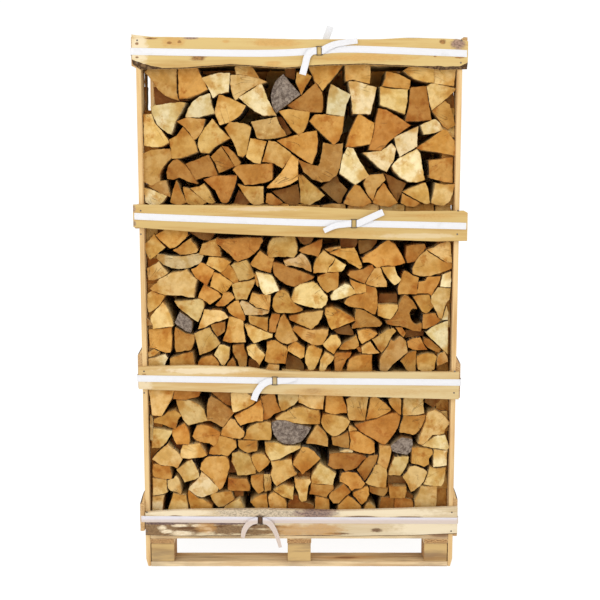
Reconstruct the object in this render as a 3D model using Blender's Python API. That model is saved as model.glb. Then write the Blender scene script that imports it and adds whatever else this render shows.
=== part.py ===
"""Pallet crate of stacked ash firewood, built as closed solids in metres, +Z up.

The crate stands on the ground at z = 0, centred on the origin, and its front is towards -Y.
The split ends of the front row are drawn one by one in FRONT_ENDS, in centimetres on the end plane.
"""
import math

import bmesh
import bpy
from mathutils.geometry import delaunay_2d_cdt

CM = 0.01
GAP = 0.0004                     # air left between pieces that rest on each other

# Crate, measured over the posts.
HALF_WIDTH = 0.600
POST_THICK = 0.0175
POST_DEPTH = 0.090
DECK_HALF_DEPTH = 0.400
BOARD_THICK = 0.020
SIDE_BOARD_THICK = 0.016
REAR_BOARD_HALF = 0.6164
POST_TOP = 2.010

# Pallet, from the ground up.
BOTTOM_BOARD_TOP = 0.020
BLOCK_TOP = 0.093
STRINGER_TOP = 0.113
DECK_TOP = 0.133
BLOCK_WIDTH = 0.090
STRINGER_WIDTH = 0.095
BOTTOM_BOARD_WIDTH = 0.095
DECK_BOARD_WIDTH = 0.128

# Wood pile: three rows of 25 cm logs, one behind the other, in three tiers.
LOG_LENGTH = 0.250
ROW_FRONTS = (-0.385, -0.125, 0.135)
PILE_HALF_WIDTH = 0.5805
TIER_LIMITS = (DECK_TOP + GAP, 0.728, 1.348, 1.990)
LOG_RELIEF = 0.045               # how far the log ends stand out of the solid row
SET_BACK = {"p": 0.001, "s": 0.002, "o": 0.005, "t": 0.004, "b": 0.010, "g": 0.006, "d": 0.032}
TRACED_MIDDLE, TRACED_SCALE = 60.5, 0.983    # the ends as drawn, fitted between the posts
BACK_LOG_SIZE = 0.140

# Strapping.
STRAP_HALF_WIDTH = 0.0125
STRAP_THICK = 0.0009
WIRE = 0.0022
FOLD_INSIDE = 0.0022             # inner radius of the fold round the buckle's side bar
STRAP_BACK = DECK_HALF_DEPTH + GAP + BOARD_THICK + 0.0005

SRGB = {
    "pallet": (0.47, 0.37, 0.27), "posts": (0.78, 0.66, 0.47), "boards": (0.86, 0.73, 0.50),
    "firewood": (0.82, 0.66, 0.42), "strap": (0.93, 0.93, 0.91), "buckle": (0.62, 0.60, 0.57),
}
ROUGHNESS = {"pallet": 0.8, "posts": 0.7, "boards": 0.6, "firewood": 0.75, "strap": 0.5, "buckle": 0.35}

# Log ends seen from the front: a tone (p pale, s straw, t tan, o orange, b brown, g grey,
# d deep in shade) and the corners x,z, clockwise. x runs from the left post, z from the ground.
FRONT_ENDS = """
s 1.6,70.3 11.3,70.2 10.5,66.9 8.7,64 6.3,60.3 2.9,60.6 2.4,63.5 2,67.7
b 11.8,70.4 21.7,70.3 20.8,67.7 18.4,67 15.8,66.3 12.6,66.4 11.2,66.8
s 12.4,65.9 15.8,66 16.8,66.2 18.9,65.5 21.3,64.3 22.9,62.4 23.8,59.8 24.2,58.2 21.1,57.4 17.1,56.5 15.8,57.2
  14.4,59.6 13.1,62.4
t 25.8,67.4 27.4,66.8 30,65.2 31.6,63.8 34.8,61.4 33.6,59.8 31.7,57.2 30.3,55.7 27.9,56.9 25.8,58 24.4,58.1
  24.3,60.9 24.3,64 24.9,66.4
b 26.1,69.3 33.8,69.2 33.3,66.9 33.6,63.8 31.8,64.2 29.9,65.8 27.8,67.5
s 33.9,68.8 40,69.1 41.6,67.7 43.6,66.4 42.6,64.9 40,63.3 38.2,62.7 35.5,61.6 34.6,61.8 34,63.5
o 3.4,58.5 7.4,60.2 8.8,61.6 11.8,62.1 13.8,60.1 12.5,58.2 11.5,54.9 10,55.3 6.6,56.8 3.4,57.6
s 3.2,55 7.4,54.7 10.2,54 10.2,53.2 8.7,50.7 7.6,49.1 5.5,47.4 2.4,47.4 2.6,50.3
p 2,60 2.8,59 2.6,50.5 1.9,51
o 10.5,54 11.8,55 15.3,56.7 16.3,55 17.1,53 17.2,50.3 16.8,48.8 14.2,48.6 12.1,48.9 11.1,50.3 10.5,52.2
o 20.3,55.9 22.1,56.4 24.5,55.8 27.6,54.5 29.3,53 28.6,51.1 27.8,48.8 26.8,48.1 25,49 21.6,49.5 19.2,50.6
  18.6,51.7 19.2,53.8
t 33.4,58.7 35,58.3 36.2,56.6 38.7,53.6 38.5,52 36.8,51 34.2,51.2 29.8,52.6 30.1,54.3 31.7,56.6
o 35.3,59.6 36.8,60.8 40,62.4 42.6,64 44.5,65.7 45.3,66 46.3,62 45.9,58.1 43.9,57.9 40,57.1 37.4,56.3
  36.4,57.2
b 45.6,67.2 48.2,68.4 50.7,68.6 51.5,65.3 53,61.7 50.5,60.5 49.5,59.4 47.6,58.2 46.3,58.2 46.7,62
t 39.8,54.3 41.6,55.8 43.9,57 47.4,57.5 49.1,56.9 49.4,54.3 49.5,51.7 48.9,50.5 43.9,50.4 40,50.7 38.6,50.8
  39.4,52.2
o 36.6,49.9 40,50.1 43.6,49.9 43.7,46.3 40,45.3 39.5,45.5 37.2,46.8 36.4,48
s 52.4,68.6 59.7,68.3 60,66.4 58.9,64.9 56.8,63.4 54.7,62.2 53.6,62.1 52.7,64.3 52.3,66.7
s 60.4,68.1 70.2,68 70,65.3 69.6,62.9 67.6,62.8 65,63.1 62.6,64.4 60.5,65.5
t 53.2,60.4 55.8,61.8 58.4,63.1 61.8,63.7 65,62.6 67.9,62.1 68.7,59.8 68.4,57.1 65,56.8 61.1,56.9 57.9,57.4
  54.7,58.4 51.6,58.4 51.2,59
g 49.8,57.2 51.8,58.1 55.8,58 58.4,56.9 62.4,56.1 64.9,55.2 64.4,53.8 62.9,51.4 61.1,49.5 58.4,48.7 54.7,48.7
  52.1,50.2 50.5,52.5 49.8,55.1
t 67.6,56.3 68.9,55.2 70.8,53.1 71.9,50.6 71.6,47.9 67.6,48.6 63.5,49.1 63.9,50.4 65.4,53.2
o 71.3,67.6 77.4,67.5 78.2,65.1 79.1,63 79.2,61.3 76.8,61.2 74.7,60.6 72.9,61 70.9,61.8 70.9,64.3
t 70,60.3 72.9,60.6 75,60.2 79.3,59 80.2,57.7 79.6,55.9 78.2,53.9 76.1,52.4 73.9,51.9 72.1,53 70.3,54.8
  69.1,57.2 69.5,59.3
s 79.2,66.5 80,67.2 87.5,67.1 87,63.5 86.2,58.4 84.7,58.1 81.6,58.3 80.4,58.6 79.7,59.9 79.4,63.5
o 88.7,67 91.6,66.9 94.2,65.1 96.6,62.7 96.4,62 94.7,61 91.3,59.4 88.9,58.9 87.2,58.8 87.7,62.2 88.3,64.8
t 95.8,66.7 100.3,66.7 100.5,63.5 100.3,60.6 98.5,62 97,63.5 96,65.1
s 102,66.7 109.1,66.7 109.2,64 109.5,61.2 107.4,60.4 103.7,60.2 101.6,60.4 101.4,63
o 101.6,59.8 105,59.8 110,60.1 109.9,58.2 108.4,55.1 106.6,52.8 105.3,52.4 102.6,53.1 100.4,53.6 100.4,55.9
  101.1,57.7
b 82.7,56.2 86.3,57.5 90.5,58.5 93.7,60 96.8,60.9 98.9,60.8 100.1,59.6 100.1,57.7 99.4,55.1 97.9,52.7
  96.2,50.3
  94.4,48.6 93.2,48.6 91.1,49.9 87.9,51.9 84.6,53.8
s 111.3,61.4 113.9,62.2 116.3,61.1 118.2,59.3 119.5,57.2 117.9,54.8 117.6,53.5 115.3,52.6 112.9,52.6
  111.1,50.4
  108.9,48.9 107.7,49.3 107.9,51.4 108.9,54 110.3,57.7 110.5,60.1
p 115.3,52.2 117.9,52.2 118.9,50.3 119.5,47.6 118.9,46.8 116.8,46.9 113.7,47.2 109.3,48.2 111.6,50.2
  113.7,51.7
d 110.3,66.6 116.8,66.6 115.2,64.3 113.9,62.6 111.6,63.8 110.5,64.8
d 117.4,65.3 119.5,65.9 119.5,59.5 117.8,61.7 116.4,63.5
g 98.4,49.6 101.1,51.4 103.2,51.2 105,50.4 105.4,48.8 104.6,45.9 103.2,44.7 99.5,45.1 97.5,46.2 97,47.8
b 73.5,51.1 76.8,52 79.7,53.3 80.3,50 80.1,47.2 79.5,47.1 76.8,47.7 74,48.6
o 80.4,53.6 82.6,53.8 84.4,53.3 86.8,51.7 89.4,50 90.2,49 90.2,45.6 88.7,44.7 85.3,45.2 82.4,46 80.7,46.7
  80.9,50
s 80.4,56 81.5,55.7 83,54.5 80.3,54.2
s 8.7,48.8 10.3,47.4 12.4,45.9 14.1,43 13.6,41.7 12.1,39.3 10.5,40.1 7.4,40.2 5.3,40.8 3.4,42.1 2.6,42.8
  3.4,44.3 5,45.9 7.4,48
d 9.8,49.8 11,48.5 13.7,48.2 13.3,45.3 12.7,45.9 10.9,47.4
s 14.7,48.2 16.8,48.5 21.1,49 22.1,47.5 22.9,46.5 23.7,44.4 22.4,43.7 19.5,43.4 16.8,43 14.4,43.5 13.6,44.6
  13.9,46.7
s 17.9,42.3 18.9,41.2 19.9,39.3 20.7,37 20.7,35.8 18.9,34.7 17.1,34.1 15.1,33.8 14.2,35.1 13.2,37 12.2,38.4
  14.2,40.2 16.3,41.8
o 2.9,40.4 3.9,40.8 6.3,40 8.9,39.8 9.6,37.5 9.9,35.5 9.6,34.8 6.3,34.8 3.2,35.5 2.4,36.5 2.4,38.6
s 2.6,35 7.6,34.4 7.9,32.2 7.8,30.7 8,29.7 6.3,28.8 2.6,28.5 2.5,31.7
s 8.4,34.2 10.5,34.9 11.6,35.8 12.8,34.9 13.4,32.2 13.6,30.1 13.2,28.7 11.8,29.4 9.2,30 8.3,31.2
p 2.4,27.6 6.7,28.2 6.3,25.7 5.6,20.5 2.1,20.5
s 10.5,28.8 13.2,28.3 15.2,28 15.7,26.2 16.2,23.3 16.2,20.5 8,20.5 8.5,23.3 9.7,26.2
p 21.8,37.5 23.2,36.6 25,35 26.5,33.2 28.2,31.2 27.6,29.7 25,28.4 21.8,27.4 20,27.7 18.4,28.9 16.8,30.4
  17.2,31.7 19.5,33.8 21.1,35.9
o 16.6,30 18.4,28.5 20,27.1 22.4,26.4 24.5,25 25.6,23.8 25.4,20.8 17.2,20.8 17.1,23.6 16.4,26.5 16.2,28.8
t 25.4,28 26.4,29 28.9,29.2 33.1,29.6 33.8,28.6 34.4,26.6 32.6,25.2 30.5,23.7 28.4,23.4 27.2,24.4 25.9,26.2
s 31.1,23.5 32.9,24.8 36.7,26.8 37.8,25.1 38.6,23.3 38.6,20.8 29.5,20.8
t 23.2,43 24.7,43.9 31.3,43.5 32.5,42 32.8,39.3 32,36.5 31.2,33.8 30,31.3 28.9,30.8 26.9,33.3 25.1,35.4
  22.5,37.6 21.4,38.8 21.9,41.2
o 28.9,51.8 30.3,51.8 34.1,50.6 35.2,49.8 35.4,47.5 34.1,45.9 32.1,44.2 29.7,44.5 26.6,44.4 25,44.9 25.4,46.5
  26.8,47.7 28,48.7 28.5,50.1
t 34.3,45 36.3,45.8 38.2,45.2 40,44.9 41.2,43.6 41.6,42 43.2,38.8 43,37.2 39.5,36.4 36.2,36.4 35.6,38
  34.6,40.1
  33.8,41.7 34,43.8
b 32.5,34.9 35.3,34.7 39.5,34.4 40.8,32.2 40.6,30 39.7,29.7 33.4,29.9 32.5,30.2 32.2,32.2
d 33.1,41.2 33.9,40.6 35.2,38 35.3,36.6 32.5,36.6 33.1,39
d 34.6,29 38,29.2 37.9,27.2 35.5,26.7 34.8,27.1
t 41.8,43.6 43.2,44.8 45.3,45.1 46.8,44.5 48.6,41.7 48.1,40.4 46.3,38.8 44.7,37.7 43.9,38.1 42.7,40.4
  41.9,42.2
s 47.2,49.2 51.8,49.4 54.2,48.1 61,47.9 61,47.2 58.4,45.9 55.3,44.4 52.9,42.9 49.3,42.4 48.3,43.7 47.3,45.7
t 49.6,41.7 53.2,42.1 55.8,42.6 57.1,42.4 57.8,40.1 58.6,37.8 59.4,36.8 57.1,35.5 53.9,33.7 51.6,32.2
  50.5,33.1
  49.7,35.1 49.3,36.7 50,39.3
o 60.6,45.4 61.8,47.4 63.7,47.2 66.3,45.8 68.6,42.8 67.3,41.3 65,39.2 62.9,37.6 61.8,36.7 60.5,38.1 58.3,40.4
  58.3,41.7 59.5,43.6
s 68.8,41 70,40.3 72.1,39 74.8,36.7 74.3,34.6 73.6,32.4 70.3,32.7 65.6,33.1 65.4,35.4 66.4,37.8 67.7,39.8
o 65.4,32.5 68.9,32.3 73.8,32 74,30.7 72.5,29.1 71.2,27.4 67.9,28.1 64.8,28.7 65.1,30.7
s 58.8,34.9 60.3,34.7 64.5,34.7 64.9,33.8 64.1,32.2 63.6,28.3 63.1,26.3 61.6,25.8 60.4,27 60.1,29.3 59,31.7
d 60.3,36.2 64.9,36 64.9,35.1 60,35.2
s 50.6,30.4 51.9,31.6 54.2,32.6 56.8,32.1 58.1,31.5 58.1,28.6 57.8,26.8 56.3,27.1 54.3,27.6 52.2,29.1
t 48.8,28.5 50.4,29.2 52.4,28.4 54.6,26.8 55.4,24.8 55.2,20.8 48.6,20.8 48.8,23.6 48.4,25.9 48.2,27.5
o 41.7,35.7 43.4,36.3 46.2,36.4 46.2,33.3 46.1,30.1 44.5,28.8 43.3,29.7 41.9,31.7 41.3,33.6
t 46.8,36.5 48.9,36.6 49.3,34.9 49,30.5 47.1,30.1 46.7,33.3
o 41.4,25.4 42.7,27.1 44.5,27.9 47.3,28.4 47.6,26.2 48,23.3 47.8,20.8 43,20.8 42.9,23.3
b 58.4,27.8 59.7,27.6 60.3,26 62,25.3 64.9,24.5 66.1,23.5 66,20.8 56,20.8 55.9,24.2 56.9,25.6
o 67.4,27.4 70.3,26.9 72.2,26.1 72.3,20.8 66.6,20.8 66.9,23.8 66.9,25.7
o 74.5,30 76.8,31.6 78.2,32.6 79.8,30.7 80.6,29.6 79.9,28.6 78.2,27.2 76.1,25.2 74.2,25.2 72.7,26.8 72.5,28
  73.3,29.3
o 76.9,35.7 77.9,37.2 80,37.7 81.1,37.6 83.1,37.3 84.6,35.7 86.4,33 85,31.3 82.6,30.9 81.4,30.2 80.1,31.9
  78.4,33.1 76.8,33.9
b 72.7,44.6 73.9,45 76.8,45.1 80,45 82.1,44.9 85.2,44.1 86.9,43.2 85.2,41.6 83.3,39.4 81.6,38.5 79,38.1
  77.9,38.9 75,38.8 73.8,39 72.2,40.4 72.5,42.8
p 76.8,45.7 78.5,46.5 80.3,46.6 81.8,46 81.5,45.5
b 87.2,43 88.7,43.9 91.5,44 91,41.2 89.5,38.6 87.8,35.4 86.6,34 85.1,35.9 83.9,38 85.6,40.7
t 90.9,40.3 91.8,40.5 94.9,38.5 95.4,36.5 95,33.3 94.9,31.3 91.3,31.6 88.3,32.5 87,33.4 88.3,35.4 89.7,38
t 92.5,48 94.7,48.1 96.5,47.6 97,46.2 96.5,43.3 95.7,40.1 95,38.8 93.3,39.9 91.8,41.1 92.3,44.1
s 98.4,43.5 103.6,43.5 103.7,41.7 102.3,38.6 100.5,36.3 96.2,36.6 96.4,38.8 97.5,41.7
o 105.3,47.2 107.6,47.5 111.1,47.1 112.8,46.4 113.1,44.9 111.7,43 111.7,40.8 110,40 107.1,40.8 105.1,41.3
  105.1,44.1
p 113.9,46.4 118.9,46.1 118.8,43.3 118.6,40.5 116.3,39.8 113.9,39.8 113.7,42.8
s 104.7,39.6 106.8,40 109.9,38.7 111.1,37.5 109.9,33.8 108.3,31.8 106.3,30.3 105,29.8 103.5,32.8 101.8,35.7
  103.3,37.8
s 112.4,39.5 115,38.8 118.3,39.2 118.3,36.5 117.8,33.3 116.7,32.1 112.9,32.1 110.2,32.8 111.2,35.4 111.9,37.8
s 109,31.6 111.6,31.7 115,31.5 115.2,28.3 115,23.6 114.9,20.6 105.8,20.6 106.7,23.6 106.4,25.9 108,29.1
o 96.4,31.6 102.8,31.6 103.1,29.9 102.3,27.4 100,27.1 96.9,27.2 96.4,29.1
b 88.8,31.3 90.5,31.1 95.7,30.8 95.7,29.6 94.1,27.7 91.8,28.1 89.8,28.7 88.8,29.6
o 82.5,29.1 85.2,30.6 87.5,31.8 88,31.2 88.3,28.6 87.3,26 85.5,24.3 84.8,24.7 83.5,26.5 82.3,28
b 93.4,27 96.3,27.1 98.1,26.6 98.1,23.6 98,20.8 92.5,20.8 92.6,23.6
b 98.8,26.4 102.4,26.7 104.7,26.1 105.7,25.3 106,23.6 105.6,20.8 98.5,20.8
o 78.1,26 80,27.6 81.6,27 83.4,25.3 84.9,23.5 84.8,20.8 75.8,20.8 76.4,24.3
s 87.3,24.4 88.3,25 90.7,23 90.7,20.8 86,20.8
d 96.2,35 102,34.6 102.9,32.2 96.2,32.3
d 103.5,28.9 104.5,28.5 105.9,26.8 105.6,25.9 103.3,27
d 1.2,132.5 8.8,132.2 5.2,130.2 1.4,130.4
t 4.7,130.1 5.3,129.2 7,127.2 8.6,125.3 6.6,123.5 5,122 2.9,120.9 2.2,121.7 1.3,124 1.2,126.4 2.9,128.1
d 1.2,129.8 4,130 1.6,127.4
o 5.6,129.9 8,131.4 10.5,132 17.3,131.4 17.5,130 15.8,128 14.2,126.5 12.4,125.2 10.8,125.1 8.7,126.7 7,128
t 18.7,128.5 19.1,127.6 20.8,126.1 21.2,124.3 20.8,123.6 17.9,122.7 14.7,122.5 13.2,123.4 12.2,124.2
  13.4,124.8 14.7,125.9 17.1,127.7
d 17.9,131.1 20,131.8 27.9,131.2 27.1,129.3 25.8,127.9 23.7,127.9 21.8,128.6 20,129.8
t 28.6,128.4 28.8,126.1 29.7,125.2 30.1,121.9 26.3,122.2 23.4,122.6 22.2,122.9 22.8,125.1 23.3,126.3 25,127.1
  26.8,127.9
p 6.2,122.5 7.6,122.6 8.9,122.2 11.8,121.9 15,121.8 18.4,122.3 21.6,122.9 22.9,122.6 23.3,121.9 22.9,120.6
  22.1,119.3 20,118.6 19.5,118.1 17.1,117.4 14.7,117.2 12.1,117.4 9.5,118.2 7.9,119.2 6.3,120.6 5.9,121.4
s 5,119 6.4,119.6 7.6,118.1 9.2,116.5 9.7,115.6 8.7,114.7 6.3,113.5 4.5,113 2.5,113 2.1,114.6 2,117.2
  3.4,118.1
d 1.3,121.2 5.5,120.7 3.9,119.3 1.8,118.2
s 17.1,116.8 18.2,115.6 19.6,114.2 20.7,113 20.3,110.9 19.9,107.7 19.6,106.4 17.9,106.3 14.7,107.1 11.8,107.1
  8.7,107.2 6.1,108 3.9,108.8 2.9,109.6 3.7,110.6 5.5,111.8 6.4,113.2 8.9,114.4 11.1,115.6 13.2,116.1
  15,116.1
t 1.8,107.4 3.4,108.5 5.5,107.7 8.2,106.8 7.6,105.4 6.6,103.7 5.1,102.2 3.7,101.2 2.1,100.6 1.6,102
o 24.2,119 24.9,118.2 27.4,116.5 27.2,115.3 25.9,113.2 24.6,111 22.6,112.3 20.5,113.8 19.5,115.3 19.1,116.8
  20.8,117.7 22.6,119.3
t 25.3,120.6 25.7,121.4 28.9,121.4 31.6,121 33.8,119.6 32.9,118.4 31.3,116.4 30.3,116 28.7,116.8 26.3,117.8
  25,118.9
o 33.4,118.5 34.5,117.7 36.1,115.6 37,113.2 36.7,112.2 35.5,111.8 33.9,112.8 31.8,114.2 30.4,115.6 31.6,116.7
o 27.6,115.6 29.7,115.2 31.6,113.9 33.9,112.4 34.5,111.6 33.7,110.3 32,108.4 30.8,107.8 29.2,108.6 27.6,109.7
  26.3,110.4 26.6,112.5 27.1,114.3
o 28.8,128.8 30,128.3 35.5,128.6 40,128.9 46,128.6 46.3,127.6 45.5,126.4 44.9,124.6 43.2,123 41.3,121.7
  40,121 38.9,120.7 36.8,120.1 35.5,120.7 33.7,122.7 31.8,124.3 30.2,125.8 29,126.8
t 34.5,118.5 35.3,119.3 37.4,119.7 40,120.3 40.8,119.7 41.6,118.2 42.6,115.9 43.2,114.6 41.6,113.2 38.9,112.8
  37.4,112.7 36.8,114 35.8,115.9
o 23.8,110.9 25.3,110.1 27.6,109 29.2,108 29.9,106.5 27.9,104.9 25.9,103.7 24.5,104.4 22.9,105.5 21.6,106.2
  21.8,107.7 22.6,109.3
o 31.3,107.7 32.9,108.2 34.2,107.7 35.2,106.2 33.9,104.7 31.6,103.1 29.2,102.8 28.4,103.3 29.5,104.7 30.5,106
t 34.7,111.1 36.8,111.9 40,112.3 43.3,112.9 42.9,111.1 41.6,108.8 40.5,106.6 40,105.7 38.2,105.6 36.1,105.5
  35.6,106.7 35,108.8
t 49.3,127.7 50.5,128.9 54.7,129.3 58.8,129 59.5,126.9 59.7,125.1 59.6,123 58.4,121.6 55.8,121.8 51.8,121.9
  50.5,121.6 48.8,121.9 48.3,123.5 48.6,125.9
d 59.9,129.2 60.7,127.4 61.9,126.4 63.2,126.1 64.4,126.5 65.3,127.5 66.2,129.4
b 69.2,128.2 69.2,125.6 68.4,123.5 67.8,121.8 65,122.5 61.8,123.1 60.7,124 61.1,124.8 63.7,125.9 66.3,127.1
o 45.4,123.8 47.1,122.7 48.9,121.6 50.5,120.9 50.4,119.3 49.7,117.2 49.3,115.8 47.4,116.1 45.3,116.8 42.9,118
  41.8,118.9 42.6,120.6 44.2,122.5
p 54.7,120.1 56.8,120.9 59.5,121.5 61.3,122.7 62.6,122.2 63.9,120.4 64.9,118.2 65,116.3 63.4,116.6 62.1,117.6
  60.3,117.8 58.4,118.4 56.8,118.6 55.5,118.4
b 50.5,119.3 51.8,119.3 53.9,118.8 55.5,117.9 58.4,117 61.1,116.1 63.7,115.1 66,113.9 65.3,113 62.6,111.9
  60,110.8 58.4,110.3 55.8,110.9 53.2,112.5 51.2,114.3 50.4,116.1 50.3,118
p 43.9,115.7 45.8,115.5 48.7,115 50,114.4 50.8,113 51.8,110.9 52.4,109 50.5,108.2 48.7,107.5 47.6,107.3
  46.6,108 45.5,109.8 45,111.9 44.5,114
t 43.3,115.3 44,114.6 44.7,111.9 44.5,110.6 43.9,111.2
t 70,123.9 71.3,123 73.9,121.3 73.6,119.6 71.8,117.9 71,116 68.4,115.8 66.3,115.8 66.1,117.2 66.3,119.3
  67.4,121.1 68.7,122.7
s 74.5,121.1 76.6,119.8 78.2,118.5 77.9,117.2 76.8,116.2 74.2,116 71.6,116.2 72.2,117.6 74,119.4
o 71.3,115.5 75.5,115.7 75.7,113.5 75.7,110.9 75,109.3 72.9,108.8 71.3,108.3 70,108.9 68.7,110.6 67.6,112.7
  67.8,113.7 69.5,114.8
s 62.9,111.7 66.3,112.1 67.6,111.3 68.9,109.6 70.3,107.7 71.4,106.6 71.5,105.3 70.8,103.6 69.2,102.3
  67.1,102.2
  64.2,102.7 60.8,103.6 58.4,104.5 57.7,105.7 58.2,108 58.9,109.8 60.6,111
p 74.2,108.8 76.1,110.1 78.2,111.3 80,111.1 80.8,110.3 81.6,109.3 82.3,107.9 80,106.8 77.9,106.1 75.5,105.5
  73.2,105.3 72.9,106.7
t 80.5,112.9 82.6,112 85,111.3 86.1,110.9 86.1,108.4 84.5,107.8 82.7,107.9 81.8,109.6 80.5,111.2
b 80.2,116 82.6,116.4 85.3,116.9 87.6,118.2 88.7,118.4 89.2,117.2 88.2,115.6 86.9,113.5 85.8,111.7 83.4,112.5
  81.1,113.5 79.6,114.8
o 72.6,123.2 75,124.4 76.8,124.8 80,124.9 81.6,125 82.4,124 83.4,121.9 84.5,119.3 84.7,117.9 83.9,117.1
  82.4,118 80,119.3 78.2,120.8 75.5,121.9
s 70.6,124.5 72,124.9 76.4,125.6 76.4,125 74,124.7 72.4,123.8
d 76.7,128.4 83,128 83,126.5 82,125.3 76.8,125.3
d 83.7,127.6 90.4,127.8 90.3,126.7 88.7,124.8 86.6,123.5 84.2,122.7 83.6,124.8
o 93.7,127.6 95.8,127.4 97.4,126.6 98.9,124.3 100.3,121.9 101.1,119.6 99.7,118.8 97.1,118.3 94.7,118.4
  92.4,118.2 90.5,117.8 89.2,118.7 87.6,119.6 85.3,119.9 84.9,121.1 86.3,122.5 88.7,123.9 90.5,125.2
  91.8,126.5
b 102.1,125.6 105,126.3 108.7,126.3 109.1,125.1 108.2,123.5 106.7,121.7 104.7,119.8 102.4,119.6 101.6,121.5
s 110,124.4 112.4,125.2 113.9,126.4 116.8,127.3 118.7,127.1 118.9,123.5 119.1,119.7 117.5,119.5 116.2,120.3
  113.6,122
t 109.5,124.1 111.1,123 113.7,121.4 116.3,119.8 119.2,119.1 119.2,117.5 116.8,116.3 113.9,115.4 111.1,114.5
  107.6,114.4 105.8,114.7 104.5,115.6 104.2,117.2 105,119.3 106.3,121.4 107.9,123
s 92.6,117.7 94.7,117.9 97.1,117.8 97.6,116.9 98.4,114.8 99.6,113 98.9,111.9 97.4,111.3 96.1,112.2 94.5,114
  93.3,115.9
t 89.7,117 91.6,117.4 92.3,116.6 92.5,115.4 93.4,113.5 94.3,112.2 94.2,110.4 92.4,110.2 90.3,110.2 88.2,110.7
  86.4,111.4 86.9,113 88.3,115.1
o 86.5,110.7 87.9,110.2 90,109.7 90.5,108.8 90.8,106.4 90.8,103.9 90.7,102 89.9,99.9 89.2,99.9 87.6,100.7
  85.3,102 82.6,102.3 80,102.7 78.4,103.9 79,105.3 80.2,106.4 82.6,107.3 85,107.5 86.4,108.2
b 101.1,116.1 102.6,115.9 104.5,114.5 106.5,113.6 106.3,111.1 105.9,107.6 102.9,107.5 99.2,107.6 98.7,109.6
  99.2,111.1 100,113.2 100.5,115.1
o 106.8,111.9 109.2,112.5 110.3,113.9 112.4,114.1 114.9,114.2 114.9,113 113.9,110.9 112.6,108.8 111.7,107
  110.8,107.7 107.6,107.8 106.3,107.9 106.6,109.8
p 116.1,114.8 118.9,115.9 119.2,113.5 118.9,110.4 116.8,110.3 115.3,110.6 115.4,112.2
s 114.5,109.9 116.8,109.8 118.9,109.6 118.9,106.4 118.7,105.5 117.6,104.1 116.8,102.3 115.8,98.2 115,98.4
  113.9,100.5 112.7,102.8 111.7,104.4 111.7,106.5 112.8,108
o 105.8,106.8 108.4,107.2 110.8,107 111.5,105.5 112.4,102.6 111.3,101.2 110,100.1 108.4,100.7 107.1,102.6
  105.8,104.7 105.1,106.2
o 101.6,106.9 102.9,106.2 104.5,104.7 106.1,102.3 106.2,101.7 104.5,102 103.7,101 103.2,100.2 103.7,98.6
  104.2,97.3 105,96.2 106.3,95.6 107.9,96 108.2,94.8 107.6,93.3 105,93.3 102.4,94.4 99.7,95.3 96.8,95.4
  95,96.2
  94.6,97.1 96.3,97.8 97.9,99.4 98.9,101.2 99.5,103.6 100.3,105.5
t 91.3,103.3 94.7,103.6 98.4,103.1 98.7,102.2 98.1,100.7 96.8,98.9 95.8,98.1 93.7,98.3 91.4,99.4 91.1,101
d 92,107 98.4,107 98.7,104 91.6,104
o 82.9,101.4 83.9,101.6 86.1,101 87.9,99.7 90,98.5 91.8,97.2 92.4,96 91.8,95.2 90,94.9 86.6,94.8 82.6,94.4
  81.3,94.2 81.4,95.2 82.4,96.5 82.2,98.1 82.3,99.9
o 71.2,102 72.9,102.5 75.3,101.9 77.9,100.6 80,99.3 81.6,98.3 82,97.3 80,96.4 78.2,95.7 75.5,94.5 73.2,94
  72.4,94.7 71.6,97 70.6,99.7 70.7,101
t 56.9,98.6 57.9,99.1 60,99.7 62.4,100.2 66.3,100.6 68.4,101.1 69.6,100.8 69.7,99.7 68.9,97.8 67.6,96
  66.1,94.6 65,94.1 63.2,94.8 61.1,95.7 58.7,96.8 57.1,97.8
t 58.9,94.9 60.8,94.8 62.9,94.1 64.7,93.6 67.4,93.7 69.7,93.9 71.6,93.5 71.6,91.8 70.5,89.7 69.5,88.3
  67.4,87.8
  65.5,88.1 63.7,89.1 61.1,90.7 59.6,92.3 58.1,93.9
t 54.5,99.5 55.1,98.9 56.1,97.3 57.1,95.4 58,93.1 59.4,90.7 59.7,89.8 58.4,89 55.8,88.3 53.9,88.7 52.1,89.9
  51.3,91.2 51.7,93.3 52.5,96 53.3,98.3
b 50,99.4 51.3,99.8 52.8,99.4 52.5,97.3 51.7,95.2 51.1,92.8 50,92.7 48.9,92.9 48.8,94.9 49.1,97.3
o 41.1,99.1 42.6,99 45.3,98.6 48.1,98.1 48.2,95.7 47.9,93.3 46.1,94.2 43.7,95.3 41.6,96.1 41,97
s 39.6,95.6 40.5,95.7 42.1,95.3 44.7,94.1 47.6,92.9 49.8,91.8 49.8,91 47.9,90.3 45.3,89.5 42.9,88.8 41.6,90.2
  40.5,92 40,93.9
t 42.4,107.7 44.7,107.4 49.2,107 49.4,105.5 49.1,103.1 48.6,101.6 46.1,102 43.9,102.5 42.6,103.7 41.4,104.6
  41.6,106
p 37.6,103.9 38.2,104.7 40,104.4 41.3,103.6 43.2,102.2 46.1,101.5 48.6,101 48.2,100.2 46.1,99.6 43.2,99.5
  40,99.5 39.5,99.7 38.7,101.8
o 52.6,108.8 54.7,108.9 56.4,107.6 57.4,105.4 58.9,103.6 60.8,102.3 61.5,101.4 60.8,100.8 58.4,100.3
  54.5,100.3 52.1,100.3 50.8,101.2 50.1,103.1 50.4,105.5 51.1,106.9 51.8,108
s 12.4,104.7 14.7,104.8 18.4,105.1 21.6,105.6 23.2,104.9 23.7,103.3 23.1,101.2 22.1,98.9 21.1,97 19.5,97.7
  17.4,99.5 15,101.3 13.2,103.1
g 14.2,100.2 15.8,99.5 17.9,98 18.8,96.8 18.7,94.4 18.2,92.8 16.3,93.3 14.7,94.4 12.9,95.5 12.4,96.5 13,98.3
s 23.9,101.4 26.3,101.4 29.7,101.2 31.6,100.4 32.8,98.6 31.1,97.7 28.4,96.9 25.8,95.8 23.4,94.5 21.4,94.2
  21.8,96 22.9,98.9
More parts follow.
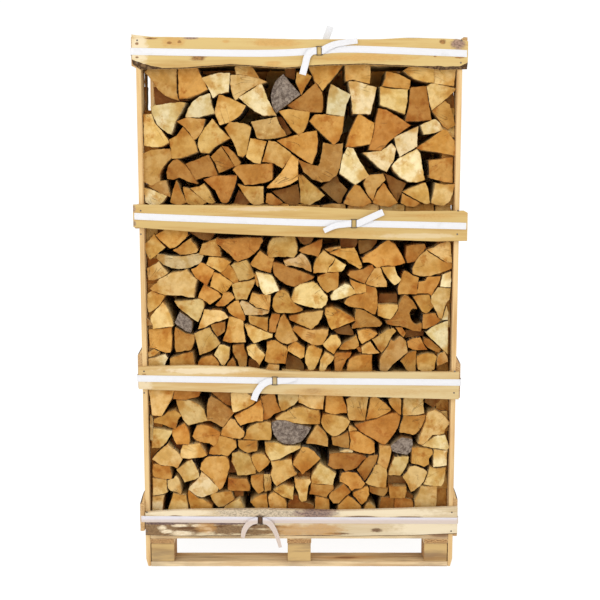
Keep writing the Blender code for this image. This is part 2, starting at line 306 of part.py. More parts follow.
b 26.4,95.4 28.7,96.2 31.3,96.4 31.6,94.9 31.3,93.1 30,91.9 28.7,91.3 27.6,92.4 26.7,93.9
t 24.6,94.4 25.5,94.3 26.8,92.6 28.2,91 29.5,88.6 28.4,87.1 25.8,85.5 23.7,84.8 21.8,84.2 21.4,86 20.8,88.1
  20.1,90.5 20,92.3 22.4,93.6
o 12.4,94.4 14.2,93.5 16.3,92.2 19.6,91.5 19.7,89.9 18.9,87.6 18.2,86.1 15.8,85.7 14.2,85.2 12.6,85.3
  12.1,87.3
  12,90.7 12,92.8
s 7.6,104.1 8.7,103 9.7,101.5 10.5,99.4 11.3,97 11.3,95.3 7.9,94.8 3.9,94.4 3.6,95.7 2.9,97.3 2.9,98.9
  4.5,101 6.1,102.6
o 2.1,93.6 3.7,93.9 7.9,94.3 10.5,94.6 10.9,91.2 10.7,87.6 10,85 8.4,84.8 6.3,85.6 3.9,86.6 2.4,87 2.1,89.9
p 1.4,98 2.6,97.3 3.2,95.8 1.6,95.7
s 1.8,84.8 3.9,86 5.5,85.2 3.9,83.7 1.8,83.2
p 1.8,82.3 4.2,82.9 6.3,83.7 8.2,84 9.1,82.8 8.4,81.5 7.6,79 1.8,79
o 10.3,82.5 12.6,83.3 14.7,84.1 16.8,84.7 18.7,84.8 19.2,82.8 19.5,81 19.5,78.5 10.3,78.5
o 21.1,81 22.4,82.6 24.5,83.4 26.3,83.6 27.6,82.8 29,80.7 29,78.5 20.6,78.5
s 29.7,87.8 31.3,87.9 33.1,86.8 33.2,84.7 32.9,82.6 31.8,80.7 31,80 30,80.4 28.7,82.6 27.5,84.1 28.4,86
b 34.7,87.3 36.1,87.7 38.6,87.8 38.9,86.2 39.5,85.2 40,83.6 39.9,81.8 39.4,79.6 37.4,79.4 36.3,81.8 35.3,83.3
  34.5,85.2
t 33.4,98.5 35,98.6 37.6,97.6 38.6,97 38.8,94.7 39.2,91.8 39.4,89.1 36.8,88.7 33.7,88.7 30.9,89.5 31.4,91.2
  32.4,93.9 32.9,96.5
o 35.4,104.7 36.8,104.9 37.4,103.6 38.3,101.5 39.3,99.1 39.1,97.4 36.8,98.1 35,99.1 33.4,100.4 32.6,102.3
  33.9,103.6
o 34.5,82.4 35.5,80.4 35.8,78.8 32,78.8 32.6,80.6
s 40.3,87 41.8,88.1 43.4,88.1 44.2,86.8 45.8,85.5 47,83.9 46,82 45,80.2 43.7,81.8 42.4,82.6 40.8,84.1 40.2,86
d 41,81.7 43.2,81.4 44.6,79.8 44.4,78.4 40.6,78.4
o 48.2,88.9 49.7,89.6 51.1,89.6 53.2,88.3 55.4,87 56,85.5 55.6,83.3 55,80.7 51.8,80.6 48.7,80.7 47.3,81.8
  47.3,83.3 47.9,86.2
s 47.6,78.3 48.9,80.2 52.4,79.8 52.4,78.3
t 56.2,86.8 57.4,88.2 59.2,88.9 61.1,87.6 62.4,86.5 62.5,84.9 62.2,83.3 61.1,82.7 58.9,83.8 57.1,85 56.2,85.8
t 64.5,87.2 66.1,87.6 67.6,86.6 69.2,85.7 68.9,83.9 67.9,81.2 66.6,78.6 64.2,78.2 62.9,81.2 62.8,83.3
  63.3,85.5
d 56.3,83.6 58.4,82.8 61.1,81.5 62.4,79.1 62.4,77.4 55.2,77.4 55.5,81.2
s 70.8,84.9 72.6,84.1 73.9,83.1 73.6,81.8 71.8,80.2 70.6,78 68.3,78 68.8,80.5 68.7,81.8 69.7,83.3
t 73.2,91.5 74.7,91.5 76.2,90.2 76.7,88.6 75.5,86.8 73.9,84.7 72.1,85.6 70.4,87 69.9,88.1 71.2,89.7
o 76.9,87.6 78.4,88.8 80,89.6 81.6,90.6 82.6,91.1 83.3,89.9 83.6,87.6 82.1,86.3 80,86.1 77.9,86 76.4,86.2
d 74.3,93.1 76.8,94.2 80,94.9 81.5,92.8 81.7,91.3 79.5,91.3 76.8,91.6 75.3,92
t 83.4,93.1 85.8,93.9 87.9,94 89.2,93.3 90.7,92.2 89.6,91 87.4,89.8 85,88.7 83.9,89.9
s 88.2,89 89.2,87.6 90.4,86 91.4,84.9 90,84.5 87.4,84.5 85.3,84.8 85,87 86.3,88.1
b 82.9,86.5 83.6,86.9 84.5,86.5 84.9,85.2 84.6,84.9 83.8,85.3
t 95.8,94.1 97.1,94.2 97.8,93.3 96.8,91.8 95.8,89.9 94.8,87.8 93.6,86 92.6,85.1 91.4,86.2 90.2,88.1 89.3,89.8
  91.1,91.1 93.2,92.6
s 96.3,89.5 97.6,89.1 99.7,90.8 101.1,90.1 102.1,89 102.5,87 102.5,85.2 101.1,83.7 98.9,81.8 96.8,80.2
  95.3,78.2
  92.4,78.2 92.2,81.2 92.6,83.3 93.8,85.2 95.2,87.3
p 110.2,92.8 111.6,94.4 114.2,95.7 116.8,96.8 118.2,97 118.3,93.9 118.4,88.6 118.3,84.5 116.8,85.8 114.7,87.9
  112.6,89.8 111,91.2
b 108.9,99.3 111.6,100 113.4,99.8 114.2,98.6 115.3,97.3 114,95.9 111.6,94.8 110,94.2 108.8,94.4 108.5,96.5
p 117.6,102.6 118.2,100.7 118,97.8 116.2,97.9 116.9,100.2
d 102.4,92.9 109.2,92.8 108.9,91.1 107.6,90.8 102.5,90.5
b 102.9,89.1 104.5,90.1 107.6,90.5 108.6,88.9 109.6,87 110.2,86.1 107.6,85.8 104.7,86 103.2,87
b 109.6,90.1 111.6,89.7 113.8,87.7 115.7,86 115.2,84.8 112.9,85.6 110.6,86.9 109.3,88.6
t 106.8,83.3 108.4,84.1 111.1,84.6 113.2,84 114.1,83.1 113.8,81.2 113.2,78.4 107.2,78.4 106.5,81.2
s 116.1,84.8 117.1,84.9 118.4,82.6 118.4,81.5 116.6,80.5 114.7,79.9 114.3,81.8 115,83.9
o 103,84.7 104.5,85.2 105.9,85.2 106.1,82.6 105.9,79.4 105.8,78 102.6,78 101.1,80.5 100.2,81.5 101.5,83
o 84.5,83.9 88.7,83.9 88.8,81.2 88.8,78 79.4,78 79.4,80 80,81.8 81.6,83 82.6,83.5
b 74.7,84.3 76.8,84.6 79.5,84.7 80.7,84.4 80.3,83.2 79,82 77.8,79.5 77.2,77.8 74.8,77.8 74.4,80.7 74.2,82.8
b 98.4,94.3 100.5,94.3 101.7,92.3 101.1,91.1 99.8,92.1
t 2.7,190.3 4,192 14,192 14.2,183 14.7,180.2 12,180.8 9.5,182 7.5,183.8 5,187.2
d 5.4,184.8 6.8,185 9,182.3 12,180.7 17.8,180.3 14.5,179.5 10.3,178.6 7.8,177.6 6.2,177.8
o 15,192 22,192 25.7,184.2 22.5,182.3 19,181 15.3,180.7
p 24,188 27,189.2 30.5,190 34.2,189.8 34.2,186.5 33.6,183.3 30.5,182.5 28,181.2 26,185
s 36.5,192 43,191.8 45.2,188.3 41,189 37,189.7
s 34.8,189 38,189.3 42,188.7 45.5,188 48,186.8 44,185.3 40,183 36.3,180.2 35,183 34.6,186
p 38,181 42,183.5 46.2,186 47.3,184 48.5,180.5 51.5,174.7 46.8,174.4 43.5,176.2 40.5,178.5
g 54.5,189.3 57.5,186 60.6,182.3 56.5,179 51.7,175.7 50.3,178 49.8,181.5 50.7,185 52.3,187.8
d 55.3,191.8 58.9,191.8 58.6,188 55.5,189.2
o 59.8,190 62.5,190 65,188.8 63,185.5 61.3,182.4 60,185 59.2,187
o 64.3,192.3 76.5,192.5 73,188 69.3,184 66.5,187
b 56.3,178.2 61.5,181.8 66.7,186.2 69.2,183 69.6,179.5 69,175.8 64.5,175.8 58,177
o 53,176 57,176.8 64.3,175.6 63.8,172 62.3,168.6 60.5,167.6 58,169.5 55.3,173
p 72.6,185.7 74.5,184.8 79.7,182 78.3,178.5 77.4,174.2 71,175.3 71.2,180 72,184
o 64.6,172.4 66.5,174.6 70,174.8 77.2,173.8 77,169 75.5,165.5 73.8,163.8 69,167.8
t 78,192.5 87,192.5 87.3,189 87,186.3 83,187 81,187.6 78.2,187.3
p 79.4,186.7 81.5,187 85.5,186 89.5,184.5 88.5,179.5 87.3,175.2 81,175.2 80.6,179 79.8,183
o 93.6,190.5 98,189.5 102.3,187.2 101.9,184.3 97,184.6 92.3,185.4 93,188
s 91.3,184.8 95,184.2 101.3,183.9 101.3,180 100.4,175.2 96,176.6 91.3,178.6
b 102.7,184.5 108.4,185 109.2,180.5 110.4,173 106,172.5 101,172.6 102,178
t 100,190.8 102,192.2 111,192.2 111.2,186.5 107.5,186.8 103.5,188
s 111.5,192 119.4,192 119,187.5 118.6,185.4 116,185.5 111.5,186.3
s 108.8,185 110.3,186 116,185.1 119.8,184.2 116,180.5 110.7,176.6 109.7,179.5
o 111.1,176.2 115.5,179.6 117.3,178.5 119,174 119.5,171 117,169.7 115.2,170.5
p 106.8,170.8 108.5,171.9 112,172.9 113.8,171.6 114.9,169.3 111.5,168 108,167.8 107.2,169
b 90.7,176.9 93.5,176.6 98,174 102.5,170.8 99,168.2 95.5,165.7 91.5,161.7 87.2,162 88.8,168 89.6,173
o 83.2,175.2 86,173.3 88.8,171.7 88.6,168.5 87.3,164.2 83,163.2 78.5,163 79.3,167 81,171
p 4.6,177.5 9.5,178.6 15,179.4 17.3,179 16,176 13.8,172.5 11.8,167.8 10.5,168 7,170.8 5.2,174.5
p 17.6,174 18.6,177 20.5,179.7 23,181.4 26.7,182.4 27.3,179 28.2,175.5 25,174.5 22.5,173.8
t 30.2,182 34,181 40,178 39.5,176.5 37.5,174 34,172 30.5,171.2 28.4,175.5
s 42.6,172 51.6,173.6 53,171 55.5,167.2 51,166 47,165.9 44.6,166.4 43.7,169
d 52,173.8 53.5,174 55.5,171.5 57.3,168.3 55.9,167.6 53.3,171.3
s 1.8,174.6 4.6,174.8 6,171.3 8.3,169 10,166.5 10.8,164.6 8,163 4.5,162.9 1.8,163.7
o 11.3,165.4 14,167 16.4,170 18.7,167.8 21,164.8 21.6,161.3 18,159.5 15,158.8 12.2,158.8 11.8,162
t 14.2,172.3 18,173.7 22,173.3 24.6,173 24,169.5 22.5,167 20.4,165.4 18.7,168.5 16.3,170.9
t 27.6,173 30.5,169.7 34,166.2 31,164.5 28.3,162.8 26,160.8 23.3,161 22,163 22.2,166 24.5,169.7
t 32.5,169.8 34.2,171.7 37,172 40.5,171.2 42,170 41.5,166 40.4,160.4 39,159.3 37.5,160 35.8,164 34,167
t 42.2,165.9 47.8,164.8 46.8,161 45.6,156.9 43,157.1 40.5,159.3 41,162.5
t 49,165 51.5,164.8 54.5,162.8 57.8,159.9 54,155.2 51,156.9 46.7,157.6 47.8,161.5
o 52.3,165.2 57,166.6 63,168.3 67,168.7 67.6,165 67.2,161 65.3,156.7 61,158.9 57.5,161.4 54.5,163.5
t 69.8,164.3 73.5,163.6 76.9,164 76.8,160 76,155.5 74.8,152.6 72,150.4 69,149.9 65.5,151.2 62.5,153.6
  60.4,157.9 65,156.3 68.3,155.7 69,160
p 79,162.5 81,162 83,158.5 86.9,152.3 82,149.1 79.5,150.5 76.2,153.2 76.4,156.5 77.2,160
p 85,160.7 91.7,161.4 95.5,163.9 97,162.3 96.4,158 94.8,155.5 93.7,153.9 90.8,155.2 87.5,158.3
p 96.8,166.2 100.5,168.2 105.5,170.3 105.3,167 105,163.2 98.8,159.6 97.3,162.8
p 96,155.8 98,158.5 101.5,160.3 105.2,161.9 106.6,160.5 107.2,156.5 108.2,150.8 105.5,149.8 102,150
  99,151.8 96.8,153.8
o 105.3,162.5 110.5,166 115.4,169.3 117,168.5 119.5,165 119.7,159.9 113,161 107,161.8
o 110,157.6 118.8,159 119,154 118.9,149.8 116,149.9 110.4,151.6
s 112.7,149.3 116,148.8 119.7,149 119,145 117.7,142.3 111.3,142.3 112,146.5
t 1,160.3 4,161.7 8,162 11.3,161.9 11.8,159.2 8.7,155.8 7.3,153 7.1,150.2 4.2,148.8 1,150.2
b 12.3,157.8 13.8,158.3 17,156.2 18.8,153.8 21.5,149.3 18,150 14.8,151.7 12.3,150.8 10.2,151.2 9.8,153.5
  10.6,156
b 17.4,156.5 21,158.1 25.8,159.7 27.2,157.5 29.2,152.4 24,151.8 20.8,150.7 19,154
b 27,159.3 30.7,162.8 33.3,159.3 35.6,155.8 29.9,153.5 28.5,157
b 31.2,163.2 33.5,162.7 36,160.3 37.8,157.3 37.5,156.5 36.1,156 33.8,159.6
b 35.4,154.4 37,156 45,156.5 50,156.7 50.3,153.5 50,151 47.5,149.7 43,149 39.8,149.1 37.5,151.8
t 57.8,159.7 59.9,158.2 59.7,151 57.5,149.3 53.5,147.9 48.3,147.8 51,150.6 53.8,153.5 55.7,156.7
b 24.3,150.6 27.5,152.1 36.6,152.1 35.9,148 33.4,142.6 30.5,142.6 28.6,146.7
t 16.2,147.8 18.6,147.3 21,145.3 25,142.4 17.3,142.4 16.6,145.5
t 19.2,147.5 22.3,148.2 24,149.1 25.8,147 27.9,142.4 25.3,142.4 21.3,145.4
o 13.6,150.3 15.2,146.5 17,142.4 11.4,142.4 12.3,146.5
s 7.2,150.1 9.5,150.2 11.1,144.4 7.5,145.9 3.2,148.4
p 1.3,147.6 4.5,146.9 9.6,144.6 8.3,142.4 2,142.4 1.5,144.8
t 37.2,149 40,148.2 46.6,148 46.8,145 46.6,142.2 41.8,142.2 39.5,145
d 37.3,146.5 39.2,145 41.3,142.2 35.5,142.2
b 48.2,145.3 49.7,145.4 53.8,142.2 48,142.2
d 50.3,146.3 55,147.3 59.8,148.8 60.6,145 60.8,142.2 55,142.2
t 60.3,152.5 61.8,152.3 64.8,149.7 70,144.9 68.3,143.3 66,142.2 61.3,142.2 61,146
d 69,147.7 72,150 74.7,152.2 76,150 78.8,147 77.2,144 76.8,142.2 75,142.2 71.5,145.3
b 77.8,142 79.5,146 82,148.8 83.8,148.3 88,142.3
t 86.8,152.2 92.3,152.8 93.2,150.8 90,147.3 88.6,143 86.5,145.5 85.4,149.5
d 93.4,153 97,151.3 101.3,149.3 98.2,142.7 95.5,147
b 92.8,149.3 95,146.3 98,142.2 88.9,142.2 90.3,146.3
t 100.5,146.2 104,148 108.6,149.5 109.8,147 110.3,142.2 107.5,142.3 103.5,144.3
b 100.2,145.3 103,144 106.8,142 99.8,142
d 116.3,182.3 117.8,183 118.6,178 117.6,176.5
"""

# Boards across the front, bottom one first: lower edge, then upper edge, left to right:
# x from the middle of the crate and z from the ground, in cm.
FRONT_BOARDS = (
    (((-59.7, 13.4), (-38.6, 12.8), (-15.0, 13.3), (20.0, 12.9), (45.0, 13.2), (61.4, 14.0)),
     ((-59.4, 22.7), (-46.0, 23.6), (-15.0, 24.0), (16.0, 23.3), (39.0, 24.0), (60.3, 24.8))),
    (((-60.8, 71.4), (-38.0, 70.5), (-7.0, 69.4), (30.0, 68.3), (60.0, 67.4)),
     ((-61.2, 80.2), (-41.0, 80.7), (-19.0, 79.9), (-10.0, 78.5), (16.0, 78.0), (60.9, 78.2))),
    (((-61.6, 133.1), (-37.0, 131.2), (-15.0, 130.1), (20.0, 128.9), (52.0, 127.8), (62.2, 128.0)),
     ((-61.9, 141.7), (0.3, 141.1), (22.0, 139.9), (38.0, 139.2), (61.5, 139.4), (62.8, 138.6))),
    (((-61.1, 192.8), (-58.4, 190.9), (-43.0, 191.1), (-25.0, 192.4), (-5.0, 191.1), (8.0, 192.2),
      (24.0, 192.6), (44.0, 191.7), (52.0, 190.7), (61.2, 191.0)),
     ((-60.9, 203.4), (-54.0, 202.6), (-22.0, 202.2), (0.3, 201.7), (29.0, 201.7), (40.0, 202.3),
      (58.0, 201.8), (61.6, 201.0))),
)
# Boards across the back and along the sides: lower edge and height, in cm.
BACK_BOARDS = ((12.0, 11.0), (68.5, 10.0), (129.5, 10.0), (192.0, 11.5))
LEFT_BOARDS = ((15.2, 11.7), (71.5, 13.5), (132.5, 9.0), (192.2, 10.5))
RIGHT_BOARDS = ((12.4, 15.5), (67.5, 14.0), (127.8, 10.5), (192.2, 10.5))
# How far the live edge of a side board wanders, front to back, in cm.
LIVE_EDGE = (0.0, 1.4, 0.6, 2.2, 1.2, 2.6, 0.8, 1.6, 0.2)
STRAIGHT_EDGE = (0.0, 0.2, 0.1, 0.0)

# Straps: the middle of the strap along the front, left to right; the x of its buckle; then the two tails,
# from where they fold back at the buckle to their tips. x from the middle and z, in cm.
STRAPS = (
    (((-61.7, 20.1), (-15.0, 19.7), (61.7, 19.4)), -15.1,
     ((-18.6, 19.0), (-20.4, 17.4), (-21.5, 15.2), (-21.9, 12.9)),
     ((-11.8, 18.8), (-10.2, 16.9), (-8.7, 13.8), (-7.3, 9.0))),
    (((-61.7, 75.7), (-9.3, 74.8), (61.7, 74.1)), -9.3,
     ((-12.2, 74.4), (-14.4, 72.9), (-16.3, 70.2), (-17.3, 67.4)),
     ((-4.5, 75.0), (-1.0, 75.6))),
    (((-61.9, 137.3), (-37.0, 136.3), (0.0, 135.0), (38.0, 134.2), (62.8, 133.6)), 20.4,
     ((16.0, 133.8), (9.4, 131.8)),
     ((24.4, 135.8), (31.2, 138.9))),
    (((-61.7, 197.3), (-14.3, 196.6), (7.3, 197.5), (20.0, 198.1), (61.7, 196.5)), 7.3,
     ((4.9, 197.3), (3.6, 196.4), (2.8, 195.0), (2.2, 192.5), (1.2, 188.9)),
     ((10.4, 198.7), (14.0, 200.0), (21.2, 200.9))),
)
BUCKLE_SIZE = (0.0272, 0.034)
# The strap end tucked behind the top board, standing up over it: x and z in cm.
LOOSE_END = ((9.2, 198.5), (9.9, 202.2), (10.8, 204.6), (11.4, 206.4))
LOOSE_END_BEHIND = 0.3970


def clear_scene():
    for thing in list(bpy.data.objects):
        bpy.data.objects.remove(thing, do_unlink=True)


def linear(value):
    return value / 12.92 if value <= 0.04045 else ((value + 0.055) / 1.055) ** 2.4


def material(name):
    made = bpy.data.materials.get(name)
    if made is None:
        made = bpy.data.materials.new(name)
        made.use_nodes = True
        shader = made.node_tree.nodes["Principled BSDF"]
        shader.inputs["Base Color"].default_value = [linear(v) for v in SRGB[name]] + [1.0]
        shader.inputs["Roughness"].default_value = ROUGHNESS[name]
        if name == "buckle":
            shader.inputs["Metallic"].default_value = 1.0
    return made


def add_solid(name, corners, faces, slot):
    """Make one closed solid, in triangles, with its faces turned outwards."""
    mesh = bpy.data.meshes.new(name)
    mesh.from_pydata(corners, [], faces)
    shaped = bmesh.new()
    shaped.from_mesh(mesh)
    bmesh.ops.recalc_face_normals(shaped, faces=shaped.faces)
    bmesh.ops.triangulate(shaped, faces=shaped.faces)
    shaped.to_mesh(mesh)
    shaped.free()
    mesh.materials.append(material(slot))
    solid = bpy.data.objects.new(name, mesh)
    bpy.context.scene.collection.objects.link(solid)
    return solid


def box(name, x, y, z, slot):
    corners = [(a, b, c) for a in x for b in y for c in z]
    faces = [(0, 1, 3, 2), (4, 6, 7, 5), (0, 4, 5, 1), (2, 3, 7, 6), (0, 2, 6, 4), (1, 5, 7, 3)]
    return add_solid(name, corners, faces, slot)


def plank(name, lower, upper, near, far, slot, along_x=True):
    """A board between two edge lines, both running the same way, and two flat faces."""
    outline = list(lower) + list(reversed(upper))
    count = len(outline)
    corners = []
    for depth in (near, far):
        for run, height in outline:
            corners.append((run, depth, height) if along_x else (depth, run, height))
    faces = [tuple(range(count)), tuple(range(2 * count - 1, count - 1, -1))]
    for i in range(count):
        j = (i + 1) % count
        faces.append((i, j, j + count, i + count))
    return add_solid(name, corners, faces, slot)


def build_pallet():
    inner = HALF_WIDTH - POST_THICK - GAP
    half = DECK_HALF_DEPTH
    rows = (("front", -half, -half + BOTTOM_BOARD_WIDTH),
            ("middle", -BOTTOM_BOARD_WIDTH / 2, BOTTOM_BOARD_WIDTH / 2),
            ("rear", half - BOTTOM_BOARD_WIDTH, half))
    columns = (("left", -inner, -inner + STRINGER_WIDTH),
               ("middle", -STRINGER_WIDTH / 2, STRINGER_WIDTH / 2),
               ("right", inner - STRINGER_WIDTH, inner))
    for row, y0, y1 in rows:
        box("bottom_board_" + row, (-inner, inner), (y0, y1), (0.0, BOTTOM_BOARD_TOP), "pallet")
        for column, x0, x1 in columns:
            inset = (STRINGER_WIDTH - BLOCK_WIDTH) / 2
            box("block_%s_%s" % (row, column), (x0 + inset, x1 - inset), (y0 + 0.001, y1 - 0.001),
                (BOTTOM_BOARD_TOP + GAP, BLOCK_TOP), "pallet")
    for column, x0, x1 in columns:
        box("stringer_" + column, (x0, x1), (-half, half), (BLOCK_TOP + GAP, STRINGER_TOP), "pallet")
    step = (2 * half - DECK_BOARD_WIDTH) / 4
    for i in range(5):
        y0 = -half + i * step
        box("deck_board_%d" % (i + 1), (-inner, inner), (y0, y0 + DECK_BOARD_WIDTH),
            (STRINGER_TOP + GAP, DECK_TOP), "pallet")


def build_posts():
    """Planks on edge, nailed to the pallet's sides, with their lower outer corner worn round."""
    middle = POST_DEPTH / 2
    places = (("front", -DECK_HALF_DEPTH, -DECK_HALF_DEPTH + POST_DEPTH), ("middle", -middle, middle),
              ("rear", DECK_HALF_DEPTH - POST_DEPTH, DECK_HALF_DEPTH))
    for side, sign in (("left", -1.0), ("right", 1.0)):
        outer = sign * HALF_WIDTH
        inner = sign * (HALF_WIDTH - POST_THICK)
        for place, y0, y1 in places:
            lower = ((inner, 0.001), (outer - sign * 0.009, 0.001), (outer - sign * 0.003, 0.010),
                     (outer, 0.026))
            upper = ((inner, POST_TOP), (outer, POST_TOP))
            plank("post_%s_%s" % (side, place), lower, upper, y0, y1, "posts")


def build_boards():
    face = DECK_HALF_DEPTH + GAP
    for i, edges in enumerate(FRONT_BOARDS):
        low, high = [[(x * CM, z * CM) for x, z in edge] for edge in edges]
        plank("front_board_%d" % (i + 1), low, high, -face - BOARD_THICK, -face, "boards")
    half = REAR_BOARD_HALF
    for i, (base, height) in enumerate(BACK_BOARDS):
        low = ((-half, base * CM), (0.0, (base - 0.4) * CM), (half, (base - 0.2) * CM))
        high = ((-half, (base + height) * CM), (0.1, (base + height + 0.3) * CM),
                (half, (base + height - 0.3) * CM))
        plank("rear_board_%d" % (i + 1), low, high, face, face + BOARD_THICK, "boards")
    for side, sign, boards in (("left", -1.0, LEFT_BOARDS), ("right", 1.0, RIGHT_BOARDS)):
        near = sign * (HALF_WIDTH + GAP)
        far = sign * (HALF_WIDTH + GAP + SIDE_BOARD_THICK)
        for i, (base, height) in enumerate(boards):
            wander = LIVE_EDGE if i < 2 else STRAIGHT_EDGE
            half = DECK_HALF_DEPTH
            step = 2 * half / (len(wander) - 1)
            high = [(-half + k * step, (base + height + rise) * CM) for k, rise in enumerate(wander)]
            low = [(-half, base * CM), (0.0, (base + 0.3) * CM), (half, base * CM)]
            if (side, i) == ("left", 0):
                # This one laps the end of the bottom front board and reaches its face.
                high[0] = (-half - GAP - BOARD_THICK, high[0][1])
                low[0] = (-half - GAP - BOARD_THICK, low[0][1])
            plank("side_board_%s_%d" % (side, i + 1), low, high, near, far, "boards", along_x=False)


def read_ends(text):
    """Give each end as its tone and its corners in metres from the middle of the crate."""
    ends = []
    for word in text.split():
        if word.isalpha():
            ends.append((word, []))
        else:
            x, z = (float(v) for v in word.split(","))
            ends[-1][1].append(((x - TRACED_MIDDLE) * TRACED_SCALE * CM, z * CM))
    return ends


def area(points):
    total = 0.0
    for (x0, z0), (x1, z1) in zip(points, points[1:] + points[:1]):
        total += x0 * z1 - x1 * z0
    return total / 2


def hull(points):
    """The convex outline around the points, anticlockwise."""
    ordered = sorted(set(points))
    halves = []
    for run in (ordered, ordered[::-1]):
        edge = []
        for p in run:
            while len(edge) > 1 and turn(edge[-2], edge[-1], p) <= 1e-9:
                edge.pop()
            edge.append(p)
        halves.append(edge[:-1])
    return halves[0] + halves[1]


def turn(a, b, c):
    return (b[0] - a[0]) * (c[1] - a[1]) - (b[1] - a[1]) * (c[0] - a[0])


def thin_out(points, most):
    """Drop the corners that change a convex outline least."""
    points = list(points)
    while len(points) > most:
        worth = [abs(turn(points[i - 1], points[i], points[(i + 1) % len(points)]))
                 for i in range(len(points))]
        points.pop(worth.index(min(worth)))
    return points


def keep_below(points, nx, nz, limit):
    """The part of a convex outline where nx * x + nz * z is at most the limit."""
    kept = []
    for i, p in enumerate(points):
        q = points[(i + 1) % len(points)]
        here = nx * p[0] + nz * p[1] - limit
        there = nx * q[0] + nz * q[1] - limit
        if here <= 0:
            kept.append(p)
        if here * there < 0:
            t = here / (here - there)
            kept.append((p[0] + t * (q[0] - p[0]), p[1] + t * (q[1] - p[1])))
    clean = []
    for p in kept:
        if not clean or math.dist(p, clean[-1]) > 0.0015:
            clean.append(p)
    if len(clean) > 1 and math.dist(clean[0], clean[-1]) < 0.0015:
        clean.pop()
    return clean


def part_pair(first, second, gap):
    """Cut two convex outlines back from each other along the line that costs least."""
    best = None
    for one, two, sign in ((first, second, 1), (second, first, -1)):
        for i, p in enumerate(one):
            q = one[(i + 1) % len(one)]
            length = math.dist(p, q)
            nx, nz = (q[1] - p[1]) / length, (p[0] - q[0]) / length
            reach = nx * p[0] + nz * p[1]
            clear = min(nx * x + nz * z for x, z in two) - reach
            if best is None or clear > best[0]:
                best = (clear, nx * sign, nz * sign, sign * (reach + clear / 2))
    clear, nx, nz, middle = best
    if clear >= gap:
        return first, second
    return (keep_below(first, nx, nz, middle - gap / 2),
            keep_below(second, -nx, -nz, -middle - gap / 2))


def part_all(ends, left, right, low, high, gap, corners):
    """Fit the ends inside a rectangle and clear of each other."""
    shapes = []
    for tone, points in ends:
        shape = thin_out(hull(points), corners)
        for nx, nz, limit in ((1, 0, right), (-1, 0, -left), (0, 1, high), (0, -1, -low)):
            shape = keep_below(shape, nx, nz, limit)
            if len(shape) < 3:
                break
        if len(shape) > 2 and area(shape) > 0.0006:
            shapes.append([tone, shape])
    for i, first in enumerate(shapes):
        for second in shapes[i + 1:]:
            if len(first[1]) > 2 and len(second[1]) > 2:
                first[1], second[1] = part_pair(first[1], second[1], gap)
    fitted = []
    for tone, shape in shapes:
        if len(shape) > 2:
            shape = thin_out(shape, corners)
            if area(shape) > 0.0007:
                fitted.append((tone, shape))
    return fitted


def back_ends(low, high):
    """Ends of the rear row: a staggered grid of split pieces with uneven borders."""
    ends = []
    rows = round((high - low) / BACK_LOG_SIZE * 1.06)
    height = (high - low) / rows
    for row in range(rows):
        count = 8 + row % 2
        width = 2 * PILE_HALF_WIDTH / count
        for i in range(count):
            x = -PILE_HALF_WIDTH + (i + 0.5) * width
            z = low + (row + 0.5) * height
            lean = 0.018 * math.sin(3.1 * i + 5.3 * row + 9.0 * low)
            lift = 0.016 * math.sin(2.3 * i + 4.1 * row)
            tone = "psotbt"[(3 * i + 5 * row) % 6]
            a, b = width / 2, height / 2
            corners = ((x - a + lean, z + b + lift), (x + a + lean, z + b - lift),
                       (x + a - lean, z - b + lift), (x - a - lean, z - b - lift))
            ends.append((tone, list(corners)))
    return ends


def crown(tier, row):
    """The uneven top of a row of logs: heights at even steps, left to right."""
    if tier < 2:
        return (0.0, 0.0)
    return [0.012 * math.sin(1.9 * k + row) - 0.016 * (k % 2) for k in range(13)]


def set_back(tone, shape):
    x = sum(p[0] for p in shape) / len(shape)
    z = sum(p[1] for p in shape) / len(shape)
    wobble = math.sin(x * 57.0 + z * 91.0) * 0.5 + 0.5
    return SET_BACK[tone] + 0.006 * wobble


def pile_row(name, tier, row, ends, front, back, outward):
    """One tier of one row: a solid with the log ends standing out of one face."""
    low = TIER_LIMITS[tier] + (GAP if tier else 0.0)
    high = TIER_LIMITS[tier + 1] - (0.0 if tier < 2 else 0.012)
    left, right = -PILE_HALF_WIDTH, PILE_HALF_WIDTH
    heights = crown(tier, row)
    step = (right - left) / (len(heights) - 1)
    rim = [(left, low), (right, low)]
    rim += [(right - k * step, high + h) for k, h in enumerate(heights)]
    rim_count = len(rim)
    floor = front + outward * LOG_RELIEF * -1.0
    points, loops = list(rim), [list(range(rim_count))]
    margin = 0.003
    top = high - margin - (0.0 if tier < 2 else 0.030)
    shapes = part_all(ends, left + margin, right - margin, low + margin, top, 0.0022, 5)
    for tone, shape in shapes:
        loops.append([len(points) + k for k in range(len(shape))])
        points += shape
    found = delaunay_2d_cdt([tuple(p) for p in points], [], loops, 1, 1e-7, True)
    flat, faces, sources = found[0], found[2], found[5]
    origin = found[3]
    corners = [(p[0], floor, p[1]) for p in flat]
    where = {}
    for new, olds in enumerate(origin):
        for old in olds:
            where[old] = new
    triangles = []
    for face, source in zip(faces, sources):
        if len(source) == 1:
            triangles.append(tuple(face))
    for (tone, shape), loop in zip(shapes, loops[1:]):
        lifted = len(corners)
        y = front + outward * -1.0 * set_back(tone, shape)
        corners += [(p[0], y, p[1]) for p in shape]
        count = len(shape)
        triangles.append(tuple(lifted + k for k in range(count)))
        for k in range(count):
            n = (k + 1) % count
            triangles.append((where[loop[k]], where[loop[n]], lifted + n, lifted + k))
    behind = len(corners)
    corners += [(p[0], back, p[1]) for p in rim]
    triangles.append(tuple(behind + k for k in range(rim_count)))
    for k in range(rim_count):
        n = (k + 1) % rim_count
        triangles.append((where[k], where[n], behind + n, behind + k))
    return add_solid(name, corners, triangles, "firewood")


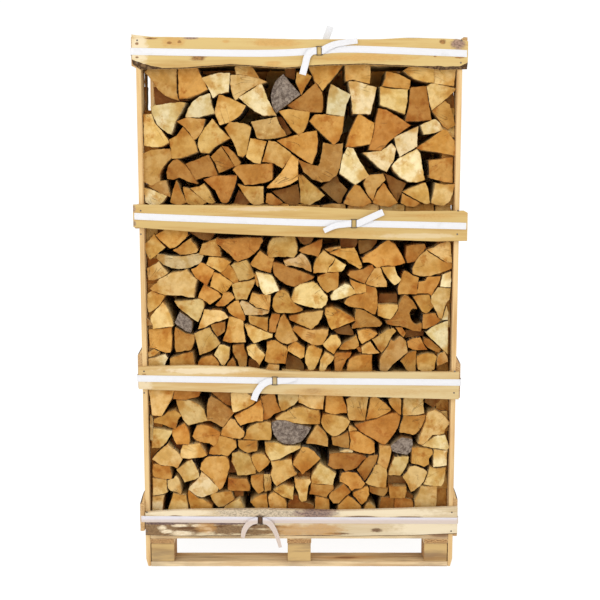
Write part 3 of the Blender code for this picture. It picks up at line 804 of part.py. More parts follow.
def build_pile():
    front_ends = read_ends(FRONT_ENDS)
    for tier, level in enumerate(("low", "mid", "top")):
        low, high = TIER_LIMITS[tier], TIER_LIMITS[tier + 1]
        here = [end for end in front_ends
                if low < sum(p[1] for p in end[1]) / len(end[1]) < high]
        y = ROW_FRONTS[0]
        pile_row("wood_front_" + level, tier, 0, here, y, y + LOG_LENGTH, -1.0)
        y = ROW_FRONTS[1]
        pile_row("wood_middle_" + level, tier, 1, [], y + LOG_RELIEF * -1.0, y + LOG_LENGTH, -1.0)
        y = ROW_FRONTS[2] + LOG_LENGTH
        pile_row("wood_rear_" + level, tier, 2, back_ends(low, high), y, y - LOG_LENGTH, 1.0)


def ribbon_station(x, z, across, inner, outer):
    """Four corners of the strap where it lies flat on the front: across is its half width."""
    ax, az = across
    top, bottom = (x + ax, z + az), (x - ax, z - az)
    return [(top[0], inner, top[1]), (bottom[0], inner, bottom[1]),
            (bottom[0], outer, bottom[1]), (top[0], outer, top[1])]


def corner_station(x, y, thick_x, thick_y, z):
    """A station where the strap turns a corner of the crate, its upper edge last."""
    w = STRAP_HALF_WIDTH
    x_out, y_out = x + thick_x, y + thick_y
    return [(x, y, z - w), (x, y, z + w), (x_out, y_out, z + w), (x_out, y_out, z - w)]


def flat_run(points, inner, outer):
    """Stations along a strap lying flat, mitred where it turns."""
    stations = []
    for i, (x, z) in enumerate(points):
        before = points[max(i - 1, 0)]
        after = points[min(i + 1, len(points) - 1)]
        dx, dz = after[0] - before[0], after[1] - before[1]
        length = math.hypot(dx, dz)
        across = (-dz / length * STRAP_HALF_WIDTH, dx / length * STRAP_HALF_WIDTH)
        stations.append(ribbon_station(x, z, across, inner, outer))
    return stations


def height_at(line, x):
    for (x0, z0), (x1, z1) in zip(line, line[1:]):
        if x <= x1:
            break
    return z0 + (z1 - z0) * (x - x0) / (x1 - x0)


def fold(x, z, towards):
    """Stations round a side bar of the buckle, from the over layer back to the under one."""
    middle = -(STRAP_BACK + STRAP_THICK + FOLD_INSIDE)
    w = STRAP_HALF_WIDTH
    stations = []
    for degrees in (-90, -45, 0, 45, 90):
        turn = math.radians(degrees)
        rims = []
        for radius in (FOLD_INSIDE + STRAP_THICK, FOLD_INSIDE):
            rims.append((x + towards * radius * math.cos(turn), middle + radius * math.sin(turn)))
        (xb, yb), (xf, yf) = rims
        stations.append([(xb, yb, z - w), (xb, yb, z + w), (xf, yf, z + w), (xf, yf, z - w)])
    return stations


def tail_run(root, points):
    """Stations of a tail over the strap, from its fold to its tip."""
    near = -(STRAP_BACK + STRAP_THICK + 2 * FOLD_INSIDE)
    path = [root] + [(x * CM, z * CM) for x, z in points]
    return flat_run(path, near, near - STRAP_THICK)[1:]


def build_strap(number, line, buckle, low_tail, high_tail):
    """One strap: it folds back round each side of its buckle and runs round the crate between."""
    under = (-STRAP_BACK, -STRAP_BACK - STRAP_THICK)
    line = [(x * CM, z * CM) for x, z in line]
    bar = (BUCKLE_SIZE[0] - WIRE) / 2
    left_bar, right_bar = buckle * CM - bar, buckle * CM + bar
    left_root = (left_bar, height_at(line, left_bar))
    right_root = (right_bar, height_at(line, right_bar))

    tail = tail_run(left_root, low_tail)
    # The low tail is drawn from its fold outwards, so its stations are turned and taken backwards.
    stations = [[s[3], s[2], s[1], s[0]] for s in reversed(tail)]
    stations += fold(left_root[0], left_root[1], 1.0)
    along = [p for p in reversed(line) if p[0] < left_bar - 0.02]
    stations += flat_run([left_root] + along[:-1] + [(along[-1][0] + 0.012, along[-1][1])], *under)[1:]

    side = HALF_WIDTH + GAP + SIDE_BOARD_THICK + 0.0005
    left, right = -max(side, -line[0][0] + 0.0005), max(side, line[-1][0] + 0.0005)
    rear = max(side, REAR_BOARD_HALF + 0.0005)
    t = STRAP_THICK
    z_left, z_right = line[0][1], line[-1][1]
    stations.append(corner_station(left, -STRAP_BACK, -t, -t, z_left))
    stations.append(corner_station(-rear, STRAP_BACK, -t, t, z_left))
    stations.append(corner_station(rear, STRAP_BACK, t, t, z_right))
    stations.append(corner_station(right, -STRAP_BACK, t, -t, z_right))

    along = [p for p in reversed(line) if p[0] > right_bar + 0.02]
    arriving = [(along[0][0] - 0.012, along[0][1])] + along[1:] + [right_root]
    stations += flat_run(arriving, *under)[:-1]
    stations += reversed(fold(right_root[0], right_root[1], -1.0))
    stations += [[s[2], s[3], s[0], s[1]] for s in tail_run(right_root, high_tail)]
    add_ribbon("strap_%d" % number, stations)


def add_ribbon(name, stations):
    corners = [corner for station in stations for corner in station]
    faces = [(0, 1, 2, 3)]
    for i in range(len(stations) - 1):
        a, b = 4 * i, 4 * (i + 1)
        for k in range(4):
            n = (k + 1) % 4
            faces.append((a + k, a + n, b + n, b + k))
    end = 4 * (len(stations) - 1)
    faces.append((end + 3, end + 2, end + 1, end))
    add_solid(name, corners, faces, "strap")


def build_loose_end():
    face = LOOSE_END_BEHIND
    stations = flat_run([(x * CM, z * CM) for x, z in LOOSE_END], -face, -face - STRAP_THICK)
    add_ribbon("strap_loose_end", stations)


def build_buckle(number, line, buckle):
    """A flat frame of wire, with a fold of the strap round each of its sides."""
    middle = -(STRAP_BACK + STRAP_THICK + FOLD_INSIDE)
    bx, bz = buckle * CM, height_at(line, buckle) * CM
    corners = []
    for y in (middle + WIRE / 2, middle - WIRE / 2):
        for shrink in (0.0, WIRE):
            a, b = BUCKLE_SIZE[0] / 2 - shrink, BUCKLE_SIZE[1] / 2 - shrink
            corners += [(bx + s * a, y, bz + t * b) for s, t in ((-1, -1), (1, -1), (1, 1), (-1, 1))]
    faces = []
    for k in range(4):
        n = (k + 1) % 4
        faces += [(k, n, n + 4, k + 4), (k + 8, k + 12, n + 12, n + 8),
                  (k, k + 8, n + 8, n), (k + 4, n + 4, n + 12, k + 12)]
    add_solid("buckle_%d" % number, corners, faces, "buckle")


def main():
    clear_scene()
    build_pallet()
    build_posts()
    build_boards()
    build_pile()
    for i, (line, buckle, low_tail, high_tail) in enumerate(STRAPS):
        build_strap(i + 1, line, buckle, low_tail, high_tail)
        build_buckle(i + 1, line, buckle)
    build_loose_end()


main()
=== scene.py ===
# Looks of a crate of split ash firewood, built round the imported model.
# Every place is in metres in the model's frame, with the front towards -Y.
# Heights and places read off the front are in centimetres, as written on a cutting list.
import math
import random

import bpy
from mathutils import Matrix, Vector, noise


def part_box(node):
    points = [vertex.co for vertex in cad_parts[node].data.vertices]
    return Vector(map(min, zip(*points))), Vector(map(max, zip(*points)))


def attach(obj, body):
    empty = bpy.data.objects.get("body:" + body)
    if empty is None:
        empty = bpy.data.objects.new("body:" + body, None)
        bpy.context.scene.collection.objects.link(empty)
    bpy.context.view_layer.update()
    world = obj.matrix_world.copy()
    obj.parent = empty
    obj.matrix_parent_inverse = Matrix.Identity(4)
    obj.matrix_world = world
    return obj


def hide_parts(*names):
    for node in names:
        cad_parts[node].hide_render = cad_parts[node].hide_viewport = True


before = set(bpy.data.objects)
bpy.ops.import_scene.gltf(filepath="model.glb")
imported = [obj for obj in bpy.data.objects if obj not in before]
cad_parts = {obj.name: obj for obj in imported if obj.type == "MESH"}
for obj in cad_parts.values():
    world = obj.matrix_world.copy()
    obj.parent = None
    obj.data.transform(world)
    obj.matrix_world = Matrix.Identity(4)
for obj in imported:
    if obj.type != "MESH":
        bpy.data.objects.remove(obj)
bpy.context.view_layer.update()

CM = 0.01
ROOT = "root"

# Rows of 25 cm logs, seen from the front and from the back.
LOG_LENGTH = 0.250
ROW_DEPTH = 0.260
FIRST_ROW_FRONT = -0.385
PILE_HALF_WIDTH = 0.5805
PILE_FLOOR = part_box("wood_front_low")[0].z
PILE_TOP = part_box("wood_front_top")[1].z
TIER_JOINTS = (PILE_FLOOR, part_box("wood_front_mid")[0].z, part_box("wood_front_top")[0].z, PILE_TOP)
TRACED_MIDDLE, TRACED_SCALE = 60.5, 0.983

# How far each kind of end stands behind the front of its row.
SET_BACK = {"p": 0.001, "s": 0.002, "o": 0.005, "t": 0.004, "b": 0.010, "g": 0.006, "d": 0.032}

# Colour of each kind of end: p pale, s straw, t tan, o orange, b brown, g grey, d dusky: a dark brown that is partly
# the ends' own colour and partly painted shade for ends set deep in the pile.
END_SRGB = {"p": (0.85, 0.77, 0.59), "s": (0.82, 0.69, 0.45), "t": (0.78, 0.62, 0.36), "o": (0.75, 0.56, 0.285),
            "b": (0.68, 0.48, 0.23), "g": (0.46, 0.39, 0.34), "d": (0.54, 0.37, 0.18)}

FRONT_ENDS = """
s 1.6,70.3 11.3,70.2 10.5,66.9 8.7,64 6.3,60.3 2.9,60.6 2.4,63.5 2,67.7
b 11.8,70.4 21.7,70.3 20.8,67.7 18.4,67 15.8,66.3 12.6,66.4 11.2,66.8
s 12.4,65.9 15.8,66 16.8,66.2 18.9,65.5 21.3,64.3 22.9,62.4 23.8,59.8 24.2,58.2 21.1,57.4 17.1,56.5 15.8,57.2
  14.4,59.6 13.1,62.4
t 25.8,67.4 27.4,66.8 30,65.2 31.6,63.8 34.8,61.4 33.6,59.8 31.7,57.2 30.3,55.7 27.9,56.9 25.8,58 24.4,58.1
  24.3,60.9 24.3,64 24.9,66.4
b 26.1,69.3 33.8,69.2 33.3,66.9 33.6,63.8 31.8,64.2 29.9,65.8 27.8,67.5
s 33.9,68.8 40,69.1 41.6,67.7 43.6,66.4 42.6,64.9 40,63.3 38.2,62.7 35.5,61.6 34.6,61.8 34,63.5
o 3.4,58.5 7.4,60.2 8.8,61.6 11.8,62.1 13.8,60.1 12.5,58.2 11.5,54.9 10,55.3 6.6,56.8 3.4,57.6
s 3.2,55 7.4,54.7 10.2,54 10.2,53.2 8.7,50.7 7.6,49.1 5.5,47.4 2.4,47.4 2.6,50.3
p 2,60 2.8,59 2.6,50.5 1.9,51
o 10.5,54 11.8,55 15.3,56.7 16.3,55 17.1,53 17.2,50.3 16.8,48.8 14.2,48.6 12.1,48.9 11.1,50.3 10.5,52.2
o 20.3,55.9 22.1,56.4 24.5,55.8 27.6,54.5 29.3,53 28.6,51.1 27.8,48.8 26.8,48.1 25,49 21.6,49.5 19.2,50.6
  18.6,51.7 19.2,53.8
t 33.4,58.7 35,58.3 36.2,56.6 38.7,53.6 38.5,52 36.8,51 34.2,51.2 29.8,52.6 30.1,54.3 31.7,56.6
o 35.3,59.6 36.8,60.8 40,62.4 42.6,64 44.5,65.7 45.3,66 46.3,62 45.9,58.1 43.9,57.9 40,57.1 37.4,56.3
  36.4,57.2
b 45.6,67.2 48.2,68.4 50.7,68.6 51.5,65.3 53,61.7 50.5,60.5 49.5,59.4 47.6,58.2 46.3,58.2 46.7,62
t 39.8,54.3 41.6,55.8 43.9,57 47.4,57.5 49.1,56.9 49.4,54.3 49.5,51.7 48.9,50.5 43.9,50.4 40,50.7 38.6,50.8
  39.4,52.2
o 36.6,49.9 40,50.1 43.6,49.9 43.7,46.3 40,45.3 39.5,45.5 37.2,46.8 36.4,48
s 52.4,68.6 59.7,68.3 60,66.4 58.9,64.9 56.8,63.4 54.7,62.2 53.6,62.1 52.7,64.3 52.3,66.7
s 60.4,68.1 70.2,68 70,65.3 69.6,62.9 67.6,62.8 65,63.1 62.6,64.4 60.5,65.5
t 53.2,60.4 55.8,61.8 58.4,63.1 61.8,63.7 65,62.6 67.9,62.1 68.7,59.8 68.4,57.1 65,56.8 61.1,56.9 57.9,57.4
  54.7,58.4 51.6,58.4 51.2,59
g 49.8,57.2 51.8,58.1 55.8,58 58.4,56.9 62.4,56.1 64.9,55.2 64.4,53.8 62.9,51.4 61.1,49.5 58.4,48.7 54.7,48.7
  52.1,50.2 50.5,52.5 49.8,55.1
t 67.6,56.3 68.9,55.2 70.8,53.1 71.9,50.6 71.6,47.9 67.6,48.6 63.5,49.1 63.9,50.4 65.4,53.2
o 71.3,67.6 77.4,67.5 78.2,65.1 79.1,63 79.2,61.3 76.8,61.2 74.7,60.6 72.9,61 70.9,61.8 70.9,64.3
t 70,60.3 72.9,60.6 75,60.2 79.3,59 80.2,57.7 79.6,55.9 78.2,53.9 76.1,52.4 73.9,51.9 72.1,53 70.3,54.8
  69.1,57.2 69.5,59.3
s 79.2,66.5 80,67.2 87.5,67.1 87,63.5 86.2,58.4 84.7,58.1 81.6,58.3 80.4,58.6 79.7,59.9 79.4,63.5
o 88.7,67 91.6,66.9 94.2,65.1 96.6,62.7 96.4,62 94.7,61 91.3,59.4 88.9,58.9 87.2,58.8 87.7,62.2 88.3,64.8
t 95.8,66.7 100.3,66.7 100.5,63.5 100.3,60.6 98.5,62 97,63.5 96,65.1
s 102,66.7 109.1,66.7 109.2,64 109.5,61.2 107.4,60.4 103.7,60.2 101.6,60.4 101.4,63
o 101.6,59.8 105,59.8 110,60.1 109.9,58.2 108.4,55.1 106.6,52.8 105.3,52.4 102.6,53.1 100.4,53.6 100.4,55.9
  101.1,57.7
b 82.7,56.2 86.3,57.5 90.5,58.5 93.7,60 96.8,60.9 98.9,60.8 100.1,59.6 100.1,57.7 99.4,55.1 97.9,52.7
  96.2,50.3
  94.4,48.6 93.2,48.6 91.1,49.9 87.9,51.9 84.6,53.8
s 111.3,61.4 113.9,62.2 116.3,61.1 118.2,59.3 119.5,57.2 117.9,54.8 117.6,53.5 115.3,52.6 112.9,52.6
  111.1,50.4
  108.9,48.9 107.7,49.3 107.9,51.4 108.9,54 110.3,57.7 110.5,60.1
p 115.3,52.2 117.9,52.2 118.9,50.3 119.5,47.6 118.9,46.8 116.8,46.9 113.7,47.2 109.3,48.2 111.6,50.2
  113.7,51.7
d 110.3,66.6 116.8,66.6 115.2,64.3 113.9,62.6 111.6,63.8 110.5,64.8
d 117.4,65.3 119.5,65.9 119.5,59.5 117.8,61.7 116.4,63.5
g 98.4,49.6 101.1,51.4 103.2,51.2 105,50.4 105.4,48.8 104.6,45.9 103.2,44.7 99.5,45.1 97.5,46.2 97,47.8
b 73.5,51.1 76.8,52 79.7,53.3 80.3,50 80.1,47.2 79.5,47.1 76.8,47.7 74,48.6
o 80.4,53.6 82.6,53.8 84.4,53.3 86.8,51.7 89.4,50 90.2,49 90.2,45.6 88.7,44.7 85.3,45.2 82.4,46 80.7,46.7
  80.9,50
s 80.4,56 81.5,55.7 83,54.5 80.3,54.2
s 8.7,48.8 10.3,47.4 12.4,45.9 14.1,43 13.6,41.7 12.1,39.3 10.5,40.1 7.4,40.2 5.3,40.8 3.4,42.1 2.6,42.8
  3.4,44.3 5,45.9 7.4,48
d 9.8,49.8 11,48.5 13.7,48.2 13.3,45.3 12.7,45.9 10.9,47.4
s 14.7,48.2 16.8,48.5 21.1,49 22.1,47.5 22.9,46.5 23.7,44.4 22.4,43.7 19.5,43.4 16.8,43 14.4,43.5 13.6,44.6
  13.9,46.7
s 17.9,42.3 18.9,41.2 19.9,39.3 20.7,37 20.7,35.8 18.9,34.7 17.1,34.1 15.1,33.8 14.2,35.1 13.2,37 12.2,38.4
  14.2,40.2 16.3,41.8
o 2.9,40.4 3.9,40.8 6.3,40 8.9,39.8 9.6,37.5 9.9,35.5 9.6,34.8 6.3,34.8 3.2,35.5 2.4,36.5 2.4,38.6
s 2.6,35 7.6,34.4 7.9,32.2 7.8,30.7 8,29.7 6.3,28.8 2.6,28.5 2.5,31.7
s 8.4,34.2 10.5,34.9 11.6,35.8 12.8,34.9 13.4,32.2 13.6,30.1 13.2,28.7 11.8,29.4 9.2,30 8.3,31.2
p 2.4,27.6 6.7,28.2 6.3,25.7 5.6,20.5 2.1,20.5
s 10.5,28.8 13.2,28.3 15.2,28 15.7,26.2 16.2,23.3 16.2,20.5 8,20.5 8.5,23.3 9.7,26.2
p 21.8,37.5 23.2,36.6 25,35 26.5,33.2 28.2,31.2 27.6,29.7 25,28.4 21.8,27.4 20,27.7 18.4,28.9 16.8,30.4
  17.2,31.7 19.5,33.8 21.1,35.9
o 16.6,30 18.4,28.5 20,27.1 22.4,26.4 24.5,25 25.6,23.8 25.4,20.8 17.2,20.8 17.1,23.6 16.4,26.5 16.2,28.8
t 25.4,28 26.4,29 28.9,29.2 33.1,29.6 33.8,28.6 34.4,26.6 32.6,25.2 30.5,23.7 28.4,23.4 27.2,24.4 25.9,26.2
s 31.1,23.5 32.9,24.8 36.7,26.8 37.8,25.1 38.6,23.3 38.6,20.8 29.5,20.8
t 23.2,43 24.7,43.9 31.3,43.5 32.5,42 32.8,39.3 32,36.5 31.2,33.8 30,31.3 28.9,30.8 26.9,33.3 25.1,35.4
  22.5,37.6 21.4,38.8 21.9,41.2
o 28.9,51.8 30.3,51.8 34.1,50.6 35.2,49.8 35.4,47.5 34.1,45.9 32.1,44.2 29.7,44.5 26.6,44.4 25,44.9 25.4,46.5
  26.8,47.7 28,48.7 28.5,50.1
t 34.3,45 36.3,45.8 38.2,45.2 40,44.9 41.2,43.6 41.6,42 43.2,38.8 43,37.2 39.5,36.4 36.2,36.4 35.6,38
  34.6,40.1
  33.8,41.7 34,43.8
b 32.5,34.9 35.3,34.7 39.5,34.4 40.8,32.2 40.6,30 39.7,29.7 33.4,29.9 32.5,30.2 32.2,32.2
d 33.1,41.2 33.9,40.6 35.2,38 35.3,36.6 32.5,36.6 33.1,39
d 34.6,29 38,29.2 37.9,27.2 35.5,26.7 34.8,27.1
t 41.8,43.6 43.2,44.8 45.3,45.1 46.8,44.5 48.6,41.7 48.1,40.4 46.3,38.8 44.7,37.7 43.9,38.1 42.7,40.4
  41.9,42.2
s 47.2,49.2 51.8,49.4 54.2,48.1 61,47.9 61,47.2 58.4,45.9 55.3,44.4 52.9,42.9 49.3,42.4 48.3,43.7 47.3,45.7
t 49.6,41.7 53.2,42.1 55.8,42.6 57.1,42.4 57.8,40.1 58.6,37.8 59.4,36.8 57.1,35.5 53.9,33.7 51.6,32.2
  50.5,33.1
  49.7,35.1 49.3,36.7 50,39.3
o 60.6,45.4 61.8,47.4 63.7,47.2 66.3,45.8 68.6,42.8 67.3,41.3 65,39.2 62.9,37.6 61.8,36.7 60.5,38.1 58.3,40.4
  58.3,41.7 59.5,43.6
s 68.8,41 70,40.3 72.1,39 74.8,36.7 74.3,34.6 73.6,32.4 70.3,32.7 65.6,33.1 65.4,35.4 66.4,37.8 67.7,39.8
o 65.4,32.5 68.9,32.3 73.8,32 74,30.7 72.5,29.1 71.2,27.4 67.9,28.1 64.8,28.7 65.1,30.7
s 58.8,34.9 60.3,34.7 64.5,34.7 64.9,33.8 64.1,32.2 63.6,28.3 63.1,26.3 61.6,25.8 60.4,27 60.1,29.3 59,31.7
d 60.3,36.2 64.9,36 64.9,35.1 60,35.2
s 50.6,30.4 51.9,31.6 54.2,32.6 56.8,32.1 58.1,31.5 58.1,28.6 57.8,26.8 56.3,27.1 54.3,27.6 52.2,29.1
t 48.8,28.5 50.4,29.2 52.4,28.4 54.6,26.8 55.4,24.8 55.2,20.8 48.6,20.8 48.8,23.6 48.4,25.9 48.2,27.5
o 41.7,35.7 43.4,36.3 46.2,36.4 46.2,33.3 46.1,30.1 44.5,28.8 43.3,29.7 41.9,31.7 41.3,33.6
t 46.8,36.5 48.9,36.6 49.3,34.9 49,30.5 47.1,30.1 46.7,33.3
o 41.4,25.4 42.7,27.1 44.5,27.9 47.3,28.4 47.6,26.2 48,23.3 47.8,20.8 43,20.8 42.9,23.3
b 58.4,27.8 59.7,27.6 60.3,26 62,25.3 64.9,24.5 66.1,23.5 66,20.8 56,20.8 55.9,24.2 56.9,25.6
o 67.4,27.4 70.3,26.9 72.2,26.1 72.3,20.8 66.6,20.8 66.9,23.8 66.9,25.7
o 74.5,30 76.8,31.6 78.2,32.6 79.8,30.7 80.6,29.6 79.9,28.6 78.2,27.2 76.1,25.2 74.2,25.2 72.7,26.8 72.5,28
  73.3,29.3
o 76.9,35.7 77.9,37.2 80,37.7 81.1,37.6 83.1,37.3 84.6,35.7 86.4,33 85,31.3 82.6,30.9 81.4,30.2 80.1,31.9
  78.4,33.1 76.8,33.9
b 72.7,44.6 73.9,45 76.8,45.1 80,45 82.1,44.9 85.2,44.1 86.9,43.2 85.2,41.6 83.3,39.4 81.6,38.5 79,38.1
  77.9,38.9 75,38.8 73.8,39 72.2,40.4 72.5,42.8
p 76.8,45.7 78.5,46.5 80.3,46.6 81.8,46 81.5,45.5
b 87.2,43 88.7,43.9 91.5,44 91,41.2 89.5,38.6 87.8,35.4 86.6,34 85.1,35.9 83.9,38 85.6,40.7
t 90.9,40.3 91.8,40.5 94.9,38.5 95.4,36.5 95,33.3 94.9,31.3 91.3,31.6 88.3,32.5 87,33.4 88.3,35.4 89.7,38
t 92.5,48 94.7,48.1 96.5,47.6 97,46.2 96.5,43.3 95.7,40.1 95,38.8 93.3,39.9 91.8,41.1 92.3,44.1
s 98.4,43.5 103.6,43.5 103.7,41.7 102.3,38.6 100.5,36.3 96.2,36.6 96.4,38.8 97.5,41.7
o 105.3,47.2 107.6,47.5 111.1,47.1 112.8,46.4 113.1,44.9 111.7,43 111.7,40.8 110,40 107.1,40.8 105.1,41.3
  105.1,44.1
p 113.9,46.4 118.9,46.1 118.8,43.3 118.6,40.5 116.3,39.8 113.9,39.8 113.7,42.8
s 104.7,39.6 106.8,40 109.9,38.7 111.1,37.5 109.9,33.8 108.3,31.8 106.3,30.3 105,29.8 103.5,32.8 101.8,35.7
  103.3,37.8
s 112.4,39.5 115,38.8 118.3,39.2 118.3,36.5 117.8,33.3 116.7,32.1 112.9,32.1 110.2,32.8 111.2,35.4 111.9,37.8
s 109,31.6 111.6,31.7 115,31.5 115.2,28.3 115,23.6 114.9,20.6 105.8,20.6 106.7,23.6 106.4,25.9 108,29.1
o 96.4,31.6 102.8,31.6 103.1,29.9 102.3,27.4 100,27.1 96.9,27.2 96.4,29.1
b 88.8,31.3 90.5,31.1 95.7,30.8 95.7,29.6 94.1,27.7 91.8,28.1 89.8,28.7 88.8,29.6
o 82.5,29.1 85.2,30.6 87.5,31.8 88,31.2 88.3,28.6 87.3,26 85.5,24.3 84.8,24.7 83.5,26.5 82.3,28
b 93.4,27 96.3,27.1 98.1,26.6 98.1,23.6 98,20.8 92.5,20.8 92.6,23.6
b 98.8,26.4 102.4,26.7 104.7,26.1 105.7,25.3 106,23.6 105.6,20.8 98.5,20.8
o 78.1,26 80,27.6 81.6,27 83.4,25.3 84.9,23.5 84.8,20.8 75.8,20.8 76.4,24.3
s 87.3,24.4 88.3,25 90.7,23 90.7,20.8 86,20.8
d 96.2,35 102,34.6 102.9,32.2 96.2,32.3
d 103.5,28.9 104.5,28.5 105.9,26.8 105.6,25.9 103.3,27
d 1.2,132.5 8.8,132.2 5.2,130.2 1.4,130.4
t 4.7,130.1 5.3,129.2 7,127.2 8.6,125.3 6.6,123.5 5,122 2.9,120.9 2.2,121.7 1.3,124 1.2,126.4 2.9,128.1
d 1.2,129.8 4,130 1.6,127.4
o 5.6,129.9 8,131.4 10.5,132 17.3,131.4 17.5,130 15.8,128 14.2,126.5 12.4,125.2 10.8,125.1 8.7,126.7 7,128
t 18.7,128.5 19.1,127.6 20.8,126.1 21.2,124.3 20.8,123.6 17.9,122.7 14.7,122.5 13.2,123.4 12.2,124.2
  13.4,124.8 14.7,125.9 17.1,127.7
d 17.9,131.1 20,131.8 27.9,131.2 27.1,129.3 25.8,127.9 23.7,127.9 21.8,128.6 20,129.8
t 28.6,128.4 28.8,126.1 29.7,125.2 30.1,121.9 26.3,122.2 23.4,122.6 22.2,122.9 22.8,125.1 23.3,126.3 25,127.1
  26.8,127.9
p 6.2,122.5 7.6,122.6 8.9,122.2 11.8,121.9 15,121.8 18.4,122.3 21.6,122.9 22.9,122.6 23.3,121.9 22.9,120.6
  22.1,119.3 20,118.6 19.5,118.1 17.1,117.4 14.7,117.2 12.1,117.4 9.5,118.2 7.9,119.2 6.3,120.6 5.9,121.4
s 5,119 6.4,119.6 7.6,118.1 9.2,116.5 9.7,115.6 8.7,114.7 6.3,113.5 4.5,113 2.5,113 2.1,114.6 2,117.2
  3.4,118.1
d 1.3,121.2 5.5,120.7 3.9,119.3 1.8,118.2
s 17.1,116.8 18.2,115.6 19.6,114.2 20.7,113 20.3,110.9 19.9,107.7 19.6,106.4 17.9,106.3 14.7,107.1 11.8,107.1
  8.7,107.2 6.1,108 3.9,108.8 2.9,109.6 3.7,110.6 5.5,111.8 6.4,113.2 8.9,114.4 11.1,115.6 13.2,116.1
  15,116.1
t 1.8,107.4 3.4,108.5 5.5,107.7 8.2,106.8 7.6,105.4 6.6,103.7 5.1,102.2 3.7,101.2 2.1,100.6 1.6,102
o 24.2,119 24.9,118.2 27.4,116.5 27.2,115.3 25.9,113.2 24.6,111 22.6,112.3 20.5,113.8 19.5,115.3 19.1,116.8
  20.8,117.7 22.6,119.3
t 25.3,120.6 25.7,121.4 28.9,121.4 31.6,121 33.8,119.6 32.9,118.4 31.3,116.4 30.3,116 28.7,116.8 26.3,117.8
  25,118.9
o 33.4,118.5 34.5,117.7 36.1,115.6 37,113.2 36.7,112.2 35.5,111.8 33.9,112.8 31.8,114.2 30.4,115.6 31.6,116.7
o 27.6,115.6 29.7,115.2 31.6,113.9 33.9,112.4 34.5,111.6 33.7,110.3 32,108.4 30.8,107.8 29.2,108.6 27.6,109.7
  26.3,110.4 26.6,112.5 27.1,114.3
o 28.8,128.8 30,128.3 35.5,128.6 40,128.9 46,128.6 46.3,127.6 45.5,126.4 44.9,124.6 43.2,123 41.3,121.7
  40,121 38.9,120.7 36.8,120.1 35.5,120.7 33.7,122.7 31.8,124.3 30.2,125.8 29,126.8
t 34.5,118.5 35.3,119.3 37.4,119.7 40,120.3 40.8,119.7 41.6,118.2 42.6,115.9 43.2,114.6 41.6,113.2 38.9,112.8
  37.4,112.7 36.8,114 35.8,115.9
o 23.8,110.9 25.3,110.1 27.6,109 29.2,108 29.9,106.5 27.9,104.9 25.9,103.7 24.5,104.4 22.9,105.5 21.6,106.2
  21.8,107.7 22.6,109.3
o 31.3,107.7 32.9,108.2 34.2,107.7 35.2,106.2 33.9,104.7 31.6,103.1 29.2,102.8 28.4,103.3 29.5,104.7 30.5,106
t 34.7,111.1 36.8,111.9 40,112.3 43.3,112.9 42.9,111.1 41.6,108.8 40.5,106.6 40,105.7 38.2,105.6 36.1,105.5
  35.6,106.7 35,108.8
t 49.3,127.7 50.5,128.9 54.7,129.3 58.8,129 59.5,126.9 59.7,125.1 59.6,123 58.4,121.6 55.8,121.8 51.8,121.9
  50.5,121.6 48.8,121.9 48.3,123.5 48.6,125.9
d 59.9,129.2 60.7,127.4 61.9,126.4 63.2,126.1 64.4,126.5 65.3,127.5 66.2,129.4
b 69.2,128.2 69.2,125.6 68.4,123.5 67.8,121.8 65,122.5 61.8,123.1 60.7,124 61.1,124.8 63.7,125.9 66.3,127.1
o 45.4,123.8 47.1,122.7 48.9,121.6 50.5,120.9 50.4,119.3 49.7,117.2 49.3,115.8 47.4,116.1 45.3,116.8 42.9,118
  41.8,118.9 42.6,120.6 44.2,122.5
p 54.7,120.1 56.8,120.9 59.5,121.5 61.3,122.7 62.6,122.2 63.9,120.4 64.9,118.2 65,116.3 63.4,116.6 62.1,117.6
  60.3,117.8 58.4,118.4 56.8,118.6 55.5,118.4
b 50.5,119.3 51.8,119.3 53.9,118.8 55.5,117.9 58.4,117 61.1,116.1 63.7,115.1 66,113.9 65.3,113 62.6,111.9
  60,110.8 58.4,110.3 55.8,110.9 53.2,112.5 51.2,114.3 50.4,116.1 50.3,118
p 43.9,115.7 45.8,115.5 48.7,115 50,114.4 50.8,113 51.8,110.9 52.4,109 50.5,108.2 48.7,107.5 47.6,107.3
  46.6,108 45.5,109.8 45,111.9 44.5,114
t 43.3,115.3 44,114.6 44.7,111.9 44.5,110.6 43.9,111.2
t 70,123.9 71.3,123 73.9,121.3 73.6,119.6 71.8,117.9 71,116 68.4,115.8 66.3,115.8 66.1,117.2 66.3,119.3
  67.4,121.1 68.7,122.7
s 74.5,121.1 76.6,119.8 78.2,118.5 77.9,117.2 76.8,116.2 74.2,116 71.6,116.2 72.2,117.6 74,119.4
o 71.3,115.5 75.5,115.7 75.7,113.5 75.7,110.9 75,109.3 72.9,108.8 71.3,108.3 70,108.9 68.7,110.6 67.6,112.7
  67.8,113.7 69.5,114.8
s 62.9,111.7 66.3,112.1 67.6,111.3 68.9,109.6 70.3,107.7 71.4,106.6 71.5,105.3 70.8,103.6 69.2,102.3
  67.1,102.2
  64.2,102.7 60.8,103.6 58.4,104.5 57.7,105.7 58.2,108 58.9,109.8 60.6,111
p 74.2,108.8 76.1,110.1 78.2,111.3 80,111.1 80.8,110.3 81.6,109.3 82.3,107.9 80,106.8 77.9,106.1 75.5,105.5
  73.2,105.3 72.9,106.7
t 80.5,112.9 82.6,112 85,111.3 86.1,110.9 86.1,108.4 84.5,107.8 82.7,107.9 81.8,109.6 80.5,111.2
b 80.2,116 82.6,116.4 85.3,116.9 87.6,118.2 88.7,118.4 89.2,117.2 88.2,115.6 86.9,113.5 85.8,111.7 83.4,112.5
  81.1,113.5 79.6,114.8
o 72.6,123.2 75,124.4 76.8,124.8 80,124.9 81.6,125 82.4,124 83.4,121.9 84.5,119.3 84.7,117.9 83.9,117.1
  82.4,118 80,119.3 78.2,120.8 75.5,121.9
s 70.6,124.5 72,124.9 76.4,125.6 76.4,125 74,124.7 72.4,123.8
d 76.7,128.4 83,128 83,126.5 82,125.3 76.8,125.3
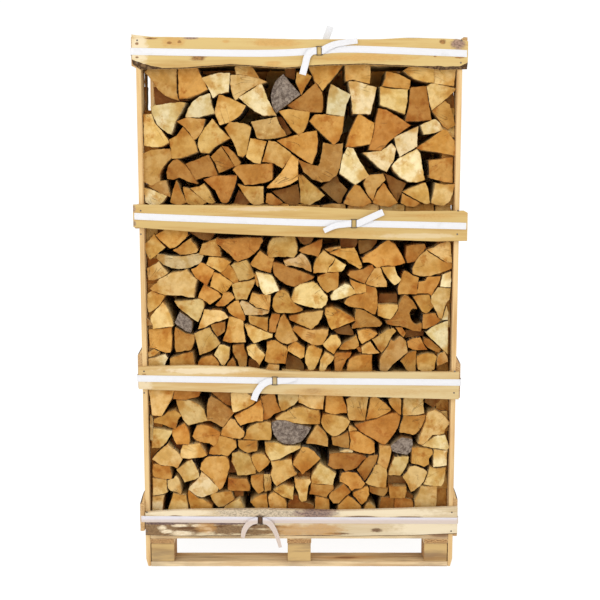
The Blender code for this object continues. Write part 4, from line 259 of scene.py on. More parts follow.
d 83.7,127.6 90.4,127.8 90.3,126.7 88.7,124.8 86.6,123.5 84.2,122.7 83.6,124.8
o 93.7,127.6 95.8,127.4 97.4,126.6 98.9,124.3 100.3,121.9 101.1,119.6 99.7,118.8 97.1,118.3 94.7,118.4
  92.4,118.2 90.5,117.8 89.2,118.7 87.6,119.6 85.3,119.9 84.9,121.1 86.3,122.5 88.7,123.9 90.5,125.2
  91.8,126.5
b 102.1,125.6 105,126.3 108.7,126.3 109.1,125.1 108.2,123.5 106.7,121.7 104.7,119.8 102.4,119.6 101.6,121.5
s 110,124.4 112.4,125.2 113.9,126.4 116.8,127.3 118.7,127.1 118.9,123.5 119.1,119.7 117.5,119.5 116.2,120.3
  113.6,122
t 109.5,124.1 111.1,123 113.7,121.4 116.3,119.8 119.2,119.1 119.2,117.5 116.8,116.3 113.9,115.4 111.1,114.5
  107.6,114.4 105.8,114.7 104.5,115.6 104.2,117.2 105,119.3 106.3,121.4 107.9,123
s 92.6,117.7 94.7,117.9 97.1,117.8 97.6,116.9 98.4,114.8 99.6,113 98.9,111.9 97.4,111.3 96.1,112.2 94.5,114
  93.3,115.9
t 89.7,117 91.6,117.4 92.3,116.6 92.5,115.4 93.4,113.5 94.3,112.2 94.2,110.4 92.4,110.2 90.3,110.2 88.2,110.7
  86.4,111.4 86.9,113 88.3,115.1
o 86.5,110.7 87.9,110.2 90,109.7 90.5,108.8 90.8,106.4 90.8,103.9 90.7,102 89.9,99.9 89.2,99.9 87.6,100.7
  85.3,102 82.6,102.3 80,102.7 78.4,103.9 79,105.3 80.2,106.4 82.6,107.3 85,107.5 86.4,108.2
b 101.1,116.1 102.6,115.9 104.5,114.5 106.5,113.6 106.3,111.1 105.9,107.6 102.9,107.5 99.2,107.6 98.7,109.6
  99.2,111.1 100,113.2 100.5,115.1
o 106.8,111.9 109.2,112.5 110.3,113.9 112.4,114.1 114.9,114.2 114.9,113 113.9,110.9 112.6,108.8 111.7,107
  110.8,107.7 107.6,107.8 106.3,107.9 106.6,109.8
p 116.1,114.8 118.9,115.9 119.2,113.5 118.9,110.4 116.8,110.3 115.3,110.6 115.4,112.2
s 114.5,109.9 116.8,109.8 118.9,109.6 118.9,106.4 118.7,105.5 117.6,104.1 116.8,102.3 115.8,98.2 115,98.4
  113.9,100.5 112.7,102.8 111.7,104.4 111.7,106.5 112.8,108
o 105.8,106.8 108.4,107.2 110.8,107 111.5,105.5 112.4,102.6 111.3,101.2 110,100.1 108.4,100.7 107.1,102.6
  105.8,104.7 105.1,106.2
o 101.6,106.9 102.9,106.2 104.5,104.7 106.1,102.3 106.2,101.7 104.5,102 103.7,101 103.2,100.2 103.7,98.6
  104.2,97.3 105,96.2 106.3,95.6 107.9,96 108.2,94.8 107.6,93.3 105,93.3 102.4,94.4 99.7,95.3 96.8,95.4
  95,96.2
  94.6,97.1 96.3,97.8 97.9,99.4 98.9,101.2 99.5,103.6 100.3,105.5
t 91.3,103.3 94.7,103.6 98.4,103.1 98.7,102.2 98.1,100.7 96.8,98.9 95.8,98.1 93.7,98.3 91.4,99.4 91.1,101
d 92,107 98.4,107 98.7,104 91.6,104
o 82.9,101.4 83.9,101.6 86.1,101 87.9,99.7 90,98.5 91.8,97.2 92.4,96 91.8,95.2 90,94.9 86.6,94.8 82.6,94.4
  81.3,94.2 81.4,95.2 82.4,96.5 82.2,98.1 82.3,99.9
o 71.2,102 72.9,102.5 75.3,101.9 77.9,100.6 80,99.3 81.6,98.3 82,97.3 80,96.4 78.2,95.7 75.5,94.5 73.2,94
  72.4,94.7 71.6,97 70.6,99.7 70.7,101
t 56.9,98.6 57.9,99.1 60,99.7 62.4,100.2 66.3,100.6 68.4,101.1 69.6,100.8 69.7,99.7 68.9,97.8 67.6,96
  66.1,94.6 65,94.1 63.2,94.8 61.1,95.7 58.7,96.8 57.1,97.8
t 58.9,94.9 60.8,94.8 62.9,94.1 64.7,93.6 67.4,93.7 69.7,93.9 71.6,93.5 71.6,91.8 70.5,89.7 69.5,88.3
  67.4,87.8
  65.5,88.1 63.7,89.1 61.1,90.7 59.6,92.3 58.1,93.9
t 54.5,99.5 55.1,98.9 56.1,97.3 57.1,95.4 58,93.1 59.4,90.7 59.7,89.8 58.4,89 55.8,88.3 53.9,88.7 52.1,89.9
  51.3,91.2 51.7,93.3 52.5,96 53.3,98.3
b 50,99.4 51.3,99.8 52.8,99.4 52.5,97.3 51.7,95.2 51.1,92.8 50,92.7 48.9,92.9 48.8,94.9 49.1,97.3
o 41.1,99.1 42.6,99 45.3,98.6 48.1,98.1 48.2,95.7 47.9,93.3 46.1,94.2 43.7,95.3 41.6,96.1 41,97
s 39.6,95.6 40.5,95.7 42.1,95.3 44.7,94.1 47.6,92.9 49.8,91.8 49.8,91 47.9,90.3 45.3,89.5 42.9,88.8 41.6,90.2
  40.5,92 40,93.9
t 42.4,107.7 44.7,107.4 49.2,107 49.4,105.5 49.1,103.1 48.6,101.6 46.1,102 43.9,102.5 42.6,103.7 41.4,104.6
  41.6,106
p 37.6,103.9 38.2,104.7 40,104.4 41.3,103.6 43.2,102.2 46.1,101.5 48.6,101 48.2,100.2 46.1,99.6 43.2,99.5
  40,99.5 39.5,99.7 38.7,101.8
o 52.6,108.8 54.7,108.9 56.4,107.6 57.4,105.4 58.9,103.6 60.8,102.3 61.5,101.4 60.8,100.8 58.4,100.3
  54.5,100.3 52.1,100.3 50.8,101.2 50.1,103.1 50.4,105.5 51.1,106.9 51.8,108
s 12.4,104.7 14.7,104.8 18.4,105.1 21.6,105.6 23.2,104.9 23.7,103.3 23.1,101.2 22.1,98.9 21.1,97 19.5,97.7
  17.4,99.5 15,101.3 13.2,103.1
g 14.2,100.2 15.8,99.5 17.9,98 18.8,96.8 18.7,94.4 18.2,92.8 16.3,93.3 14.7,94.4 12.9,95.5 12.4,96.5 13,98.3
s 23.9,101.4 26.3,101.4 29.7,101.2 31.6,100.4 32.8,98.6 31.1,97.7 28.4,96.9 25.8,95.8 23.4,94.5 21.4,94.2
  21.8,96 22.9,98.9
b 26.4,95.4 28.7,96.2 31.3,96.4 31.6,94.9 31.3,93.1 30,91.9 28.7,91.3 27.6,92.4 26.7,93.9
t 24.6,94.4 25.5,94.3 26.8,92.6 28.2,91 29.5,88.6 28.4,87.1 25.8,85.5 23.7,84.8 21.8,84.2 21.4,86 20.8,88.1
  20.1,90.5 20,92.3 22.4,93.6
o 12.4,94.4 14.2,93.5 16.3,92.2 19.6,91.5 19.7,89.9 18.9,87.6 18.2,86.1 15.8,85.7 14.2,85.2 12.6,85.3
  12.1,87.3
  12,90.7 12,92.8
s 7.6,104.1 8.7,103 9.7,101.5 10.5,99.4 11.3,97 11.3,95.3 7.9,94.8 3.9,94.4 3.6,95.7 2.9,97.3 2.9,98.9
  4.5,101 6.1,102.6
o 2.1,93.6 3.7,93.9 7.9,94.3 10.5,94.6 10.9,91.2 10.7,87.6 10,85 8.4,84.8 6.3,85.6 3.9,86.6 2.4,87 2.1,89.9
p 1.4,98 2.6,97.3 3.2,95.8 1.6,95.7
s 1.8,84.8 3.9,86 5.5,85.2 3.9,83.7 1.8,83.2
p 1.8,82.3 4.2,82.9 6.3,83.7 8.2,84 9.1,82.8 8.4,81.5 7.6,79 1.8,79
o 10.3,82.5 12.6,83.3 14.7,84.1 16.8,84.7 18.7,84.8 19.2,82.8 19.5,81 19.5,78.5 10.3,78.5
o 21.1,81 22.4,82.6 24.5,83.4 26.3,83.6 27.6,82.8 29,80.7 29,78.5 20.6,78.5
s 29.7,87.8 31.3,87.9 33.1,86.8 33.2,84.7 32.9,82.6 31.8,80.7 31,80 30,80.4 28.7,82.6 27.5,84.1 28.4,86
b 34.7,87.3 36.1,87.7 38.6,87.8 38.9,86.2 39.5,85.2 40,83.6 39.9,81.8 39.4,79.6 37.4,79.4 36.3,81.8 35.3,83.3
  34.5,85.2
t 33.4,98.5 35,98.6 37.6,97.6 38.6,97 38.8,94.7 39.2,91.8 39.4,89.1 36.8,88.7 33.7,88.7 30.9,89.5 31.4,91.2
  32.4,93.9 32.9,96.5
o 35.4,104.7 36.8,104.9 37.4,103.6 38.3,101.5 39.3,99.1 39.1,97.4 36.8,98.1 35,99.1 33.4,100.4 32.6,102.3
  33.9,103.6
o 34.5,82.4 35.5,80.4 35.8,78.8 32,78.8 32.6,80.6
s 40.3,87 41.8,88.1 43.4,88.1 44.2,86.8 45.8,85.5 47,83.9 46,82 45,80.2 43.7,81.8 42.4,82.6 40.8,84.1 40.2,86
d 41,81.7 43.2,81.4 44.6,79.8 44.4,78.4 40.6,78.4
o 48.2,88.9 49.7,89.6 51.1,89.6 53.2,88.3 55.4,87 56,85.5 55.6,83.3 55,80.7 51.8,80.6 48.7,80.7 47.3,81.8
  47.3,83.3 47.9,86.2
s 47.6,78.3 48.9,80.2 52.4,79.8 52.4,78.3
t 56.2,86.8 57.4,88.2 59.2,88.9 61.1,87.6 62.4,86.5 62.5,84.9 62.2,83.3 61.1,82.7 58.9,83.8 57.1,85 56.2,85.8
t 64.5,87.2 66.1,87.6 67.6,86.6 69.2,85.7 68.9,83.9 67.9,81.2 66.6,78.6 64.2,78.2 62.9,81.2 62.8,83.3
  63.3,85.5
d 56.3,83.6 58.4,82.8 61.1,81.5 62.4,79.1 62.4,77.4 55.2,77.4 55.5,81.2
s 70.8,84.9 72.6,84.1 73.9,83.1 73.6,81.8 71.8,80.2 70.6,78 68.3,78 68.8,80.5 68.7,81.8 69.7,83.3
t 73.2,91.5 74.7,91.5 76.2,90.2 76.7,88.6 75.5,86.8 73.9,84.7 72.1,85.6 70.4,87 69.9,88.1 71.2,89.7
o 76.9,87.6 78.4,88.8 80,89.6 81.6,90.6 82.6,91.1 83.3,89.9 83.6,87.6 82.1,86.3 80,86.1 77.9,86 76.4,86.2
d 74.3,93.1 76.8,94.2 80,94.9 81.5,92.8 81.7,91.3 79.5,91.3 76.8,91.6 75.3,92
t 83.4,93.1 85.8,93.9 87.9,94 89.2,93.3 90.7,92.2 89.6,91 87.4,89.8 85,88.7 83.9,89.9
s 88.2,89 89.2,87.6 90.4,86 91.4,84.9 90,84.5 87.4,84.5 85.3,84.8 85,87 86.3,88.1
b 82.9,86.5 83.6,86.9 84.5,86.5 84.9,85.2 84.6,84.9 83.8,85.3
t 95.8,94.1 97.1,94.2 97.8,93.3 96.8,91.8 95.8,89.9 94.8,87.8 93.6,86 92.6,85.1 91.4,86.2 90.2,88.1 89.3,89.8
  91.1,91.1 93.2,92.6
s 96.3,89.5 97.6,89.1 99.7,90.8 101.1,90.1 102.1,89 102.5,87 102.5,85.2 101.1,83.7 98.9,81.8 96.8,80.2
  95.3,78.2
  92.4,78.2 92.2,81.2 92.6,83.3 93.8,85.2 95.2,87.3
p 110.2,92.8 111.6,94.4 114.2,95.7 116.8,96.8 118.2,97 118.3,93.9 118.4,88.6 118.3,84.5 116.8,85.8 114.7,87.9
  112.6,89.8 111,91.2
b 108.9,99.3 111.6,100 113.4,99.8 114.2,98.6 115.3,97.3 114,95.9 111.6,94.8 110,94.2 108.8,94.4 108.5,96.5
p 117.6,102.6 118.2,100.7 118,97.8 116.2,97.9 116.9,100.2
d 102.4,92.9 109.2,92.8 108.9,91.1 107.6,90.8 102.5,90.5
b 102.9,89.1 104.5,90.1 107.6,90.5 108.6,88.9 109.6,87 110.2,86.1 107.6,85.8 104.7,86 103.2,87
b 109.6,90.1 111.6,89.7 113.8,87.7 115.7,86 115.2,84.8 112.9,85.6 110.6,86.9 109.3,88.6
t 106.8,83.3 108.4,84.1 111.1,84.6 113.2,84 114.1,83.1 113.8,81.2 113.2,78.4 107.2,78.4 106.5,81.2
s 116.1,84.8 117.1,84.9 118.4,82.6 118.4,81.5 116.6,80.5 114.7,79.9 114.3,81.8 115,83.9
o 103,84.7 104.5,85.2 105.9,85.2 106.1,82.6 105.9,79.4 105.8,78 102.6,78 101.1,80.5 100.2,81.5 101.5,83
o 84.5,83.9 88.7,83.9 88.8,81.2 88.8,78 79.4,78 79.4,80 80,81.8 81.6,83 82.6,83.5
b 74.7,84.3 76.8,84.6 79.5,84.7 80.7,84.4 80.3,83.2 79,82 77.8,79.5 77.2,77.8 74.8,77.8 74.4,80.7 74.2,82.8
b 98.4,94.3 100.5,94.3 101.7,92.3 101.1,91.1 99.8,92.1
t 2.7,190.3 4,192 14,192 14.2,183 14.7,180.2 12,180.8 9.5,182 7.5,183.8 5,187.2
d 5.4,184.8 6.8,185 9,182.3 12,180.7 17.8,180.3 14.5,179.5 10.3,178.6 7.8,177.6 6.2,177.8
o 15,192 22,192 25.7,184.2 22.5,182.3 19,181 15.3,180.7
p 24,188 27,189.2 30.5,190 34.2,189.8 34.2,186.5 33.6,183.3 30.5,182.5 28,181.2 26,185
s 36.5,192 43,191.8 45.2,188.3 41,189 37,189.7
s 34.8,189 38,189.3 42,188.7 45.5,188 48,186.8 44,185.3 40,183 36.3,180.2 35,183 34.6,186
p 38,181 42,183.5 46.2,186 47.3,184 48.5,180.5 51.5,174.7 46.8,174.4 43.5,176.2 40.5,178.5
g 54.5,189.3 57.5,186 60.6,182.3 56.5,179 51.7,175.7 50.3,178 49.8,181.5 50.7,185 52.3,187.8
d 55.3,191.8 58.9,191.8 58.6,188 55.5,189.2
o 59.8,190 62.5,190 65,188.8 63,185.5 61.3,182.4 60,185 59.2,187
o 64.3,192.3 76.5,192.5 73,188 69.3,184 66.5,187
b 56.3,178.2 61.5,181.8 66.7,186.2 69.2,183 69.6,179.5 69,175.8 64.5,175.8 58,177
o 53,176 57,176.8 64.3,175.6 63.8,172 62.3,168.6 60.5,167.6 58,169.5 55.3,173
p 72.6,185.7 74.5,184.8 79.7,182 78.3,178.5 77.4,174.2 71,175.3 71.2,180 72,184
o 64.6,172.4 66.5,174.6 70,174.8 77.2,173.8 77,169 75.5,165.5 73.8,163.8 69,167.8
t 78,192.5 87,192.5 87.3,189 87,186.3 83,187 81,187.6 78.2,187.3
p 79.4,186.7 81.5,187 85.5,186 89.5,184.5 88.5,179.5 87.3,175.2 81,175.2 80.6,179 79.8,183
o 93.6,190.5 98,189.5 102.3,187.2 101.9,184.3 97,184.6 92.3,185.4 93,188
s 91.3,184.8 95,184.2 101.3,183.9 101.3,180 100.4,175.2 96,176.6 91.3,178.6
b 102.7,184.5 108.4,185 109.2,180.5 110.4,173 106,172.5 101,172.6 102,178
t 100,190.8 102,192.2 111,192.2 111.2,186.5 107.5,186.8 103.5,188
s 111.5,192 119.4,192 119,187.5 118.6,185.4 116,185.5 111.5,186.3
s 108.8,185 110.3,186 116,185.1 119.8,184.2 116,180.5 110.7,176.6 109.7,179.5
o 111.1,176.2 115.5,179.6 117.3,178.5 119,174 119.5,171 117,169.7 115.2,170.5
p 106.8,170.8 108.5,171.9 112,172.9 113.8,171.6 114.9,169.3 111.5,168 108,167.8 107.2,169
b 90.7,176.9 93.5,176.6 98,174 102.5,170.8 99,168.2 95.5,165.7 91.5,161.7 87.2,162 88.8,168 89.6,173
o 83.2,175.2 86,173.3 88.8,171.7 88.6,168.5 87.3,164.2 83,163.2 78.5,163 79.3,167 81,171
p 4.6,177.5 9.5,178.6 15,179.4 17.3,179 16,176 13.8,172.5 11.8,167.8 10.5,168 7,170.8 5.2,174.5
p 17.6,174 18.6,177 20.5,179.7 23,181.4 26.7,182.4 27.3,179 28.2,175.5 25,174.5 22.5,173.8
t 30.2,182 34,181 40,178 39.5,176.5 37.5,174 34,172 30.5,171.2 28.4,175.5
s 42.6,172 51.6,173.6 53,171 55.5,167.2 51,166 47,165.9 44.6,166.4 43.7,169
d 52,173.8 53.5,174 55.5,171.5 57.3,168.3 55.9,167.6 53.3,171.3
s 1.8,174.6 4.6,174.8 6,171.3 8.3,169 10,166.5 10.8,164.6 8,163 4.5,162.9 1.8,163.7
o 11.3,165.4 14,167 16.4,170 18.7,167.8 21,164.8 21.6,161.3 18,159.5 15,158.8 12.2,158.8 11.8,162
t 14.2,172.3 18,173.7 22,173.3 24.6,173 24,169.5 22.5,167 20.4,165.4 18.7,168.5 16.3,170.9
t 27.6,173 30.5,169.7 34,166.2 31,164.5 28.3,162.8 26,160.8 23.3,161 22,163 22.2,166 24.5,169.7
t 32.5,169.8 34.2,171.7 37,172 40.5,171.2 42,170 41.5,166 40.4,160.4 39,159.3 37.5,160 35.8,164 34,167
t 42.2,165.9 47.8,164.8 46.8,161 45.6,156.9 43,157.1 40.5,159.3 41,162.5
t 49,165 51.5,164.8 54.5,162.8 57.8,159.9 54,155.2 51,156.9 46.7,157.6 47.8,161.5
o 52.3,165.2 57,166.6 63,168.3 67,168.7 67.6,165 67.2,161 65.3,156.7 61,158.9 57.5,161.4 54.5,163.5
t 69.8,164.3 73.5,163.6 76.9,164 76.8,160 76,155.5 74.8,152.6 72,150.4 69,149.9 65.5,151.2 62.5,153.6
  60.4,157.9 65,156.3 68.3,155.7 69,160
p 79,162.5 81,162 83,158.5 86.9,152.3 82,149.1 79.5,150.5 76.2,153.2 76.4,156.5 77.2,160
p 85,160.7 91.7,161.4 95.5,163.9 97,162.3 96.4,158 94.8,155.5 93.7,153.9 90.8,155.2 87.5,158.3
p 96.8,166.2 100.5,168.2 105.5,170.3 105.3,167 105,163.2 98.8,159.6 97.3,162.8
p 96,155.8 98,158.5 101.5,160.3 105.2,161.9 106.6,160.5 107.2,156.5 108.2,150.8 105.5,149.8 102,150
  99,151.8 96.8,153.8
o 105.3,162.5 110.5,166 115.4,169.3 117,168.5 119.5,165 119.7,159.9 113,161 107,161.8
o 110,157.6 118.8,159 119,154 118.9,149.8 116,149.9 110.4,151.6
s 112.7,149.3 116,148.8 119.7,149 119,145 117.7,142.3 111.3,142.3 112,146.5
t 1,160.3 4,161.7 8,162 11.3,161.9 11.8,159.2 8.7,155.8 7.3,153 7.1,150.2 4.2,148.8 1,150.2
b 12.3,157.8 13.8,158.3 17,156.2 18.8,153.8 21.5,149.3 18,150 14.8,151.7 12.3,150.8 10.2,151.2 9.8,153.5
  10.6,156
b 17.4,156.5 21,158.1 25.8,159.7 27.2,157.5 29.2,152.4 24,151.8 20.8,150.7 19,154
b 27,159.3 30.7,162.8 33.3,159.3 35.6,155.8 29.9,153.5 28.5,157
b 31.2,163.2 33.5,162.7 36,160.3 37.8,157.3 37.5,156.5 36.1,156 33.8,159.6
b 35.4,154.4 37,156 45,156.5 50,156.7 50.3,153.5 50,151 47.5,149.7 43,149 39.8,149.1 37.5,151.8
t 57.8,159.7 59.9,158.2 59.7,151 57.5,149.3 53.5,147.9 48.3,147.8 51,150.6 53.8,153.5 55.7,156.7
b 24.3,150.6 27.5,152.1 36.6,152.1 35.9,148 33.4,142.6 30.5,142.6 28.6,146.7
t 16.2,147.8 18.6,147.3 21,145.3 25,142.4 17.3,142.4 16.6,145.5
t 19.2,147.5 22.3,148.2 24,149.1 25.8,147 27.9,142.4 25.3,142.4 21.3,145.4
o 13.6,150.3 15.2,146.5 17,142.4 11.4,142.4 12.3,146.5
s 7.2,150.1 9.5,150.2 11.1,144.4 7.5,145.9 3.2,148.4
p 1.3,147.6 4.5,146.9 9.6,144.6 8.3,142.4 2,142.4 1.5,144.8
t 37.2,149 40,148.2 46.6,148 46.8,145 46.6,142.2 41.8,142.2 39.5,145
d 37.3,146.5 39.2,145 41.3,142.2 35.5,142.2
b 48.2,145.3 49.7,145.4 53.8,142.2 48,142.2
d 50.3,146.3 55,147.3 59.8,148.8 60.6,145 60.8,142.2 55,142.2
t 60.3,152.5 61.8,152.3 64.8,149.7 70,144.9 68.3,143.3 66,142.2 61.3,142.2 61,146
d 69,147.7 72,150 74.7,152.2 76,150 78.8,147 77.2,144 76.8,142.2 75,142.2 71.5,145.3
b 77.8,142 79.5,146 82,148.8 83.8,148.3 88,142.3
t 86.8,152.2 92.3,152.8 93.2,150.8 90,147.3 88.6,143 86.5,145.5 85.4,149.5
d 93.4,153 97,151.3 101.3,149.3 98.2,142.7 95.5,147
b 92.8,149.3 95,146.3 98,142.2 88.9,142.2 90.3,146.3
t 100.5,146.2 104,148 108.6,149.5 109.8,147 110.3,142.2 107.5,142.3 103.5,144.3
b 100.2,145.3 103,144 106.8,142 99.8,142
d 116.3,182.3 117.8,183 118.6,178 117.6,176.5
"""


def linear(value):
    return value / 12.92 if value <= 0.04045 else ((value + 0.055) / 1.055) ** 2.4


def paint(red, green, blue):
    """A colour as it looks on a screen, ready for a socket."""
    return (linear(red), linear(green), linear(blue), 1.0)


class Value:
    """What a socket gives, so that shader maths reads as sums."""

    def __init__(self, recipe, socket):
        self.recipe, self.socket = recipe, socket

    def maths(self, operation, first, second=0.0):
        return self.recipe.add("ShaderNodeMath", {"operation": operation}, {0: first, 1: second})

    def __add__(self, other):
        return self.maths("ADD", self, other)

    def __radd__(self, other):
        return self.maths("ADD", other, self)

    def __sub__(self, other):
        return self.maths("SUBTRACT", self, other)

    def __rsub__(self, other):
        return self.maths("SUBTRACT", other, self)

    def __mul__(self, other):
        return self.maths("MULTIPLY", self, other)

    def __rmul__(self, other):
        return self.maths("MULTIPLY", other, self)

    def __pow__(self, other):
        return self.maths("POWER", self, other)

    def __abs__(self):
        return self.maths("ABSOLUTE", self)

    def sine(self):
        return self.maths("SINE", self)


class Recipe:
    """One material's nodes."""

    def __init__(self, name):
        self.material = bpy.data.materials.new(name)
        self.material.use_nodes = True
        self.tree = self.material.node_tree
        self.tree.nodes.clear()

    def add(self, kind, settings=None, values=None, out=0):
        """Add a node: its settings first, then its sockets, and give one output or several."""
        node = self.tree.nodes.new(kind)
        for key, value in (settings or {}).items():
            if key == "stops":
                ramp = node.color_ramp
                while len(ramp.elements) < len(value):
                    ramp.elements.new(1.0)
                for element, (place, colour) in zip(ramp.elements, value):
                    element.position, element.color = place, colour
            else:
                setattr(node, key, value)
        for key, value in (values or {}).items():
            if isinstance(value, Value):
                self.tree.links.new(value.socket, node.inputs[key])
            elif value is not None:
                node.inputs[key].default_value = value
        if out is None:
            return None
        if isinstance(out, tuple):
            return [Value(self, node.outputs[key]) for key in out]
        return Value(self, node.outputs[out])

    def place(self):
        return self.add("ShaderNodeTexCoord", out="Object")

    def attribute(self, name, out):
        return self.add("ShaderNodeAttribute", {"attribute_name": name}, out=out)

    def split(self, vector):
        return self.add("ShaderNodeSeparateXYZ", values={0: vector}, out=(0, 1, 2))

    def join(self, x, y, z):
        return self.add("ShaderNodeCombineXYZ", values={0: x, 1: y, 2: z})

    def stretch(self, vector, scale, shift=(0.0, 0.0, 0.0)):
        return self.add("ShaderNodeMapping", values={"Vector": vector, "Scale": scale, "Location": shift})

    def grain(self, vector, scale=1.0, detail=3.0, roughness=0.55):
        values = {"Vector": vector, "Scale": scale, "Detail": detail, "Roughness": roughness}
        return self.add("ShaderNodeTexNoise", values=values)

    def ease(self, value, low, high):
        """0 at low, 1 at high, and smooth in between."""
        values = {"Value": value, "From Min": low, "From Max": high}
        return self.add("ShaderNodeMapRange", {"interpolation_type": "SMOOTHSTEP"}, values)

    def blend(self, mask, below, above, how="MIX"):
        return self.add("ShaderNodeMix", {"data_type": "RGBA", "blend_type": how},
                        {0: mask, 6: below, 7: above}, out=2)

    def tone(self, colour, amount):
        """Make a colour lighter or darker by a number."""
        start = colour if isinstance(colour, Value) else colour[:3]
        return self.add("ShaderNodeVectorMath", {"operation": "SCALE"}, {0: start, "Scale": amount})

    def spots(self, place, centres, warp):
        """How much each point lies in one of the ovals: x, z, half width, half height in cm."""
        x, y, z = self.split(place)
        total = None
        for cx, cz, rx, rz in centres:
            across = (x - cx * CM) * (1.0 / (rx * CM))
            up = (z - cz * CM) * (1.0 / (rz * CM))
            inside = self.ease((across * across + up * up) ** 0.5 + warp, 1.25, 0.6)
            total = inside if total is None else total.maths("MAXIMUM", total, inside)
        return total

    def finish(self, colour, roughness, height=None, depth=0.001, metallic=0.0, strength=1.0, glow=0.0):
        values = {"Base Color": colour, "Roughness": roughness, "Metallic": metallic,
                  "Specular IOR Level": 0.5 if metallic else 0.2,
                  "Emission Color": (1.0, 1.0, 1.0, 1.0), "Emission Strength": glow}
        if height is not None:
            values["Normal"] = self.add("ShaderNodeBump", values={
                "Strength": strength, "Distance": depth, "Height": height})
        shader = self.add("ShaderNodeBsdfPrincipled", values=values)
        self.add("ShaderNodeOutputMaterial", values={"Surface": shader}, out=None)
        return self.material


def end_grain():
    """Sawn end of a log: faint rings and rays, a darker heart, a pale or barky rim and a few checks."""
    mix = Recipe("end_grain")
    tint = mix.attribute("tint", "Color")
    place = mix.attribute("from_pith", "Vector")
    edge = mix.attribute("edge", "Fac")
    worn = mix.attribute("worn", "Fac")
    x, seed, z = mix.split(place)
    radius = (x * x + z * z) ** 0.5
    angle = x.maths("ARCTAN2", x, z)
    cloud = mix.grain(place, 19.0, 2.0)
    mottle = mix.grain(place, 60.0, 5.0, 0.65)
    rings = ((radius + cloud * 0.012) * (2 * math.pi / 0.0042)).sine()
    rays = mix.grain(mix.join(angle * 7.0, radius * 9.0, seed), 1.6, 3.0, 0.6)
    light = 0.345 + mottle * 0.56 + cloud * 0.52 + rings * 0.025 + rays * 0.16
    golden = mix.blend(1.0, tint, paint(0.98, 0.925, 0.79), "MULTIPLY")
    colour = mix.tone(mix.blend(mix.ease(cloud + (mottle - 0.5) * 0.4, 0.62, 0.36), tint, golden), light)
    heart = mix.ease(radius + (cloud - 0.5) * 0.10, 0.060, 0.020)
    warm = mix.blend(1.0, colour, paint(0.90, 0.79, 0.60), "MULTIPLY")
    colour = mix.blend(heart * 0.75, colour, warm)
    stain = mix.ease(mix.grain(place, 24.0, 4.0, 0.65), 0.54, 0.70)
    brown = mix.blend(1.0, colour, paint(0.86, 0.73, 0.52), "MULTIPLY")
    colour = mix.blend(stain * 0.8, colour, brown)
    # The end's colour turns darker towards its rim.
    rim = mix.ease(edge + (mottle - 0.5) * 0.8, 0.30, 0.02)
    rim_darker = mix.blend(1.0, colour, paint(0.78, 0.66, 0.52), "MULTIPLY")
    colour = mix.blend(rim * 0.6, colour, rim_darker)
    check = mix.grain(mix.join(angle * 2.4, radius * 5.0, seed + 0.7), 1.3, 1.0, 0.4)
    where = mix.ease(mix.grain(place, 13.0, 1.0), 0.55, 0.66)
    crack = mix.ease(abs(check - 0.5), 0.007, 0.001) * where
    colour = mix.blend(crack * 0.5, colour, paint(0.38, 0.25, 0.14))
    rough = mix.grain(place, 95.0, 6.0, 0.75)
    weathered = mix.blend(mix.ease(rough, 0.36, 0.66), paint(0.32, 0.27, 0.24), paint(0.64, 0.58, 0.52))
    colour = mix.blend(worn * 0.85, colour, weathered)
    saw = ((z * 0.9 + x * 0.35 + cloud * 0.01) * (2 * math.pi / 0.0035)).sine()
    height = mottle * 0.8 + saw * 0.10 + rough * (0.5 + worn * 2.0) - crack * 1.5
    return mix.finish(colour, 0.66 + mottle * 0.2, height, 0.0016)


def split_wood():
    """The split side of a log: torn fibres along its length, darkened away from the sawn end as painted shade deep in
    the gaps.
    """
    mix = Recipe("split_wood")
    place = mix.place()
    tint = mix.attribute("tint", "Color")
    fibres = mix.grain(mix.stretch(place, (90.0, 5.0, 90.0)), 1.0, 6.0, 0.7)
    bands = mix.grain(mix.stretch(place, (16.0, 2.2, 16.0)), 1.0, 3.0, 0.5)
    fresh = mix.blend(0.4, tint, paint(0.86, 0.74, 0.52))
    colour = mix.tone(fresh, 0.55 + fibres * 0.35 + bands * 0.45)
    red = mix.blend(1.0, colour, paint(0.90, 0.76, 0.60), "MULTIPLY")
    colour = mix.blend(mix.ease(bands, 0.48, 0.66), colour, red)
    # Painted shade: edge is 1 away from the sawn end, so the side darkens deeper in the gaps between logs.
    colour = mix.tone(colour, 1.0 - mix.attribute("edge", "Fac") * 0.45)
    return mix.finish(colour, 0.70 + fibres * 0.2, fibres + bands, 0.004)


def bark(name="bark", dark=(0.20, 0.14, 0.10), light=(0.50, 0.42, 0.34), moss_share=0.6):
    """Bark: ridges that run along the log and cross each other."""
    mix = Recipe(name)
    place = mix.place()
    warp = mix.grain(place, 20.0, 3.0)
    x, y, z = mix.split(place)
    along = mix.join(x * 60.0 + warp * 2.5, y * 17.0 + warp * 2.0, z * 60.0)
    ridges = mix.add("ShaderNodeTexVoronoi", {"feature": "DISTANCE_TO_EDGE"},
                     {"Vector": along, "Scale": 1.0}, out="Distance")
    deep = mix.ease(ridges, 0.02, 0.28)
    fine = mix.grain(place, 160.0, 5.0, 0.7)
    colour = mix.blend(deep, paint(*dark), paint(*light))
    moss = mix.ease(mix.grain(place, 11.0, 3.0), 0.52, 0.68)
    colour = mix.blend(moss * moss_share, colour, paint(0.56, 0.54, 0.44))
    colour = mix.tone(colour, 0.7 + fine * 0.6)
    return mix.finish(colour, 0.82 + fine * 0.1, deep + fine * 0.35, 0.003)


def pointed(points, reach):
    """Draw the sharp corners of a split end out a little."""
    made = []
    for i, p in enumerate(points):
        before, after = points[i - 1], points[(i + 1) % len(points)]
        back, ahead = math.dist(before, p) or 1.0, math.dist(after, p) or 1.0
        x = (p[0] - before[0]) / back + (p[0] - after[0]) / ahead
        z = (p[1] - before[1]) / back + (p[1] - after[1]) / ahead
        turn = (p[0] - before[0]) * (after[1] - p[1]) - (p[1] - before[1]) * (after[0] - p[0])
        sharp = math.hypot(x, z)
        if turn > 0 and sharp > 0.7 and min(back, ahead) > 0.008:
            p = (p[0] + x / sharp * reach, p[1] + z / sharp * reach)
        made.append(p)
    return made


